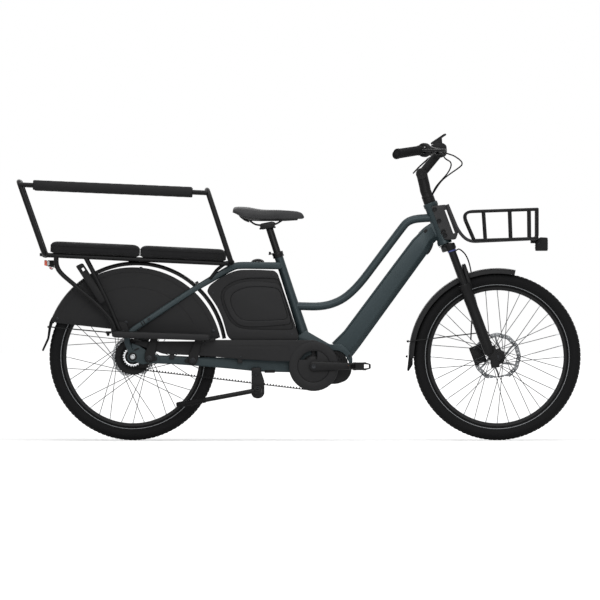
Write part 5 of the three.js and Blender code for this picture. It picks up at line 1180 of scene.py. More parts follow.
# %% Cast motor housing
bench = Bench()
housing = [(300, 349), (314, 346.5), (334, 351.5), (341.5, 358), (343.5, 364), (352, 366), (351, 374),
    (346.5, 380.5), (338, 383.8),
           (320, 384.5), (304, 379), (294, 368)]
bench.plate(softened(flat(housing), 0.012), -0.033, 0.054, 0.006)
bench.turned([(0.0135, 0.0), (0.058, 0.0), (0.062, 0.002), (0.0635, 0.006), (0.0635, 0.085),
    (0.062, 0.089), (0.058, 0.0915), (0.0135, 0.0915)],
             (CRANK.x, -0.0365, CRANK.z), sections=64)
bench.plate(softened(flat([(324, 348), (338, 349.5), (344.5, 354), (347.6, 361), (348, 368),
    (330, 372)]), 0.006), -0.028, 0.028, 0.002)
for k in range(8):
    right = 334.2 + 1.75 * k
    top = 347.6 + 0.07 * k * k + 0.55 * k
    bench.plate(softened(flat([(right, top), (right + 0.62, top + 0.2), (right + 1.9, top + 13),
        (right + 0.9, top + 13)]), 0.0006), -0.034, 0.034, 0.0004)
for k in range(5):
    turn = math.radians(20 + 72 * k)
    place = (CRANK.x + 0.05 * math.cos(turn), -0.0365, CRANK.z + 0.05 * math.sin(turn))
    bench.finish = 1
    bench.bolt(place, (0, -1, 0), 0.004, 0.0025)
    bench.bolt((place[0], 0.055, place[2]), (0, 1, 0), 0.004, 0.0025)
    bench.finish = 0
lip = arc(CRANK, 0.094, -32, -72, 14) + arc(CRANK, 0.086, -72, -32, 14)
bench.plate(lip, -0.0405, -0.03, 0.0015)
bench.piece("motor_casting", "frame", [DEEP_METAL, BOLT], "black_metal", ["motor"], 30)
print("motor:", MADE[-1])

# %% [markdown]
# ## Belt cover and side covers
# The belt cover is one moulding with a ring round the crank, through which the spider shows. The
# side covers fill the triangle behind the seat tube. Each has a groove around a raised panel. The
# groove is real: the outer shell has an opening, and the panel stands in it with a gap all round
# and a floor behind, so light falls off inside it as it does on the bike.

# %% Belt cover
bench = Bench()
run = [(136, 342.2), (150, 341.2), (205, 341.2), (216, 339.8), (240, 339.8), (313.7, 340), (318, 341),
    (318, 360), (298, 360.5), (288, 361.2), (278.2, 361.3),
       (245.8, 359.4), (215, 356.8), (198.9, 355.7), (163.5, 353.8), (146.7, 348), (134.4, 343.6)]
bench.plate(softened(flat(run), 0.006), -0.082, -0.0745, 0.0025, [arc(CRANK, 0.0605, 0, 355, 71)])
ring = [(0.0600, -0.0745), (0.0600, -0.0815), (0.0615, -0.0835), (0.066, -0.0846), (0.087, -0.0846),
    (0.0915, -0.0832), (0.0935, -0.080),
        (0.0935, -0.0745)]
bench.turned(ring, (CRANK.x, 0, CRANK.z), sections=96, closed=True)
bench.turned([(0.0905, -0.076), (0.0925, -0.073), (0.0925, -0.0585), (0.0905, -0.0585)],
    (CRANK.x, 0, CRANK.z), sections=96, closed=True)
# The groove along the cover's face is painted shade: a thin, slightly raised strip in a darker finish.
bench.finish = 1
painted_slot_shade = [(205, 351.3), (180, 350.1), (171, 349.3), (168.4, 347.6), (171, 345.8), (180, 345.6),
    (240, 345.6), (283, 345.7), (287.5, 346.9), (289.6, 349.6)]
bench.sweep(rounded_box(0.0007, 0.0019, 0.0003, 2), flowing([spot(*pair, -0.0822) for pair in painted_slot_shade], 4),
    across=(0, 1, 0))
bench.finish = 0
for right, down in ((172, 356.5), (240, 360.5)):
    bench.block(spot(right - 2.5, down + 2.6, -0.0755), spot(right + 2.5, down - 2.4, -0.0545), 0.002)
bench.finish = 2
for right, down in ((241, 356.5), (176, 352.8)):
    bench.bolt(spot(right, down, -0.082), (0, -1, 0), 0.004, 0.002)
bench.piece("belt_guard", "frame", [COVER, DEEP_METAL, BOLT], "black_plastic", ["belt_cover"], 30)

# %% Side covers
shell = [(240.1, 269.8), (258, 269.7), (274.4, 270.6), (277.8, 273.6), (287.8, 303), (300.2, 340.4),
    (231.5, 340.4), (227.4, 336),
         (222.3, 317.4), (216.5, 305.4), (209.6, 295.6), (207, 291.4), (209.3, 285.8), (215.3, 281),
    (223.7, 275.7), (232.8, 271.6)]
moat = [(279.2, 278.8), (262, 278.0), (246, 278.3), (234.5, 281.2), (225.6, 286.4), (221.4, 291.9),
    (220.8, 298.6), (223.4, 307.5), (229, 319.8),
        (236.6, 327.2), (247, 329.2), (266, 329.9), (294.2, 329.9)]
panel = [(280.3, 283.9), (263.5, 281.4), (248.4, 281), (237, 283.2), (228.3, 287.6), (224.2, 292.6),
    (223.6, 298.6), (226.2, 307.3), (231.4, 317.9),
         (238.6, 325), (248, 327), (266.5, 326.4), (292, 324)]
dish = [(279.4, 288.6), (263, 286.6), (249.5, 286.8), (240, 289.2), (232.8, 293.4), (230.4, 298.4),
    (231.4, 305.5), (236, 314.6), (241.6, 319.6),
        (250, 321), (266, 320.6), (288.6, 319.4)]
for word, side in SIDES:
    bench = Bench()
    face = side * 0.062

    def layer(outline, depth, thick, bevel, holes=()):
        ends = sorted((face + side * depth, face + side * (depth - thick)))
        bench.plate(outline, *ends, bevel, holes)

    outer = softened(flat(shell), 0.022, 5)
    layer(outer, 0.003, 0.006, 0.0028, [softened(flat(moat), 0.02, 4)])
    layer(softened(flat(moat), 0.02, 4), -0.0045, 0.001, 0.0003)
    layer(softened(flat(panel), 0.02, 4), 0.0022, 0.006, 0.0026, [softened(flat(dish), 0.022, 4)])
    layer(softened(flat(dish), 0.022, 4), 0.0012, 0.005, 0.0022)
    inner = [tuple(between(Vector(point), Vector((-0.19, 0.52)), 0.018)) for point in outer]
    rim = [[Vector((x, side * y, z)) for x, z in outer] for y in (0.0595, 0.028, 0.0006)]
    back = [[Vector((x, side * y, z)) for x, z in inner] for y in (0.0006, 0.028, 0.0595)]
    bench.skin(rim + back, closed=True)
    bench.finish = 1
    for right, down in ((213, 293), (273, 275.5), (292, 334)):
        bench.bolt(spot(right, down, face + side * 0.0028), (0, side, 0), 0.0036, 0.0014)
    bench.piece(f"side_panel_{word}", "frame", [COVER, BOLT], "black_plastic", [f"side_cover_{word}"], 30)
print("covers:", MADE[-3:])

# %% [markdown]
# ## Wheel guards and rear fender
# Passengers' feet hang beside the rear wheel, so a large thin sheet covers the spokes on each side.
# The fender is a rolled strip with turned-in edges over the tyre. It ends in a rubber flap, and a
# wire stay with small end knobs holds it.


# %% Wheel guards and fenders
def stay_at(right, side):
    """The place on a seat stay's centre line at one picture column."""
    x = spot(right, 0).x
    route = [spot(*pair, side * (0.032 + 0.04 * share)) for pair, share in zip(STAY, STAY_SHARES)]
    for a, b in zip(route, route[1:]):
        if (a.x - x) * (b.x - x) <= 0:
            return between(a, b, (x - a.x) / (b.x - a.x))


for word, side in SIDES:
    bench = Bench()
    edge = flat([(56.8, 323), (113, 329.1), (216.2, 338.9)])
    outline = arc(REAR_AXLE, 0.336, 12.5, 156, 60) + edge
    low, high = sorted((side * 0.0447, side * 0.0481))
    bench.plate(outline, low, high, 0.0012)
    swage = arc(REAR_AXLE, 0.318, 20, 149, 40)
    bench.sweep(rounded_box(0.0012, 0.0032, 0.0005, 2), upright(swage, side * 0.0483), across=(0, 1, 0))
    swage = arc(REAR_AXLE, 0.262, 28, 140, 40)
    bench.sweep(rounded_box(0.001, 0.0022, 0.0004, 2), upright(swage, side * 0.0483), across=(0, 1, 0))
    for right in (196, 158):
        place = stay_at(right, side)
        bench.tube(0.008, Vector((place.x, side * 0.047, place.z)),
            place - Vector((0, side * 0.0075, 0)), sides=24)
    bench.finish = 1
    for right, down in ((141, 268.5), (126.2, 322.4), (57.5, 318.6), (213.5, 331)):
        bench.turned([(0, 0.0012), (0.002, 0.0012), (0.0025, 0.0026), (0.0058, 0.0022),
            (0.0066, 0.0008), (0.0066, 0)],
                     spot(right, down, side * 0.0481), (0, side, 0), 24)
    bench.piece(f"spoke_shield_{word}", "frame", [GUARD, BOLT], "black_plastic",
        [f"wheel_guard_{word}"], 30)


def fender_section(half, depth, thick):
    """Half an open channel with rolled edges, as a closed section: outwards is positive."""
    outer = [(-half, -depth), (-half, -depth * 0.45), (-half * 0.9, -0.0028), (-half * 0.55, -0.0004),
        (0, 0), (half * 0.55, -0.0004),
             (half * 0.9, -0.0028), (half, -depth * 0.45), (half, -depth)]
    inner = [(a * (1 - thick / half), max(-depth, b - thick)) for a, b in outer]
    return outer + inner[::-1]


def fender(bench, centre, radius, start, end, depth):
    """A fender strip along an arc, its ends a little tapered."""
    section = fender_section(0.036, depth, 0.0022)
    route = upright(arc(centre, radius, end, start, 64))
    sizes = [0.93, 0.97, 0.99] + [1] * (len(route) - 6) + [0.99, 0.97, 0.93]
    bench.sweep(section, route, across=(0, 1, 0), sizes=sizes)


def flap(bench, outline, half):
    bench.plate(softened(flat(outline), 0.003), -half, half, 0.004)


def knob(bench, place, axis, radius=0.0045, height=0.007):
    bench.turned([(0, height), (radius * 0.6, height), (radius * 0.8, height * 0.8),
        (radius * 0.8, height * 0.55), (radius, height * 0.45),
                  (radius, 0), (0, 0)], place, axis, 16)


bench = Bench()
lifted = Vector((REAR_AXLE.x + 0.0122, 0, REAR_AXLE.z + 0.0157))
fender(bench, lifted, 0.3425, 9, 160.5, 0.015)
bench.finish = 1
flap(bench, [(49.6, 322), (48.6, 328), (47.4, 338), (41.9, 350.3), (43.4, 351.3), (49.2, 339),
    (51.2, 328), (54.6, 318), (52, 317)], 0.0315)
bench.finish = 2
for side in (-1, 1):
    wire = [spot(50, 326.9, side * 0.0325), spot(49.2, 326.8, side * 0.0555),
        spot(60, 327.9, side * 0.0555), spot(108.4, 332.4, side * 0.0555)]
    bench.tube(0.0021, *wire, reach=0.008, sides=12)
    knob(bench, spot(49.4, 327, side * 0.0325), (-1, 0, 0.1))
    knob(bench, spot(108, 333.6, side * 0.0555), (0.1, 0, -1), 0.005, 0.009)
    bench.block(spot(105.8, 333.6, side * 0.0555 - 0.004), spot(111, 331.2, side * 0.0555 + 0.004), 0.0015)
bench.finish = 3
bench.block((REAR_AXLE.x - 0.017, -0.017, lifted.z + 0.340),
    (REAR_AXLE.x + 0.017, 0.017, spot(0, 259.6).z), 0.003)
bench.piece("rear_mudguard", "frame", [GUARD, RUBBER, BLACK_METAL, DARK_PLASTIC], "black_plastic",
    ["rear_fender"], 32)
bench = Bench()
fender(bench, FRONT_AXLE, 0.333, 78, 181, 0.0205)
bench.finish = 1
flap(bench, [(413, 346), (411, 345), (409.6, 352), (408.5, 358), (407.1, 370.6), (408.6, 371.2),
    (412.7, 364.6), (412.7, 356)], 0.0315)
bench.finish = 2
for side in (-1, 1):
    eye = spot(481, 332.6, side * 0.0465)
    wire = [spot(408.9, 341.3, side * 0.033), spot(408.9, 341.3, side * 0.0465), eye]
    bench.tube(0.0021, *wire, reach=0.006, sides=12)
    knob(bench, spot(408.6, 341.4, side * 0.033), (-1, 0, 0.1))
    knob(bench, spot(407.6, 356.4, side * 0.02), (-1, 0, 0))
arch = steered(0.038, 0, -0.262)
inward = (arch - Vector((FRONT_AXLE.x, 0, FRONT_AXLE.z))).normalized()
mount = Vector((FRONT_AXLE.x, 0, FRONT_AXLE.z)) + inward * 0.329
bench.turned([(0, 0), (0.010, 0), (0.0085, 0.003), (0.008, 0.006), (0.008, (arch - mount).length),
    (0, (arch - mount).length)], mount, inward, 24)
bench.piece("front_mudguard", "fork", [GUARD, RUBBER, BLACK_METAL], "black_plastic", ["front_fender"], 32)
print("guards and fenders:", MADE[-4:])

# %% [markdown]
# ## Footboards
# A board is a long rounded beam with rubber strips on top, so a shoe doesn't slip in the rain. Two
# flat arms carry it from bosses on the chain stay, each with one large bolt.

# %% Footboards
for word, side in SIDES:
    bench = Bench()
    rear, front = spot(112.4, 334.2), spot(210.1, 337.4)
    middle_side = side * 0.126
    along = (front - rear).normalized()
    length = (front - rear).length
    shares = [0, 0.004, 0.012, 0.03, 0.06, 0.5, 0.93, 0.965, 0.985, 0.996, 1]
    sizes = [0.35, 0.6, 0.8, 0.94, 1, 1, 1, 0.95, 0.82, 0.6, 0.38]
    route = [rear + Vector((0, middle_side, 0)) + along * length * share for share in shares]
    up = Vector((-along.z, 0, along.x))
    rings = []
    for place, size in zip(route, sizes):
        section = rounded_box(0.066 * (0.6 + 0.4 * size), 0.0245 * size, 0.009 * size, 5)
        rings.append([place + Vector((0, a, 0)) + up * b for a, b in section])
    bench.skin(rings)
    bench.finish = 1
    for k in range(5):
        y = middle_side + (k - 2) * 0.0115
        strip = [rear + along * length * t + up * 0.0122 + Vector((0, y, 0)) for t in (0.05, 0.3, 0.6,
            0.93)]
        bench.sweep(rounded_box(0.005, 0.0022, 0.0009, 2), strip, across=(0, 1, 0))
    bench.finish = 2
    for boss, top, lean in (((149.4, 358.4), (155.2, 336), 1), ((192.8, 360.7), (199.4, 338), -1)):
        plate = [(top[0] - 3.2, top[1] - 0.5), (top[0] + 3.2, top[1] - 0.5),
            (boss[0] + 5.9, boss[1] - 4.5), (boss[0] + 4.2, boss[1] + 3.2),
                 (boss[0] - 4.2, boss[1] + 3.2), (boss[0] - 4.6, boss[1] - 4.5)]
        low, high = sorted((side * 0.086, side * 0.0935))
        bench.plate(softened(flat(plate), 0.012), low, high, 0.002)
        bench.plate(softened(flat([(boss[0] + lean * 2, boss[1] - 2.5),
            (boss[0] + lean * 8, boss[1] - 1.8), (boss[0] + lean * 8, boss[1] + 2),
                                   (boss[0] + lean * 2, boss[1] + 3)]), 0.007),
            *sorted((side * 0.079, side * 0.0855)), 0.002)
        inner = 0.063 - 0.036 * (boss[0] - 137) / 154.5 + 0.007
        centre = spot(*boss)
        bench.turned([(0, inner), (0.0165, inner), (0.0165, 0.086), (0, 0.086)],
            (centre.x, 0, centre.z), (0, side, 0), 32)
        bench.block((spot(top[0] - 3, 0).x, min(side * 0.088, side * 0.15), centre.z + 0.075),
            (spot(top[0] + 3, 0).x, max(side * 0.088, side * 0.15), centre.z + 0.083), 0.002)
        bench.finish = 3
        bench.turned([(0, 0.0008), (0.0032, 0.0008), (0.0034, 0.0036), (0.0062, 0.0036),
            (0.0068, 0.0016), (0.0085, 0.0012), (0.0092, 0.0022),
                      (0.011, 0.002), (0.0115, 0)], (centre.x, side * 0.0932, centre.z), (0, side, 0), 32)
        bench.finish = 2
    bench.block(spot(205.5, 341, side * 0.098 - 0.008), spot(215.5, 338.2, side * 0.098 + 0.008), 0.003)
    bench.piece(f"foot_rest_{word}", "frame", [COVER, RUBBER, BLACK_METAL, BOLT], "black_plastic",
        [f"footboard_{word}"], 32)
print("footboards:", MADE[-2:])

# %% [markdown]
# ## Rear rack
# Two long tubes carry the seat. Short tubes join them, and on each side two bent stays bring the
# load down to a foot plate on the frame. Welding tubes is quick and needs no mould, so a maker
# draws the whole rack as a handful of bent routes.

# %% Rack of bent tubes
RAIL_SIDE = 0.095
rail_rear, rail_front = (46.7, 255.1), (227.8, 263.6)
bench = Bench()
for side in (-1, 1):
    bench.tube(0.0085, spot(*rail_rear, side * RAIL_SIDE), spot(*rail_front, side * RAIL_SIDE), sides=24)
    bench.turned([(0, 0.0028), (0.006, 0.0024), (0.0082, 0.0008), (0.0088, 0)],
        spot(rail_rear[0] - 0.4, rail_rear[1], side * RAIL_SIDE), (-1, 0, 0), 24)
    for route in ([(56.2, 256.5), (56.2, 265.2), (60.1, 272.9), (96.3, 303), (111.9, 319.5), (115.6, 330)],
                  [(86.1, 258.3), (93.8, 272.9), (107.9, 301.4), (120, 330)]):
        stay = [spot(*pair, side * (0.095 - 0.007 * i / (len(route) - 1))) for i, pair in enumerate(route)]
        bench.tube(0.0078, *stay, reach=0.035, sides=22)
    foot = softened(flat([(110, 322), (126, 322), (130, 331), (126.5, 337), (112, 335)]), 0.008)
    bench.plate(foot, *sorted((side * 0.0765, side * 0.089)), 0.0015)
    gusset = softened(flat([(82.5, 263), (76, 266.2), (100.5, 304), (107, 300.5)]), 0.006)
    window = softened(flat([(81, 268.6), (83.4, 267), (85.4, 270.2), (83, 271.8)]), 0.002)
    bench.plate(gusset, *sorted((side * 0.088, side * 0.093)), 0.0012, [window])
    bench.tube(0.006, spot(*rail_front, side * RAIL_SIDE), spot(224, 264.2, side * RAIL_SIDE),
        spot(217, 269.7, side * 0.062),
               spot(210, 279, side * 0.062), reach=0.012, sides=18)
for right, down, radius in ((*rail_rear, 0.0085), (93.8, 257.3, 0.006), (132.9, 259.1, 0.006),
    (180, 261.3, 0.006), (*rail_front, 0.0085)):
    bench.tube(radius, spot(right, down, -RAIL_SIDE), spot(right, down, RAIL_SIDE), sides=22)
light_arm = [(45, 253.2), (56, 254), (56, 268), (54.3, 268), (54.3, 256.8), (45, 256.4)]
bench.plate(softened(flat(light_arm), 0.002), -0.018, 0.018, 0.001)
bench.finish = 1
for side in (-1, 1):
    bench.bolt(spot(44.6, 254.6, side * 0.06), (-1, 0, 0), 0.0048, 0.006)
    for right, down in ((114.5, 330), (123.5, 331.5)):
        bench.bolt(spot(right, down, side * 0.0888), (0, side, 0), 0.0048, 0.003)
bench.piece("rack_tubes", "frame", [BLACK_METAL, BOLT], "black_metal", ["rack_frame"], 35)
print("rack:", MADE[-1])

# %% [markdown]
# ## Seat cushions
# A cushion is a sewn cover stuffed with foam. The foam pushes the cloth outwards, most in the middle
# of each panel and least at the seams, which no profile describes well. So the cover is blown up
# like a balloon by a cloth simulation, its movement is capped, and the seams are added afterwards.


# %% Two seat cushions by cloth simulation
def pillow(length, width, height, corner):
    """A rounded slab, a little smaller than the cushion it becomes, with its softer edge on top."""
    bench = Bench()
    rings = []
    for edge, start in ((height * 0.08, -1), (height * 0.3, 0)):
        for i in range(6):
            turn = math.pi / 2 * (i / 5 + start)
            inset = edge * (1 - math.cos(turn))
            level = (height / 2 - edge) * (1 + 2 * start) + edge * math.sin(turn)
            rings.append([Vector((a, b, level)) for a,
                b in rounded_box(length - 2 * inset, width - 2 * inset, corner - inset * 0.6, 6)])
    bench.skin(rings)
    mesh = bpy.data.meshes.new("pillow")
    bench.mesh.to_mesh(mesh)
    bench.mesh.free()
    made = bpy.data.objects.new("pillow", mesh)
    bpy.context.scene.collection.objects.link(made)
    return made


def applied(made):
    """The mesh as its modifiers show it, without the modifiers."""
    shown = bpy.data.meshes.new_from_object(made.evaluated_get(bpy.context.evaluated_depsgraph_get()))
    made.modifiers.clear()
    made.data = shown
    return made


def blown(made, cap, pressure=4.0, voxel=0.006):
    """The pad swollen by cloth under pressure; no point moves further than the cap."""
    remesh = made.modifiers.new("remesh", "REMESH")
    remesh.mode, remesh.voxel_size = "VOXEL", voxel
    applied(made)
    rest = [point.co.copy() for point in made.data.vertices]
    cloth = made.modifiers.new("cloth", "CLOTH")
    cloth.settings.use_pressure = True
    cloth.settings.uniform_pressure_force = pressure
    cloth.settings.effector_weights.gravity = 0
    for number in range(1, 21):
        bpy.context.scene.frame_set(number)
    applied(made)
    bpy.context.scene.frame_set(1)
    for point, start in zip(made.data.vertices, rest):
        moved = point.co - start
        if moved.length > cap:
            point.co = start + moved.normalized() * cap
    smooth = made.modifiers.new("smooth", "SUBSURF")
    smooth.levels = 1
    applied(made)
    for polygon in made.data.polygons:
        polygon.use_smooth = True
    return made


def seamed(name, made, loops, finish, body, replaces):
    """The finished pad with its piping, as one cushion that rides on its body."""
    bench = Bench()
    for loop in loops:
        bench.sweep(circle(0.0013, 8), loop, closed=True)
    piping = bpy.data.meshes.new(name + "_piping")
    bench.mesh.to_mesh(piping)
    bench.mesh.free()
    whole = bmesh.new()
    whole.from_mesh(made.data)
    whole.from_mesh(piping)
    whole.to_mesh(made.data)
    whole.free()
    bpy.data.meshes.remove(piping)
    made.name = name
    made.data.name = name
    made.data.materials.clear()
    made.data.materials.append(finish.material)
    for polygon in made.data.polygons:
        polygon.use_smooth = True
        polygon.material_index = 0
    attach(made, body)
    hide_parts(*replaces)
    MADE.append((name, len(made.data.polygons)))


cushion_lines = {"rear": ((50.7, 241.4), (139.9, 245.4)), "front": ((140.3, 245.6), (226.3, 249.8))}
for word, (rear_top, front_top) in cushion_lines.items():
    rear, front = spot(*rear_top), spot(*front_top)
    slope = (front.z - rear.z) / (front.x - rear.x)
    length = (front - rear).length
    middle = between(rear, front, 0.5) + Vector((0, 0, -0.0224))
    tilt = Matrix.Rotation(-math.atan(slope), 4, "Y")
    pad = pillow(length - 0.010, 0.210, 0.0385, 0.014)
    blown(pad, 0.0055)
    reach = [max(abs(point.co[axis]) for point in pad.data.vertices) for axis in range(3)]
    grow = Vector(((length - 0.0012) / 2 / reach[0], 0.1095 / reach[1], 0.0238 / reach[2]))
    for point in pad.data.vertices:
        point.co = Vector(a * b for a, b in zip(point.co, grow))
        point.co.z = max(point.co.z, -0.0222)
    pad.data.transform(Matrix.Translation(middle) @ tilt)
    surface = BVHTree.FromPolygons([point.co for point in pad.data.vertices],
        [polygon.vertices for polygon in pad.data.polygons])
    loops = []
    for level in (0.0095, -0.0165):
        section = rounded_box(length + 0.02, 0.24, 0.04, 9)
        outside = [Matrix.Translation(middle) @ tilt @ Vector((a, b, level)) for a, b in section]
        loops.append([surface.find_nearest(point)[0] for point in outside])
    seamed(f"seat_pad_{word}", pad, loops, CUSHION, "frame", [f"cushion_{word}"])
print("cushions:", MADE[-2:])

# %% [markdown]
# ## Safety rail
# Passengers hold on to a rail with two hoops. Each hoop is one tube bent up, across and down again,
# and a straight bar joins the hoops on each side, wrapped in a soft foam sleeve.

# %% Safety rail and foam sleeves
hoops = [((45.3, 254.6), (19.7, 182)), ((231.2, 262.4), (207.3, 190.2))]
bench = Bench()
for base, top in hoops:
    route = [spot(*base, -0.1035), spot(*base, -0.185), spot(*top, -0.185), spot(*top, 0.185),
        spot(*base, 0.185), spot(*base, 0.1035)]
    bench.tube(0.0094, *route, reach=0.045, sides=26)
    for side in (-1, 1):
        bench.turned([(0.0094, -0.012), (0.0118, -0.011), (0.0118, 0.011), (0.0094, 0.012)],
            spot(*base, side * 0.13), (0, side, 0), 28)
bar_ends = [(top[0], top[1] + 2.7) for _, top in hoops]
for side in (-1, 1):
    bench.tube(0.0079, *[spot(*pair, side * 0.185) for pair in bar_ends], sides=24)
bench.finish = 1
for base, top in hoops:
    for side in (-1, 1):
        bench.bolt(spot(*base, side * 0.13) + Vector((0, 0, 0.0112)), (0, 0, 1), 0.0046, 0.003)
        bench.bolt(spot(base[0], base[1] + 0.1, side * 0.115) - Vector((0.008, 0, 0)), (-1, 0, 0),
            0.0062, 0.011)
bench.piece("passenger_rail", "frame", [BLACK_METAL, BOLT], "black_metal", ["safety_rail"], 35)
for word, side in SIDES:
    rear, front = (spot(*pair, side * 0.185) for pair in bar_ends)
    start, end = between(rear, front, 0.075), between(rear, front, 0.92)
    bench = Bench()
    run = (end - start).length
    profile = [(0.0094, 0.0), (0.0155, 0.0), (0.0178, 0.0016), (0.0187, 0.005)]
    profile += [(0.0187 + 0.0003 * math.sin(k * 2.1), 0.005 + (run - 0.01) * k / 40) for k in range(1, 40)]
    profile += [(0.0187, run - 0.005), (0.0178, run - 0.0016), (0.0155, run), (0.0094, run)]
    bench.turned(profile, start, end - start, 32, closed=True)
    made = bench.piece(f"foam_sleeve_{word}", "frame", [FOAM], "rubber", [f"foam_{word}"], 60)
print("rail:", MADE[-3:])

# %% [markdown]
# ## Tail light
# The light is a black box screwed under the rack's end. Its lens is ribbed inside and glows
# orange-red, a pale reflector sits behind it, and a small tag hangs below on a thin wire.

# %% Tail light and lens
bench = Bench()
bench.plate(softened(flat([(47.5, 260.3), (54.0, 260.3), (54.0, 267.4), (47.5, 266.4)]), 0.004), -0.032,
    0.032, 0.002)
bench.finish = 1
bench.plate(softened(flat([(47.6, 261), (49.6, 261), (49.6, 265.6), (47.6, 265.2)]), 0.002), -0.0323,
    0.0323, 0.001)
bench.finish = 0
bench.tube(0.0012, spot(51, 266.8), spot(50, 269), spot(52.4, 269.6), spot(53.4, 267.2), reach=0.004,
    sides=10)
bench.finish = 2
bench.plate(softened(flat([(49.2, 267.2), (52.2, 267.6), (52.2, 268.8), (49.2, 268.4)]), 0.001), -0.006,
    0.006, 0.0006)
bench.piece("tail_light_box", "frame", [DARK_PLASTIC, CLEAR_LENS, RED_TAG], "black_plastic",
    ["tail_light_housing"], 35)
bench = Bench()
bench.plate(softened(flat([(44.6, 260), (47.2, 260.3), (47.2, 266.3), (44.6, 265.3)]), 0.0035), -0.032,
    0.032, 0.0022)
for k in range(7):
    bench.block(spot(45, 265.2, -0.0265 + k * 0.0085), spot(44.45, 260.6, -0.0245 + k * 0.0085), 0.0004)
bench.piece("tail_lens", "frame", [RED_LENS], "lens", ["tail_light_lens"], 35)
print("tail light:", MADE[-2:])

# %% [markdown]
# ## Centre stand
# Two legs turn on slanted pivots under the chain stays. The slant makes them fold up close to the
# wheel and spread wide when they come down. One forged bracket holds both pivots.

# %% Stand bracket and legs
bench = Bench()
top = spot(251.5, 371)
bench.block((top.x, -0.076, top.z - 0.022), (spot(261, 371).x, 0.076, top.z + 0.0135), 0.004)
block_line = [(251.7, 371), (261, 371), (264.3, 381), (264.4, 394), (262, 397.4), (257.6, 398.5),
    (253.4, 397.4), (251.3, 394), (251.5, 381)]


def stand_pivot(side):
    pivot = spot(258, 390, side * 0.091)
    folded, opened = Vector((-0.306, side * 0.010, -0.057)), Vector((-0.080, side * 0.205, -0.215))
    return pivot, folded, folded.cross(opened).normalized() * -side


for side in (-1, 1):
    pivot, folded, axis = stand_pivot(side)
    bench.finish = 0
    bench.plate(softened(flat(block_line), 0.005), *sorted((side * 0.058, side * 0.0758)), 0.0025)
    out = axis * math.copysign(1, axis.y) * side
    face = pivot - out * 0.0106
    bench.turned([(0, -0.019), (0.0145, -0.019), (0.0145, -0.0015), (0.0135, 0), (0, 0)], face, out, 32)
    for down in (384.3, 387.4, 391.4):
        bench.block(spot(252.6, down + 0.35, side * 0.0757) - Vector((0, 0.0008, 0)),
            spot(263.6, down - 0.35, side * 0.0757) + Vector((0, 0.0008, 0)), 0.0004)
    bench.finish = 1
    bench.bolt(spot(256, 375, side * 0.0757), (0, side, 0), 0.0048, 0.004)
bench.piece("stand_block", "frame", [DEEP_METAL, BOLT], "black_metal", ["stand_bracket"], 35)
for word, side in SIDES:
    pivot, folded, axis = stand_pivot(side)
    bench = Bench()
    bench.turned([(0, -0.01), (0.0135, -0.01), (0.0148, -0.0085), (0.0148, 0.0085), (0.0135, 0.01),
        (0, 0.01)], pivot, axis, 36)
    tip = pivot + folded
    leg = [between(pivot, tip, t) for t in (0, 0.02, 0.3, 0.66)]
    bench.tube(0.0084, *leg, sides=24)
    bench.finish = 1
    foot = [(0.0084, 0.0), (0.0098, 0.001), (0.0104, 0.004)]
    reach = (tip - pivot).length * 0.36
    for k in range(9):
        foot += [(0.0104, 0.012 + 0.008 * k), (0.0095, 0.0135 + 0.008 * k),
            (0.0095, 0.0155 + 0.008 * k), (0.0104, 0.017 + 0.008 * k)]
    foot += [(0.0104, reach - 0.004), (0.0092, reach - 0.0012), (0.006, reach), (0, reach)]
    bench.turned([(0, 0.0)] + foot, between(pivot, tip, 0.64), folded, 32)
    bench.finish = 2
    bench.bolt(pivot + axis * math.copysign(0.0099, axis.y * side),
        axis * math.copysign(1, axis.y * side), 0.0065, 0.0035)
    bench.piece(f"stand_tube_{word}", f"stand_{word}", [BLACK_METAL, RUBBER, BOLT], "black_metal",
        [f"stand_leg_{word}"], 35)
print("stand:", MADE[-3:])

# %% [markdown]
# ## Brake calipers
# A caliper straddles its disc: two halves with a piston each, bolted together over the rim of the
# disc. A slot is left between them, and the body has round piston covers on both faces.


# %% Calipers front and rear
def caliper(name, body, centre, along, disc_side, replaces, size, arm=None):
    """A two-part body along a direction, open towards the disc between its halves."""
    inner, bridge, outer, tall = size
    bench = Bench()
    for side in (-1, 1):
        bench.onto = table(centre + Vector((0, disc_side + side * 0.0068, 0)), along.cross((0, 1, 0)),
            along)
        bench.block((-inner, -0.0046, -tall), (outer, 0.0046, tall), 0.004)
        bench.turned([(0, 0.0062), (0.0085, 0.0062), (0.0102, 0.005), (0.0108, 0.0), (0.0108, -0.001)],
            (0.001, side * 0.0035, 0), (0, side, 0), 28)
        bench.finish = 1
        for z in (0.0075 - tall, tall - 0.0075):
            bench.bolt((0.001, side * 0.0045, z), (0, side, 0), 0.0042, 0.003)
        bench.finish = 0
    bench.onto = table(centre + Vector((0, disc_side, 0)), along.cross((0, 1, 0)), along)
    for z in (0.004 - tall, tall - 0.004):
        bench.block((bridge, -0.003, z - 0.004), (outer, 0.003, z + 0.004), 0.001)
    bench.onto = Matrix.Identity(4)
    if arm:
        arm(bench)
    bench.piece(name, body, [ALLOY, BOLT], "black_metal", replaces, 35)


def rear_arm(bench):
    bench.block((REAR_AXLE.x + 0.01, 0.056, REAR_AXLE.z + 0.030),
        (REAR_AXLE.x + 0.052, 0.0815, REAR_AXLE.z + 0.052), 0.004)
    bench.finish = 1
    for x in (0.018, 0.044):
        bench.bolt((REAR_AXLE.x + x, 0.0812, REAR_AXLE.z + 0.041), (0, 1, 0), 0.0046, 0.003)
    bench.finish = 0


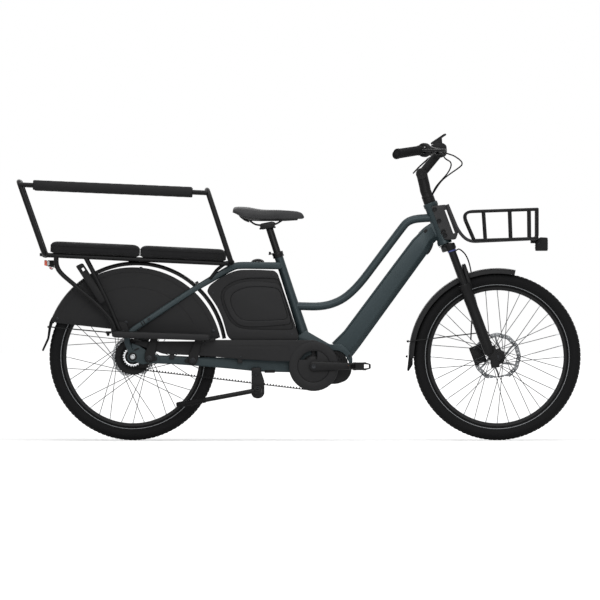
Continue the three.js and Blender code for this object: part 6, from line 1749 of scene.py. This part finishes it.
boxes = {name: [Vector(corner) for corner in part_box(name)] for name in ("front_caliper", "rear_caliper")}
for name, (low, high) in boxes.items():
    print(name, [round(value, 4) for value in (*low, *high)])
caliper("rear_brake", "frame", Vector((REAR_AXLE.x + 0.031, 0, REAR_AXLE.z + 0.062)),
    Vector((0.9, 0, -0.25)).normalized(), 0.0475,
        ["rear_caliper"], (0.016, 0.004, 0.0155, 0.0285), rear_arm)
low, high = boxes["front_caliper"]
caliper("front_brake", "fork", spot(478.2, 354.5), STEER_AXIS, (low.y + high.y) / 2,
        ["front_caliper"], (0.023, 0.0192, 0.0245, 0.035))
print("calipers:", MADE[-2:])

# %% [markdown]
# ## Seat clamp, seatpost and saddle
# The clamp's collar squeezes the seat tube round the post when its lever is closed. The post is a
# turned tube with a two-bolt head that holds the saddle's rails. The saddle itself is a shell with
# foam and a smooth cover, wide at the back and narrow in front, so its width follows a table.

# %% Clamp collar and lever
bench = Bench()
collar = [(0.0171, -0.0198), (0.0203, -0.0198), (0.0209, -0.0185), (0.0209, -0.0118), (0.0196, -0.0112),
    (0.0196, -0.0100), (0.0209, -0.0094),
          (0.0209, -0.0012), (0.0203, 0.0001), (0.0171, 0.0001)]
bench.turned(collar, seat_top, seat_axis, 56, closed=True)
lever_start, lever_end = spot(278, 252.8, -0.0186), spot(268.4, 254.6, -0.0186)
bench.sweep(rounded_box(0.0066, 0.0048, 0.0022, 4),
    [between(lever_start, lever_end, t) for t in (0, 0.1, 0.5, 0.9, 0.98)], across=(0, 1, 0),
            sizes=[0.85, 1, 1, 1, 0.8])
bench.finish = 1
bench.turned([(0, -0.004), (0.0042, -0.004), (0.0042, 0.0042), (0, 0.0042)],
    spot(269.9, 252.9, -0.0175), (0.1, 0, 1), 24)
bench.piece("post_clamp", "frame", [ALLOY, BOLT], "black_metal", ["seat_clamp"], 35)

# %% Seatpost with head and rails
bench = Bench()
head_low = between(spot(262, 230), spot(274.5, 227.5), 0.5)
on_line = seat_top + seat_axis * (head_low - seat_top).dot(seat_axis)
post_low = seat_top - seat_axis * 0.2145
post = [(0, 0.0), (0.0132, 0.0),
    (0.0136, 0.0006)] + [(0.0136, (on_line - post_low).length * t) for t in (0.5, 1)]
post += [(0.0128, (on_line - post_low).length + 0.002), (0.012, (on_line - post_low).length + 0.006),
    (0, (on_line - post_low).length + 0.006)]
bench.turned(post, post_low, seat_axis, 44)
head = [(262, 229.8), (274.5, 227.5), (275.6, 222.6), (272, 221.4), (260.6, 223.6), (259.7, 227)]
bench.plate(softened(flat(head), 0.004), -0.0255, 0.0255, 0.004)
for side in (-1, 1):
    rail = [spot(*pair, side * 0.022) for pair in ((250, 221), (256, 225.2), (275, 224.8), (282, 220.4))]
    bench.finish = 1
    bench.tube(0.0034, *rail, reach=0.018, sides=16)
    bench.finish = 0
bench.finish = 2
for right, down, lean in ((260.9, 228.6, 0.1), (274.2, 227.2, 0.1)):
    bench.turned([(0, -0.0035), (0.005, -0.0035), (0.0056, -0.0025), (0.0056, 0.003), (0, 0.003)],
        spot(right, down), (-lean, 0, 1), 24)
bench.piece("post_and_rails", "seat", [ALLOY, BLACK_METAL, BOLT], "black_metal", ["seatpost"], 35)

# %% Saddle from a table of widths, tops and undersides
saddle_top = [(232.6, 211.6), (234.9, 207.1), (247, 207), (262, 209.4), (280, 210), (296, 211.2),
    (301.8, 213.2), (304, 216.4)]
saddle_low = [(232.6, 212.6), (236.5, 214.2), (247, 219.6), (262, 220.8), (280, 220.2), (296, 219.1),
    (301.8, 218.9), (304, 218)]
saddle_shares = [0.5, 0.84, 1, 0.72, 0.34, 0.24, 0.2, 0.12]
tops = flowing([spot(*pair) for pair in saddle_top], 8)
lows = flowing([spot(*pair) for pair in saddle_low], 8)
widths = flowing([Vector((share, 0, 0)) for share in saddle_shares], 8)
bench = Bench()
rings = []
for top, low, width in zip(tops, lows, widths):
    half = 0.09 * max(width.x, 0.08)
    height = top.z - low.z
    crown = min(0.45 * height, 0.014)
    ring = []
    for k in range(28):
        turn = 2 * math.pi * k / 28
        wide = math.copysign(abs(math.cos(turn)) ** 0.55, math.cos(turn))
        tall = math.copysign(abs(math.sin(turn)) ** 0.6, math.sin(turn))
        drop = crown * abs(wide) ** 3 if tall > 0 else 0
        inset = 1 if tall > -0.2 else 1 - 0.14 * min(1, -tall)
        ring.append(Vector((top.x + (low.x - top.x) * (0.5 - tall / 2), wide * half * inset,
            (top.z + low.z) / 2 + tall * height / 2 - drop)))
    rings.append(ring)
bench.skin(rings)
saddle = bench.piece("saddle_pad", "seat", [SADDLE], "saddle_cover", ["saddle"], 70)
bench = Bench()
wedge = [(237.5, 213.8), (249.5, 219.9), (249.3, 222.6), (244.5, 220.8), (240.2, 217.6)]
bench.plate(softened(flat(wedge), 0.003), -0.036, 0.036, 0.002)
bench.plate(softened(flat([(249, 219.6), (298, 218.8), (297.5, 220.3), (285, 221.0), (262, 221.2),
    (249, 220.9)]), 0.002), -0.028, 0.028, 0.002)
bench.piece("saddle_base", "seat", [DARK_PLASTIC], "black_plastic", [], 35)
print("seat group:", MADE[-4:])

# %% [markdown]
# ## Suspension fork
# The fork has two pieces that slide in each other. The upper one is the crown with its steerer and
# two polished tubes. The lower one is one casting: two legs, the arch between them and the eyes
# that hold the axle. Both are built in the slanted frame of the steering, where they are straight.

# %% Fork crown and stanchions
CROWN_AHEAD = 0.0145
bench = Bench()
bench.onto = table(HEAD_TOP, STEER_AHEAD, STEER_AXIS)
bench.turned([(0, -0.192), (0.0148, -0.192), (0.0148, 0.04), (0, 0.04)], (0, 0, 0), (0, 0, 1), 36)
bench.turned([(0, -0.1702), (0.0245, -0.1702), (0.0248, -0.1688), (0.0238, -0.1662), (0, -0.1655)],
    (0, 0, 0), (0, 0, 1), 48)
rings = []
for ahead, size in ((-0.0198, 0.8), (-0.0165, 0.95), (-0.008, 1), (0.0145, 1), (0.026, 0.98),
    (0.0318, 0.9), (0.0343, 0.74)):
    ring = []
    for a, b in rounded_box(2, 2, 0.5, 5):
        half = 0.0814 - 0.008 * (b + 1)
        ring.append(Vector((ahead, a * half * (0.9 + 0.1 * size), -0.181 + b * 0.0118 * size)))
    rings.append(ring)
bench.skin(rings)
for side in (-1, 1):
    bench.turned([(0, -0.1935), (0.0172, -0.1935), (0.0178, -0.1925), (0.0178, -0.171),
        (0.0165, -0.1692), (0.0102, -0.1689), (0.0098, -0.1697), (0, -0.1697)],
                 (CROWN_AHEAD, side * 0.066, 0), (0, 0, 1), 40)
bench.finish = 1
for side in (-1, 1):
    bench.turned([(0, -0.4545), (0.0139, -0.4545), (0.0139, -0.193), (0, -0.193)],
        (CROWN_AHEAD, side * 0.066, 0), (0, 0, 1), 40)
bench.finish = 2
for side in (-1, 1):
    bench.turned([(0.0139, -0.1992), (0.0154, -0.1992), (0.0158, -0.1982), (0.0158, -0.1948),
        (0.0139, -0.1938)], (CROWN_AHEAD, side * 0.066, 0), (0, 0, 1), 40)
    bench.finish = 3
    bench.turned([(0, -0.1695), (0.0062, -0.1695), (0.0066, -0.1688), (0, -0.1686)],
        (CROWN_AHEAD, side * 0.066, 0), (0, 0, 1), 24)
    bench.finish = 2
bench.piece("fork_top", "steering", [BLACK_METAL, ALLOY, BLUE_SEAL, BOLT], "black_metal",
    ["fork_crown"], 35)

# %% Fork lowers
bench = Bench()
bench.onto = table(HEAD_TOP, STEER_AHEAD, STEER_AXIS)
axle_in = Vector(((FRONT_AXLE - HEAD_TOP).dot(STEER_AHEAD), 0, (FRONT_AXLE - HEAD_TOP).dot(STEER_AXIS)))
for side in (-1, 1):
    leg = [(0.0146, -0.3312), (0.0215, -0.3312), (0.0232, -0.333), (0.0236, -0.346), (0.0214, -0.358),
        (0.0196, -0.42), (0.0197, -0.50),
           (0.0204, -0.585), (0.0198, -0.6), (0.0165, -0.6085), (0.010, -0.6098), (0, -0.6098),
        (0, -0.52), (0.0146, -0.52)]
    bench.turned(leg, (CROWN_AHEAD, side * 0.066, 0), (0, 0, 1), 44, closed=True)
    foot = [Vector((CROWN_AHEAD, side * 0.0655, -0.590)),
        Vector((CROWN_AHEAD + 0.004, side * 0.0645, -0.612)), axle_in + Vector((0, side * 0.064, 0))]
    bench.sweep(rounded_box(0.017, 0.030, 0.006, 5), rounded(foot, 0.012), across=(0, 1, 0),
        sizes=[1] * 8 + [0.94, 0.9][-(len(rounded(foot, 0.012)) - 8):])
    eye = [(0.0065, 0.0497), (0.0155, 0.0497), (0.0168, 0.051), (0.0168, 0.0715), (0.0155, 0.0735),
        (0.0065, 0.0735)]
    bench.turned([(radius, side * reach) for radius, reach in eye], axle_in, (0, 1, 0), 40, closed=True)
arch = [Vector((0.0319, side * 0.066 * share, up)) for side, share,
    up in ((-1, 1, -0.3515), (-1, 0.98, -0.30), (-1, 0.86, -0.264), (1, 0.86, -0.264), (1, 0.98, -0.30),
        (1, 1, -0.3515))]
arch = [Vector((0.0319 + 0.0061 * (1 - abs(place.z + 0.264) / 0.0875), place.y, place.z)) for place in arch]
bench.sweep(rounded_box(0.0155, 0.0122, 0.005, 4), rounded(arch, 0.03), across=(1, 0, 0))
bench.onto = Matrix.Identity(4)
for side in (-1, 1):
    tail = [spot(right, down, side * 0.0655) for right,
        down in ((491.2, 346), (494.4, 360), (495.4, 367.6))]
    bench.sweep(rounded_box(0.016, 0.031, 0.004, 4), tail, across=(0, 1, 0), sizes=[0.9, 1, 0.96])
bench.finish = 1
bench.turned([(0, -0.0655), (0.0059, -0.0655), (0.0059, 0.0655), (0, 0.0655)], FRONT_AXLE, (0, 1, 0), 28)
for side in (-1, 1):
    bench.turned([(0.0, 0.0716), (0.0058, 0.0716), (0.0066, 0.0728), (0.0105, 0.0733), (0.0112, 0.0738),
        (0.0112, 0.073), (0.0, 0.073)], FRONT_AXLE, (0, side, 0), 32)
bench.piece("fork_casting", "fork", [BLACK_METAL, BOLT], "black_metal", ["fork_lowers"], 35)
print("fork:", MADE[-2:])

# %% [markdown]
# ## Stem and handlebar
# The stem is a folding kind: a riser from the headset, a joint with a lever, and a short arm to the
# bar. The bar sweeps back so the rider sits upright. It is one tube, bent twice on each side.

# %% Stem
stem_pivot, bar_centre = spot(421.7, 173.8), spot(439.8, 151.8)
bench = Bench()
bench.onto = table(HEAD_TOP, STEER_AHEAD, STEER_AXIS)
base = [(0.0155, 0.0005), (0.0222, 0.0005), (0.0229, 0.0015), (0.0229, 0.0108), (0.0222, 0.0116),
    (0.0222, 0.0126), (0.0229, 0.0134), (0.0229, 0.0205),
        (0.0222, 0.0212), (0.0222, 0.0222), (0.0229, 0.023), (0.0229, 0.0305), (0.0218, 0.0318),
    (0.0155, 0.0318)]
bench.turned(base, (0, 0, 0), (0, 0, 1), 48)
bench.onto = Matrix.Identity(4)
riser_low = steered(0, 0, 0.0405)
bench.sweep(circle(0.0207, 32),
    [steered(0, 0, 0.0412), steered(0, 0, 0.05), between(riser_low, stem_pivot, 0.4), stem_pivot])
bench.tube(0.0207, steered(0, 0, 0.0312), steered(0, 0, 0.0425), sides=32)
bench.turned([(0, 0.0232), (0.0082, 0.0232), (0.0088, 0.0222), (0.0195, 0.0222), (0.0212, 0.0205),
    (0.0218, 0.018), (0.0218, -0.018), (0.0212, -0.0205),
              (0.0195, -0.0222), (0.0088, -0.0222), (0.0082, -0.0232), (0, -0.0232)], stem_pivot,
    sections=48)
bench.sweep(rounded_box(0.0335, 0.0325, 0.013, 5), [stem_pivot, between(stem_pivot, bar_centre, 0.5),
    bar_centre], across=(0, 1, 0))
bench.turned([(0.0166, -0.0238), (0.0196, -0.0238), (0.0208, -0.0225), (0.0208, 0.0225),
    (0.0196, 0.0238), (0.0166, 0.0238)], bar_centre, sections=48, closed=True)
bench.finish = 1
for y in (-0.0155, 0.0155):
    for turn in (35, -95):
        out = Vector((math.cos(math.radians(turn)), 0, math.sin(math.radians(turn))))
        bench.turned([(0, 0.0032), (0.0022, 0.0032), (0.0024, 0.0044), (0.0042, 0.0042),
            (0.0046, 0.003), (0.0046, -0.006), (0, -0.006)],
                     bar_centre + out * 0.0185 + Vector((0, y, 0)), out, 20)
bench.finish = 0
lever = [spot(413, 173.4, 0.0272), spot(420, 166, 0.0274), spot(427.5, 159.4, 0.0270)]
bench.sweep(rounded_box(0.0088, 0.0062, 0.0028, 4), rounded(lever, 0.014), across=(0, 1, 0),
    sizes=[0.8] + [1] * 9)
bench.tube(0.0044, spot(427.5, 159.4, 0.027), between(spot(427.5, 159.4), bar_centre, 0.25), sides=18)
perch_low = between(spot(430.9, 143.9), spot(445.8, 133.9), 0.4)
perch_down = Vector((spot(430.9, 143.9).z - spot(445.8, 133.9).z, 0,
    spot(445.8, 133.9).x - spot(430.9, 143.9).x)).normalized() * -1
bench.tube(0.0056, perch_low + perch_down * 0.0052, perch_low + perch_down * 0.024, sides=18)
bench.plate(softened(flat([(424.4, 184.6), (427, 180.4), (428.7, 181.3), (426.3, 185.9)]), 0.002),
    -0.006, 0.006, 0.0015)
bench.piece("folding_stem", "steering", [BLACK_METAL, BOLT], "black_metal", ["stem"], 35)

# %% Handlebar
def bar_route(side):
    back, lift = bar_centre.x - 0.074, spot(0, 150.3).z
    return [bar_centre.copy(), bar_centre + Vector((0, side * 0.110, 0)),
        Vector((back, side * 0.228, lift)),
            Vector((bar_centre.x - 0.163, side * 0.340, spot(0, 154).z))]


def on_ramp(side, share):
    return between(*bar_route(side)[1:3], share)


def on_bar(side, share):
    return between(*bar_route(side)[2:], share)


bench = Bench()
whole = bar_route(-1)[::-1] + bar_route(1)[1:]
bench.tube(0.0109, *whole, reach=0.06, sides=28)
bench.turned([(0.0109, -0.034), (0.0158, -0.0262), (0.0158, 0.0262), (0.0109, 0.034)], bar_centre,
    sections=40)
bench.piece("bent_bar", "steering", [BLACK_METAL], "black_metal", ["handlebar"], 35)
print("stem and bar:", MADE[-2:])

# %% [markdown]
# ## Grips, levers and twist shifter
# The grips are ribbed rubber sleeves with a wider end. A brake lever turns on a pin in its mount,
# which also holds the small fluid cylinder. The shifter is a ribbed ring that twists on the bar.

# %% Grips
for word, side in SIDES:
    start, end = on_bar(side, 0.03 if side < 0 else 0.0), on_bar(side, 1.02)
    reach = (end - start).length
    profile = [(0.0112, 0.0004), (0.0148, 0.0004), (0.0166, 0.0018), (0.0169, 0.004), (0.0169, 0.008),
        (0.0158, 0.0094)]
    for k in range(15):
        at = 0.013 + (reach - 0.033) * k / 14
        profile += [(0.0149, at - 0.0022), (0.0156, at - 0.001), (0.0156, at + 0.001),
            (0.0149, at + 0.0022)]
    profile += [(0.0158, reach - 0.0145), (0.0169, reach - 0.0125), (0.0169, reach - 0.004),
        (0.016, reach - 0.0012), (0.0112, reach - 0.0002)]
    bench = Bench()
    bench.turned(profile, start, end - start, 40, closed=True)
    bench.finish = 1
    bench.turned([(0, reach - 0.0008), (0.0108, reach - 0.0008), (0.0108, reach - 0.004),
        (0, reach - 0.004)], start, end - start, 28)
    bench.piece(f"rubber_grip_{word}", "steering", [RUBBER, DARK_PLASTIC], "rubber", [f"grip_{word}"], 40)

# %% Brake mounts and levers
for word, side in SIDES:
    mount_from, mount_to = on_ramp(side, 0.42), on_ramp(side, 0.56)
    run = (mount_to - mount_from).normalized()
    middle = between(mount_from, mount_to, 0.5)
    body_at = middle + Vector((0.026, 0, 0))
    pivot = middle + Vector((0.052, side * 0.030, 0))
    bench = Bench()
    width = (mount_to - mount_from).length
    bench.turned([(0.0114, 0.0), (0.0148, 0.0), (0.0158, 0.0012), (0.0158, width - 0.0012),
        (0.0148, width), (0.0114, width)], mount_from, run, 36, closed=True)
    bench.turned([(0, -0.0198), (0.0075, -0.0198), (0.0085, -0.0185), (0.0085, -0.013),
        (0.0098, -0.0115), (0.0098, 0.028), (0.0088, 0.0325), (0.006, 0.0338),
                  (0, 0.0338)], body_at, run, 32)
    bench.tube(0.0068, middle + Vector((0.0118, 0, 0)), body_at, sides=20)
    low_side = (0, 0, -0.0125)
    ear_start, ear_end = body_at + Vector(low_side), pivot + (pivot
        - body_at).normalized() * 0.004 + Vector(low_side)
    bench.sweep(rounded_box(0.0165, 0.0068, 0.003, 4), [ear_start, between(ear_start, ear_end, 0.2),
        between(ear_start, ear_end, 0.75), ear_end],
                across=(ear_end - ear_start).cross((0, 0, 1)).normalized(), sizes=[1, 1, 1, 0.72])
    bench.finish = 1
    bench.turned([(0, 0.0022), (0.0044, 0.0022), (0.005, 0.001), (0.005, 0), (0, 0)],
        pivot + Vector((0, 0, -0.0160)), (0, 0, -1), 20)
    for out in (-0.0085, 0.0085):
        bench.bolt(middle + run * out * 0.8 + Vector((-0.0156, 0, 0)), (-1, 0, 0), 0.0034, 0.0016)
    bench.piece(f"brake_clamp_{word}", "steering", [ALLOY, BOLT], "black_metal",
        [f"brake_mount_{word}"], 35)

    bench = Bench()
    bench.turned([(0.0, -0.0079), (0.0076, -0.0079), (0.0088, -0.0066), (0.0088, 0.0066),
        (0.0076, 0.0079), (0.0, 0.0079)], pivot, (0, 0, 1), 30)
    blade = rounded([pivot, pivot + Vector((0.003, side * 0.030, 0)),
        pivot + Vector((-0.078, side * 0.123, 0))], 0.03, 9)
    sizes = [0.95, 1] + [1] * (len(blade) - 4) + [0.92, 0.8]
    bench.sweep(rounded_box(0.0104, 0.0116, 0.0042, 5), blade, across=(0, 0, 1), sizes=sizes)
    bench.turned([(0, 0.0058), (0.0028, 0.0052), (0.0052, 0.003), (0.0060, 0), (0.0052, -0.003),
        (0.0028, -0.0052), (0, -0.0058)], blade[-1], (0, 0, 1), 24)
    bench.finish = 1
    bench.turned([(0, 0.0086), (0.003, 0.0086), (0.0034, 0.0078), (0, 0.0078)], pivot, (0, 0, 1), 16)
    bench.piece(f"lever_blade_{word}", f"lever_{word}", [ALLOY, BOLT], "black_metal",
        [f"brake_lever_{word}"], 35)

# %% Twist shifter
shift_start = on_ramp(-1, 0.72)
shift_run = (on_ramp(-1, 1) - on_ramp(-1, 0)).normalized()
bench = Bench()
rings = []
for reach, radius, rib in ((0.0002, 0.0215, 0), (0.0016, 0.0242, 0), (0.0036, 0.0262, 0),
    (0.0052, 0.0266, 0.4), (0.0075, 0.0266, 1), (0.0185, 0.0266, 1),
                           (0.0205, 0.0262, 0.5), (0.0222, 0.025, 0), (0.0238, 0.0222, 0),
    (0.0238, 0.0146, 0), (0.0002, 0.0146, 0)):
    ring = []
    for k in range(120):
        turn = 2 * math.pi * k / 120
        size = radius - 0.0011 * rib * (0.5 + 0.5 * math.cos(turn * 24))
        first = shift_run.orthogonal().normalized()
        second = shift_run.cross(first)
        ring.append(shift_start + shift_run * reach + first * (size * math.cos(turn)) + second
            * (size * math.sin(turn)))
    rings.append(ring)
bench.skin(rings, closed=True)
bench.piece("shift_ring", "shifter", [DARK_PLASTIC], "black_plastic", ["twist_shifter"], 40)
print("hands:", MADE[-7:])

# %% [markdown]
# ## Display and hoses
# The display is a thin slab of dark glass in a plastic frame. The hoses carry brake fluid. Each
# leaves a cylinder on the bar in a free arc and dives into the headset, and the front one comes out
# again at the fork, where it follows the leg down to the caliper.

# %% Display
screen_low, screen_high = spot(430.9, 143.9), spot(445.8, 133.9)
bench = Bench()
screen_run = screen_high - screen_low
bench.onto = table(between(screen_low, screen_high, 0.5), screen_run,
    Vector((-screen_run.z, 0, screen_run.x)))
half = screen_run.length / 2
bench.block((-half, -0.032, -0.0045), (half, 0.032, 0.0028), 0.0022)
bench.finish = 1
bench.block((-half + 0.005, -0.0275, 0.0024), (half - 0.005, 0.0275, 0.0044), 0.0012)
bench.finish = 0
for y in (-0.012, 0.012):
    bench.block((-half + 0.0015, y - 0.005, 0.0024), (-half + 0.0042, y + 0.005, 0.004), 0.0006)
bench.onto = Matrix.Identity(4)
for y in (-0.0305, 0.0305):
    perch = softened(flat([(430.6, 145.4), (436.5, 143.2), (443, 143), (446.3, 145.4), (447, 151.5),
        (446, 155.8), (441, 157.8), (434, 157), (430.8, 151)]), 0.005)
    bench.plate(perch, y - 0.0065, y + 0.0065, 0.0025)
    rise = softened(flat([(432.4, 145.2), (434, 142.6), (441.8, 137.6), (442.2, 143.6), (438, 146.5)]),
        0.003)
    bench.plate(rise, y - 0.004, y + 0.004, 0.001)
bench.piece("screen", "steering", [DARK_PLASTIC, SCREEN], "black_plastic", ["display"], 35)


# %% Hoses held at both ends
hose_lines = {"front": (-1, [(446.5, 153.6), (453.9, 156.2), (460.3, 160.6), (461.9, 164),
    (459.1, 167.5), (442.5, 180), (432.4, 194.5)]),
              "rear": (1, [(445.5, 158.2), (450.4, 161.7), (451, 166.3), (447, 173.9), (436.6, 185.9),
                  (432, 194.5)])}
for word, (side, line) in hose_lines.items():
    run = (on_ramp(side, 1) - on_ramp(side, 0)).normalized()
    leave = on_ramp(side, 0.49) + Vector((0.026, 0, 0))
    last = len(line) - 1
    route = [leave - run * 0.0203, leave - run * 0.0307]
    route += [spot(*pair, side * (0.009 + 0.096 * (1 - i / last) ** 2)) for i, pair in enumerate(line)]
    bench = Bench()
    bench.sweep(circle(0.0026, 14), flowing(route, 10))
    bench.finish = 1
    bench.turned([(0, 0.0), (0.0042, 0.0), (0.0044, 0.003), (0.0038, 0.008), (0.003, 0.0095),
        (0, 0.0095)], route[0], route[1] - route[0], 20)
    bench.piece(f"brake_hose_{word}", "steering", [HOSE, DARK_PLASTIC], "rubber", [f"hose_{word}"], 60)
fork_line = [(455, 251.5, 22), (459.5, 249.2, 44), (466.5, 256, 74), (471, 270, 90), (474, 296, 90),
    (472, 322, 84), (471, 340, 60)]
bench = Bench()
fork_route = [spot(right, down, across / 1000) for right, down, across in fork_line]
bench.sweep(circle(0.0026, 14), flowing(fork_route, 10))
fork_hose = bench.piece("fork_brake_hose", None, [HOSE], "rubber", ["fork_hose"], 60)
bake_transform(fork_hose)
print("display and hoses:", MADE[-4:])

# %% [markdown]
# ## Front basket and headlight
# Two flat arms beside the head tube hold a bent tongue of sheet steel, and a basket of thin rods
# stands on it. The headlight hangs below its front edge, where nothing in the basket can hide it.

# %% Basket on its arms
BASKET_HALF = 0.150
bench = Bench()
arm_slot = [(444.6, 210), (446.4, 209.8), (455, 233), (453.2, 233.4)]
arm_line = [(431, 206.1), (446.2, 204.5), (458.3, 231.5), (456, 239.5), (444.8, 239.9), (438.2, 226)]
for side in (-1, 1):
    bench.finish = 2
    bench.plate(softened(flat(arm_line), 0.008), *sorted((side * 0.0301, side * 0.0339)), 0.0012,
        [softened(flat(arm_slot), 0.0015)])
    bench.finish = 0
    for right, down in ((434.2, 210.5), (442.3, 232.8)):
        centre = spot(right, down)
        bench.turned([(0, 0.0268), (0.0069, 0.0268), (0.0069, 0.0305), (0, 0.0305)], centre,
            (0, side, 0), 24)
    bench.finish = 1
    for right, down in ((434.4, 209.4), (438.8, 220.9), (443.3, 231.4), (444.9, 235.4)):
        bench.finish = 0
        bench.turned([(0.0034, 0.0008), (0.004, 0.003), (0.007, 0.0036), (0.0084, 0.0024), (0.0084, 0)],
            spot(right, down, side * 0.0338), (0, side, 0), 28)
        bench.finish = 1
        bench.turned([(0, 0.0022), (0.0022, 0.0022), (0.003, 0.001), (0.0034, 0.0008)],
            spot(right, down, side * 0.0338), (0, side, 0), 20)
    bench.finish = 0
tongue = [spot(447.2, 204.5), spot(458.3, 231.4), spot(468.4, 241.8), spot(535.1, 238.8)]
bench.finish = 2
bench.sweep(rounded_box(0.1195, 0.0112, 0.003, 3), rounded(tongue, 0.03), across=(0, 1, 0))
bench.finish = 0


def rod(*route, reach=0.012, sides=14):
    bench.tube(0.0054, *route, reach=reach, sides=sides)


top_low, top_corner, top_bend, top_front = (465.3, 220.4), (461.8, 211.9), (471.7, 211.7), (536.7, 209.3)
floor_rear, floor_front = (474.1, 240.4), (536.7, 238.4)
for side in (-1, 1):
    edge = side * BASKET_HALF
    rod(spot(*floor_rear, edge), spot(*top_corner, edge), spot(*top_front, edge), reach=0.040)
    rod(spot(*floor_rear, edge), spot(*floor_front, edge), spot(*top_front, edge), reach=0.014)
    for right in (485.3, 510.6, 529.2):
        share = (right - floor_rear[0]) / (floor_front[0] - floor_rear[0])
        rod(between(spot(*floor_rear, edge), spot(*floor_front, edge), share),
            between(spot(*top_bend, edge), spot(*top_front, edge), share), reach=0)
for pair in (top_low, top_front, floor_rear, floor_front):
    rod(spot(*pair, -BASKET_HALF), spot(*pair, BASKET_HALF), reach=0)
for share in (0.25, 0.5, 0.75):
    pair = [a + (b - a) * share for a, b in zip(floor_rear, floor_front)]
    rod(spot(*pair, -BASKET_HALF), spot(*pair, BASKET_HALF), reach=0)
    y = BASKET_HALF * (-1 + 2 * share)
    rod(spot(*floor_front, y), spot(*top_front, y), reach=0)
bench.plate(softened(flat([(530.5, 239), (537.5, 239), (537.5, 243.3), (530.5, 243.3)]), 0.002), -0.018,
    0.018, 0.001)
bench.finish = 1
for right in (482, 528):
    for side in (-1, 1):
        bench.bolt(spot(right, 241.3 - (right - 468) * 0.0447, side * 0.045), (0, 0, -1), 0.0045, 0.003)
bench.piece("wire_basket", "steering", [BLACK_METAL, BOLT, GREY_METAL], "black_metal", ["front_rack"], 40)

# %% Headlight
bench = Bench()
body_line = [(535.3, 250.9), (535.3, 243.6), (536.2, 240.8), (540, 237.2), (547.6, 237.6), (547.6, 250.9)]
bench.plate(softened(flat(body_line), 0.004), -0.033, 0.033, 0.004)
bench.finish = 1
bench.plate(softened(flat([(547.1, 239.2), (547.9, 239.4), (547.9, 249.8), (547.1, 249.9)]), 0.001),
    -0.0285, 0.0285, 0.001)
for k in range(8):
    bench.block(spot(547.2, 249, -0.0275 + k * 0.007), spot(548.0, 240.2, -0.026 + k * 0.007), 0.0004)
bench.finish = 0
for k in range(3):
    down = 242.6 + 2.4 * k
    bench.block(spot(534.95, down + 1.1, -0.022), spot(535.7, down, 0.022), 0.0006)
bench.finish = 2
bench.bolt(spot(538.8, 243.4, -0.0328), (0, -1, 0), 0.0042, 0.0016)
bench.bolt(spot(538.8, 243.4, 0.0328), (0, 1, 0), 0.0042, 0.0016)
bench.piece("front_lamp", "steering", [DARK_PLASTIC, CLEAR_LENS, BOLT], "black_plastic", ["headlight"], 35)
print("basket and headlight:", MADE[-2:])

# %% [markdown]
# ## The battery in the down tube
# The battery slides into the open box of the down tube, and the lid keeps it there. It is a plain
# moulded case that nobody sees while the lid is on. Its construction solid already has the true
# shape, so it stays as it is and only takes a finish.

# %% Battery case
BATTERY_CASE = moulded("battery_case", colour(28, 28, 30), 0.55)
battery = bpy.data.objects["battery"]
for place in battery.material_slots:
    place.material = BATTERY_CASE.material
print("battery:", len(battery.material_slots), "finish on", battery.name)

# %% [markdown]
# ## Size and finish
# The last cell measures the finished bike and keeps its box beside the box of the construction it
# stands on.

# %% Size and finish
size = {"cad": cad_box, "visual": [list(corner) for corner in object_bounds()]}
print("pieces:", len(MADE), "visual box:", size["visual"])
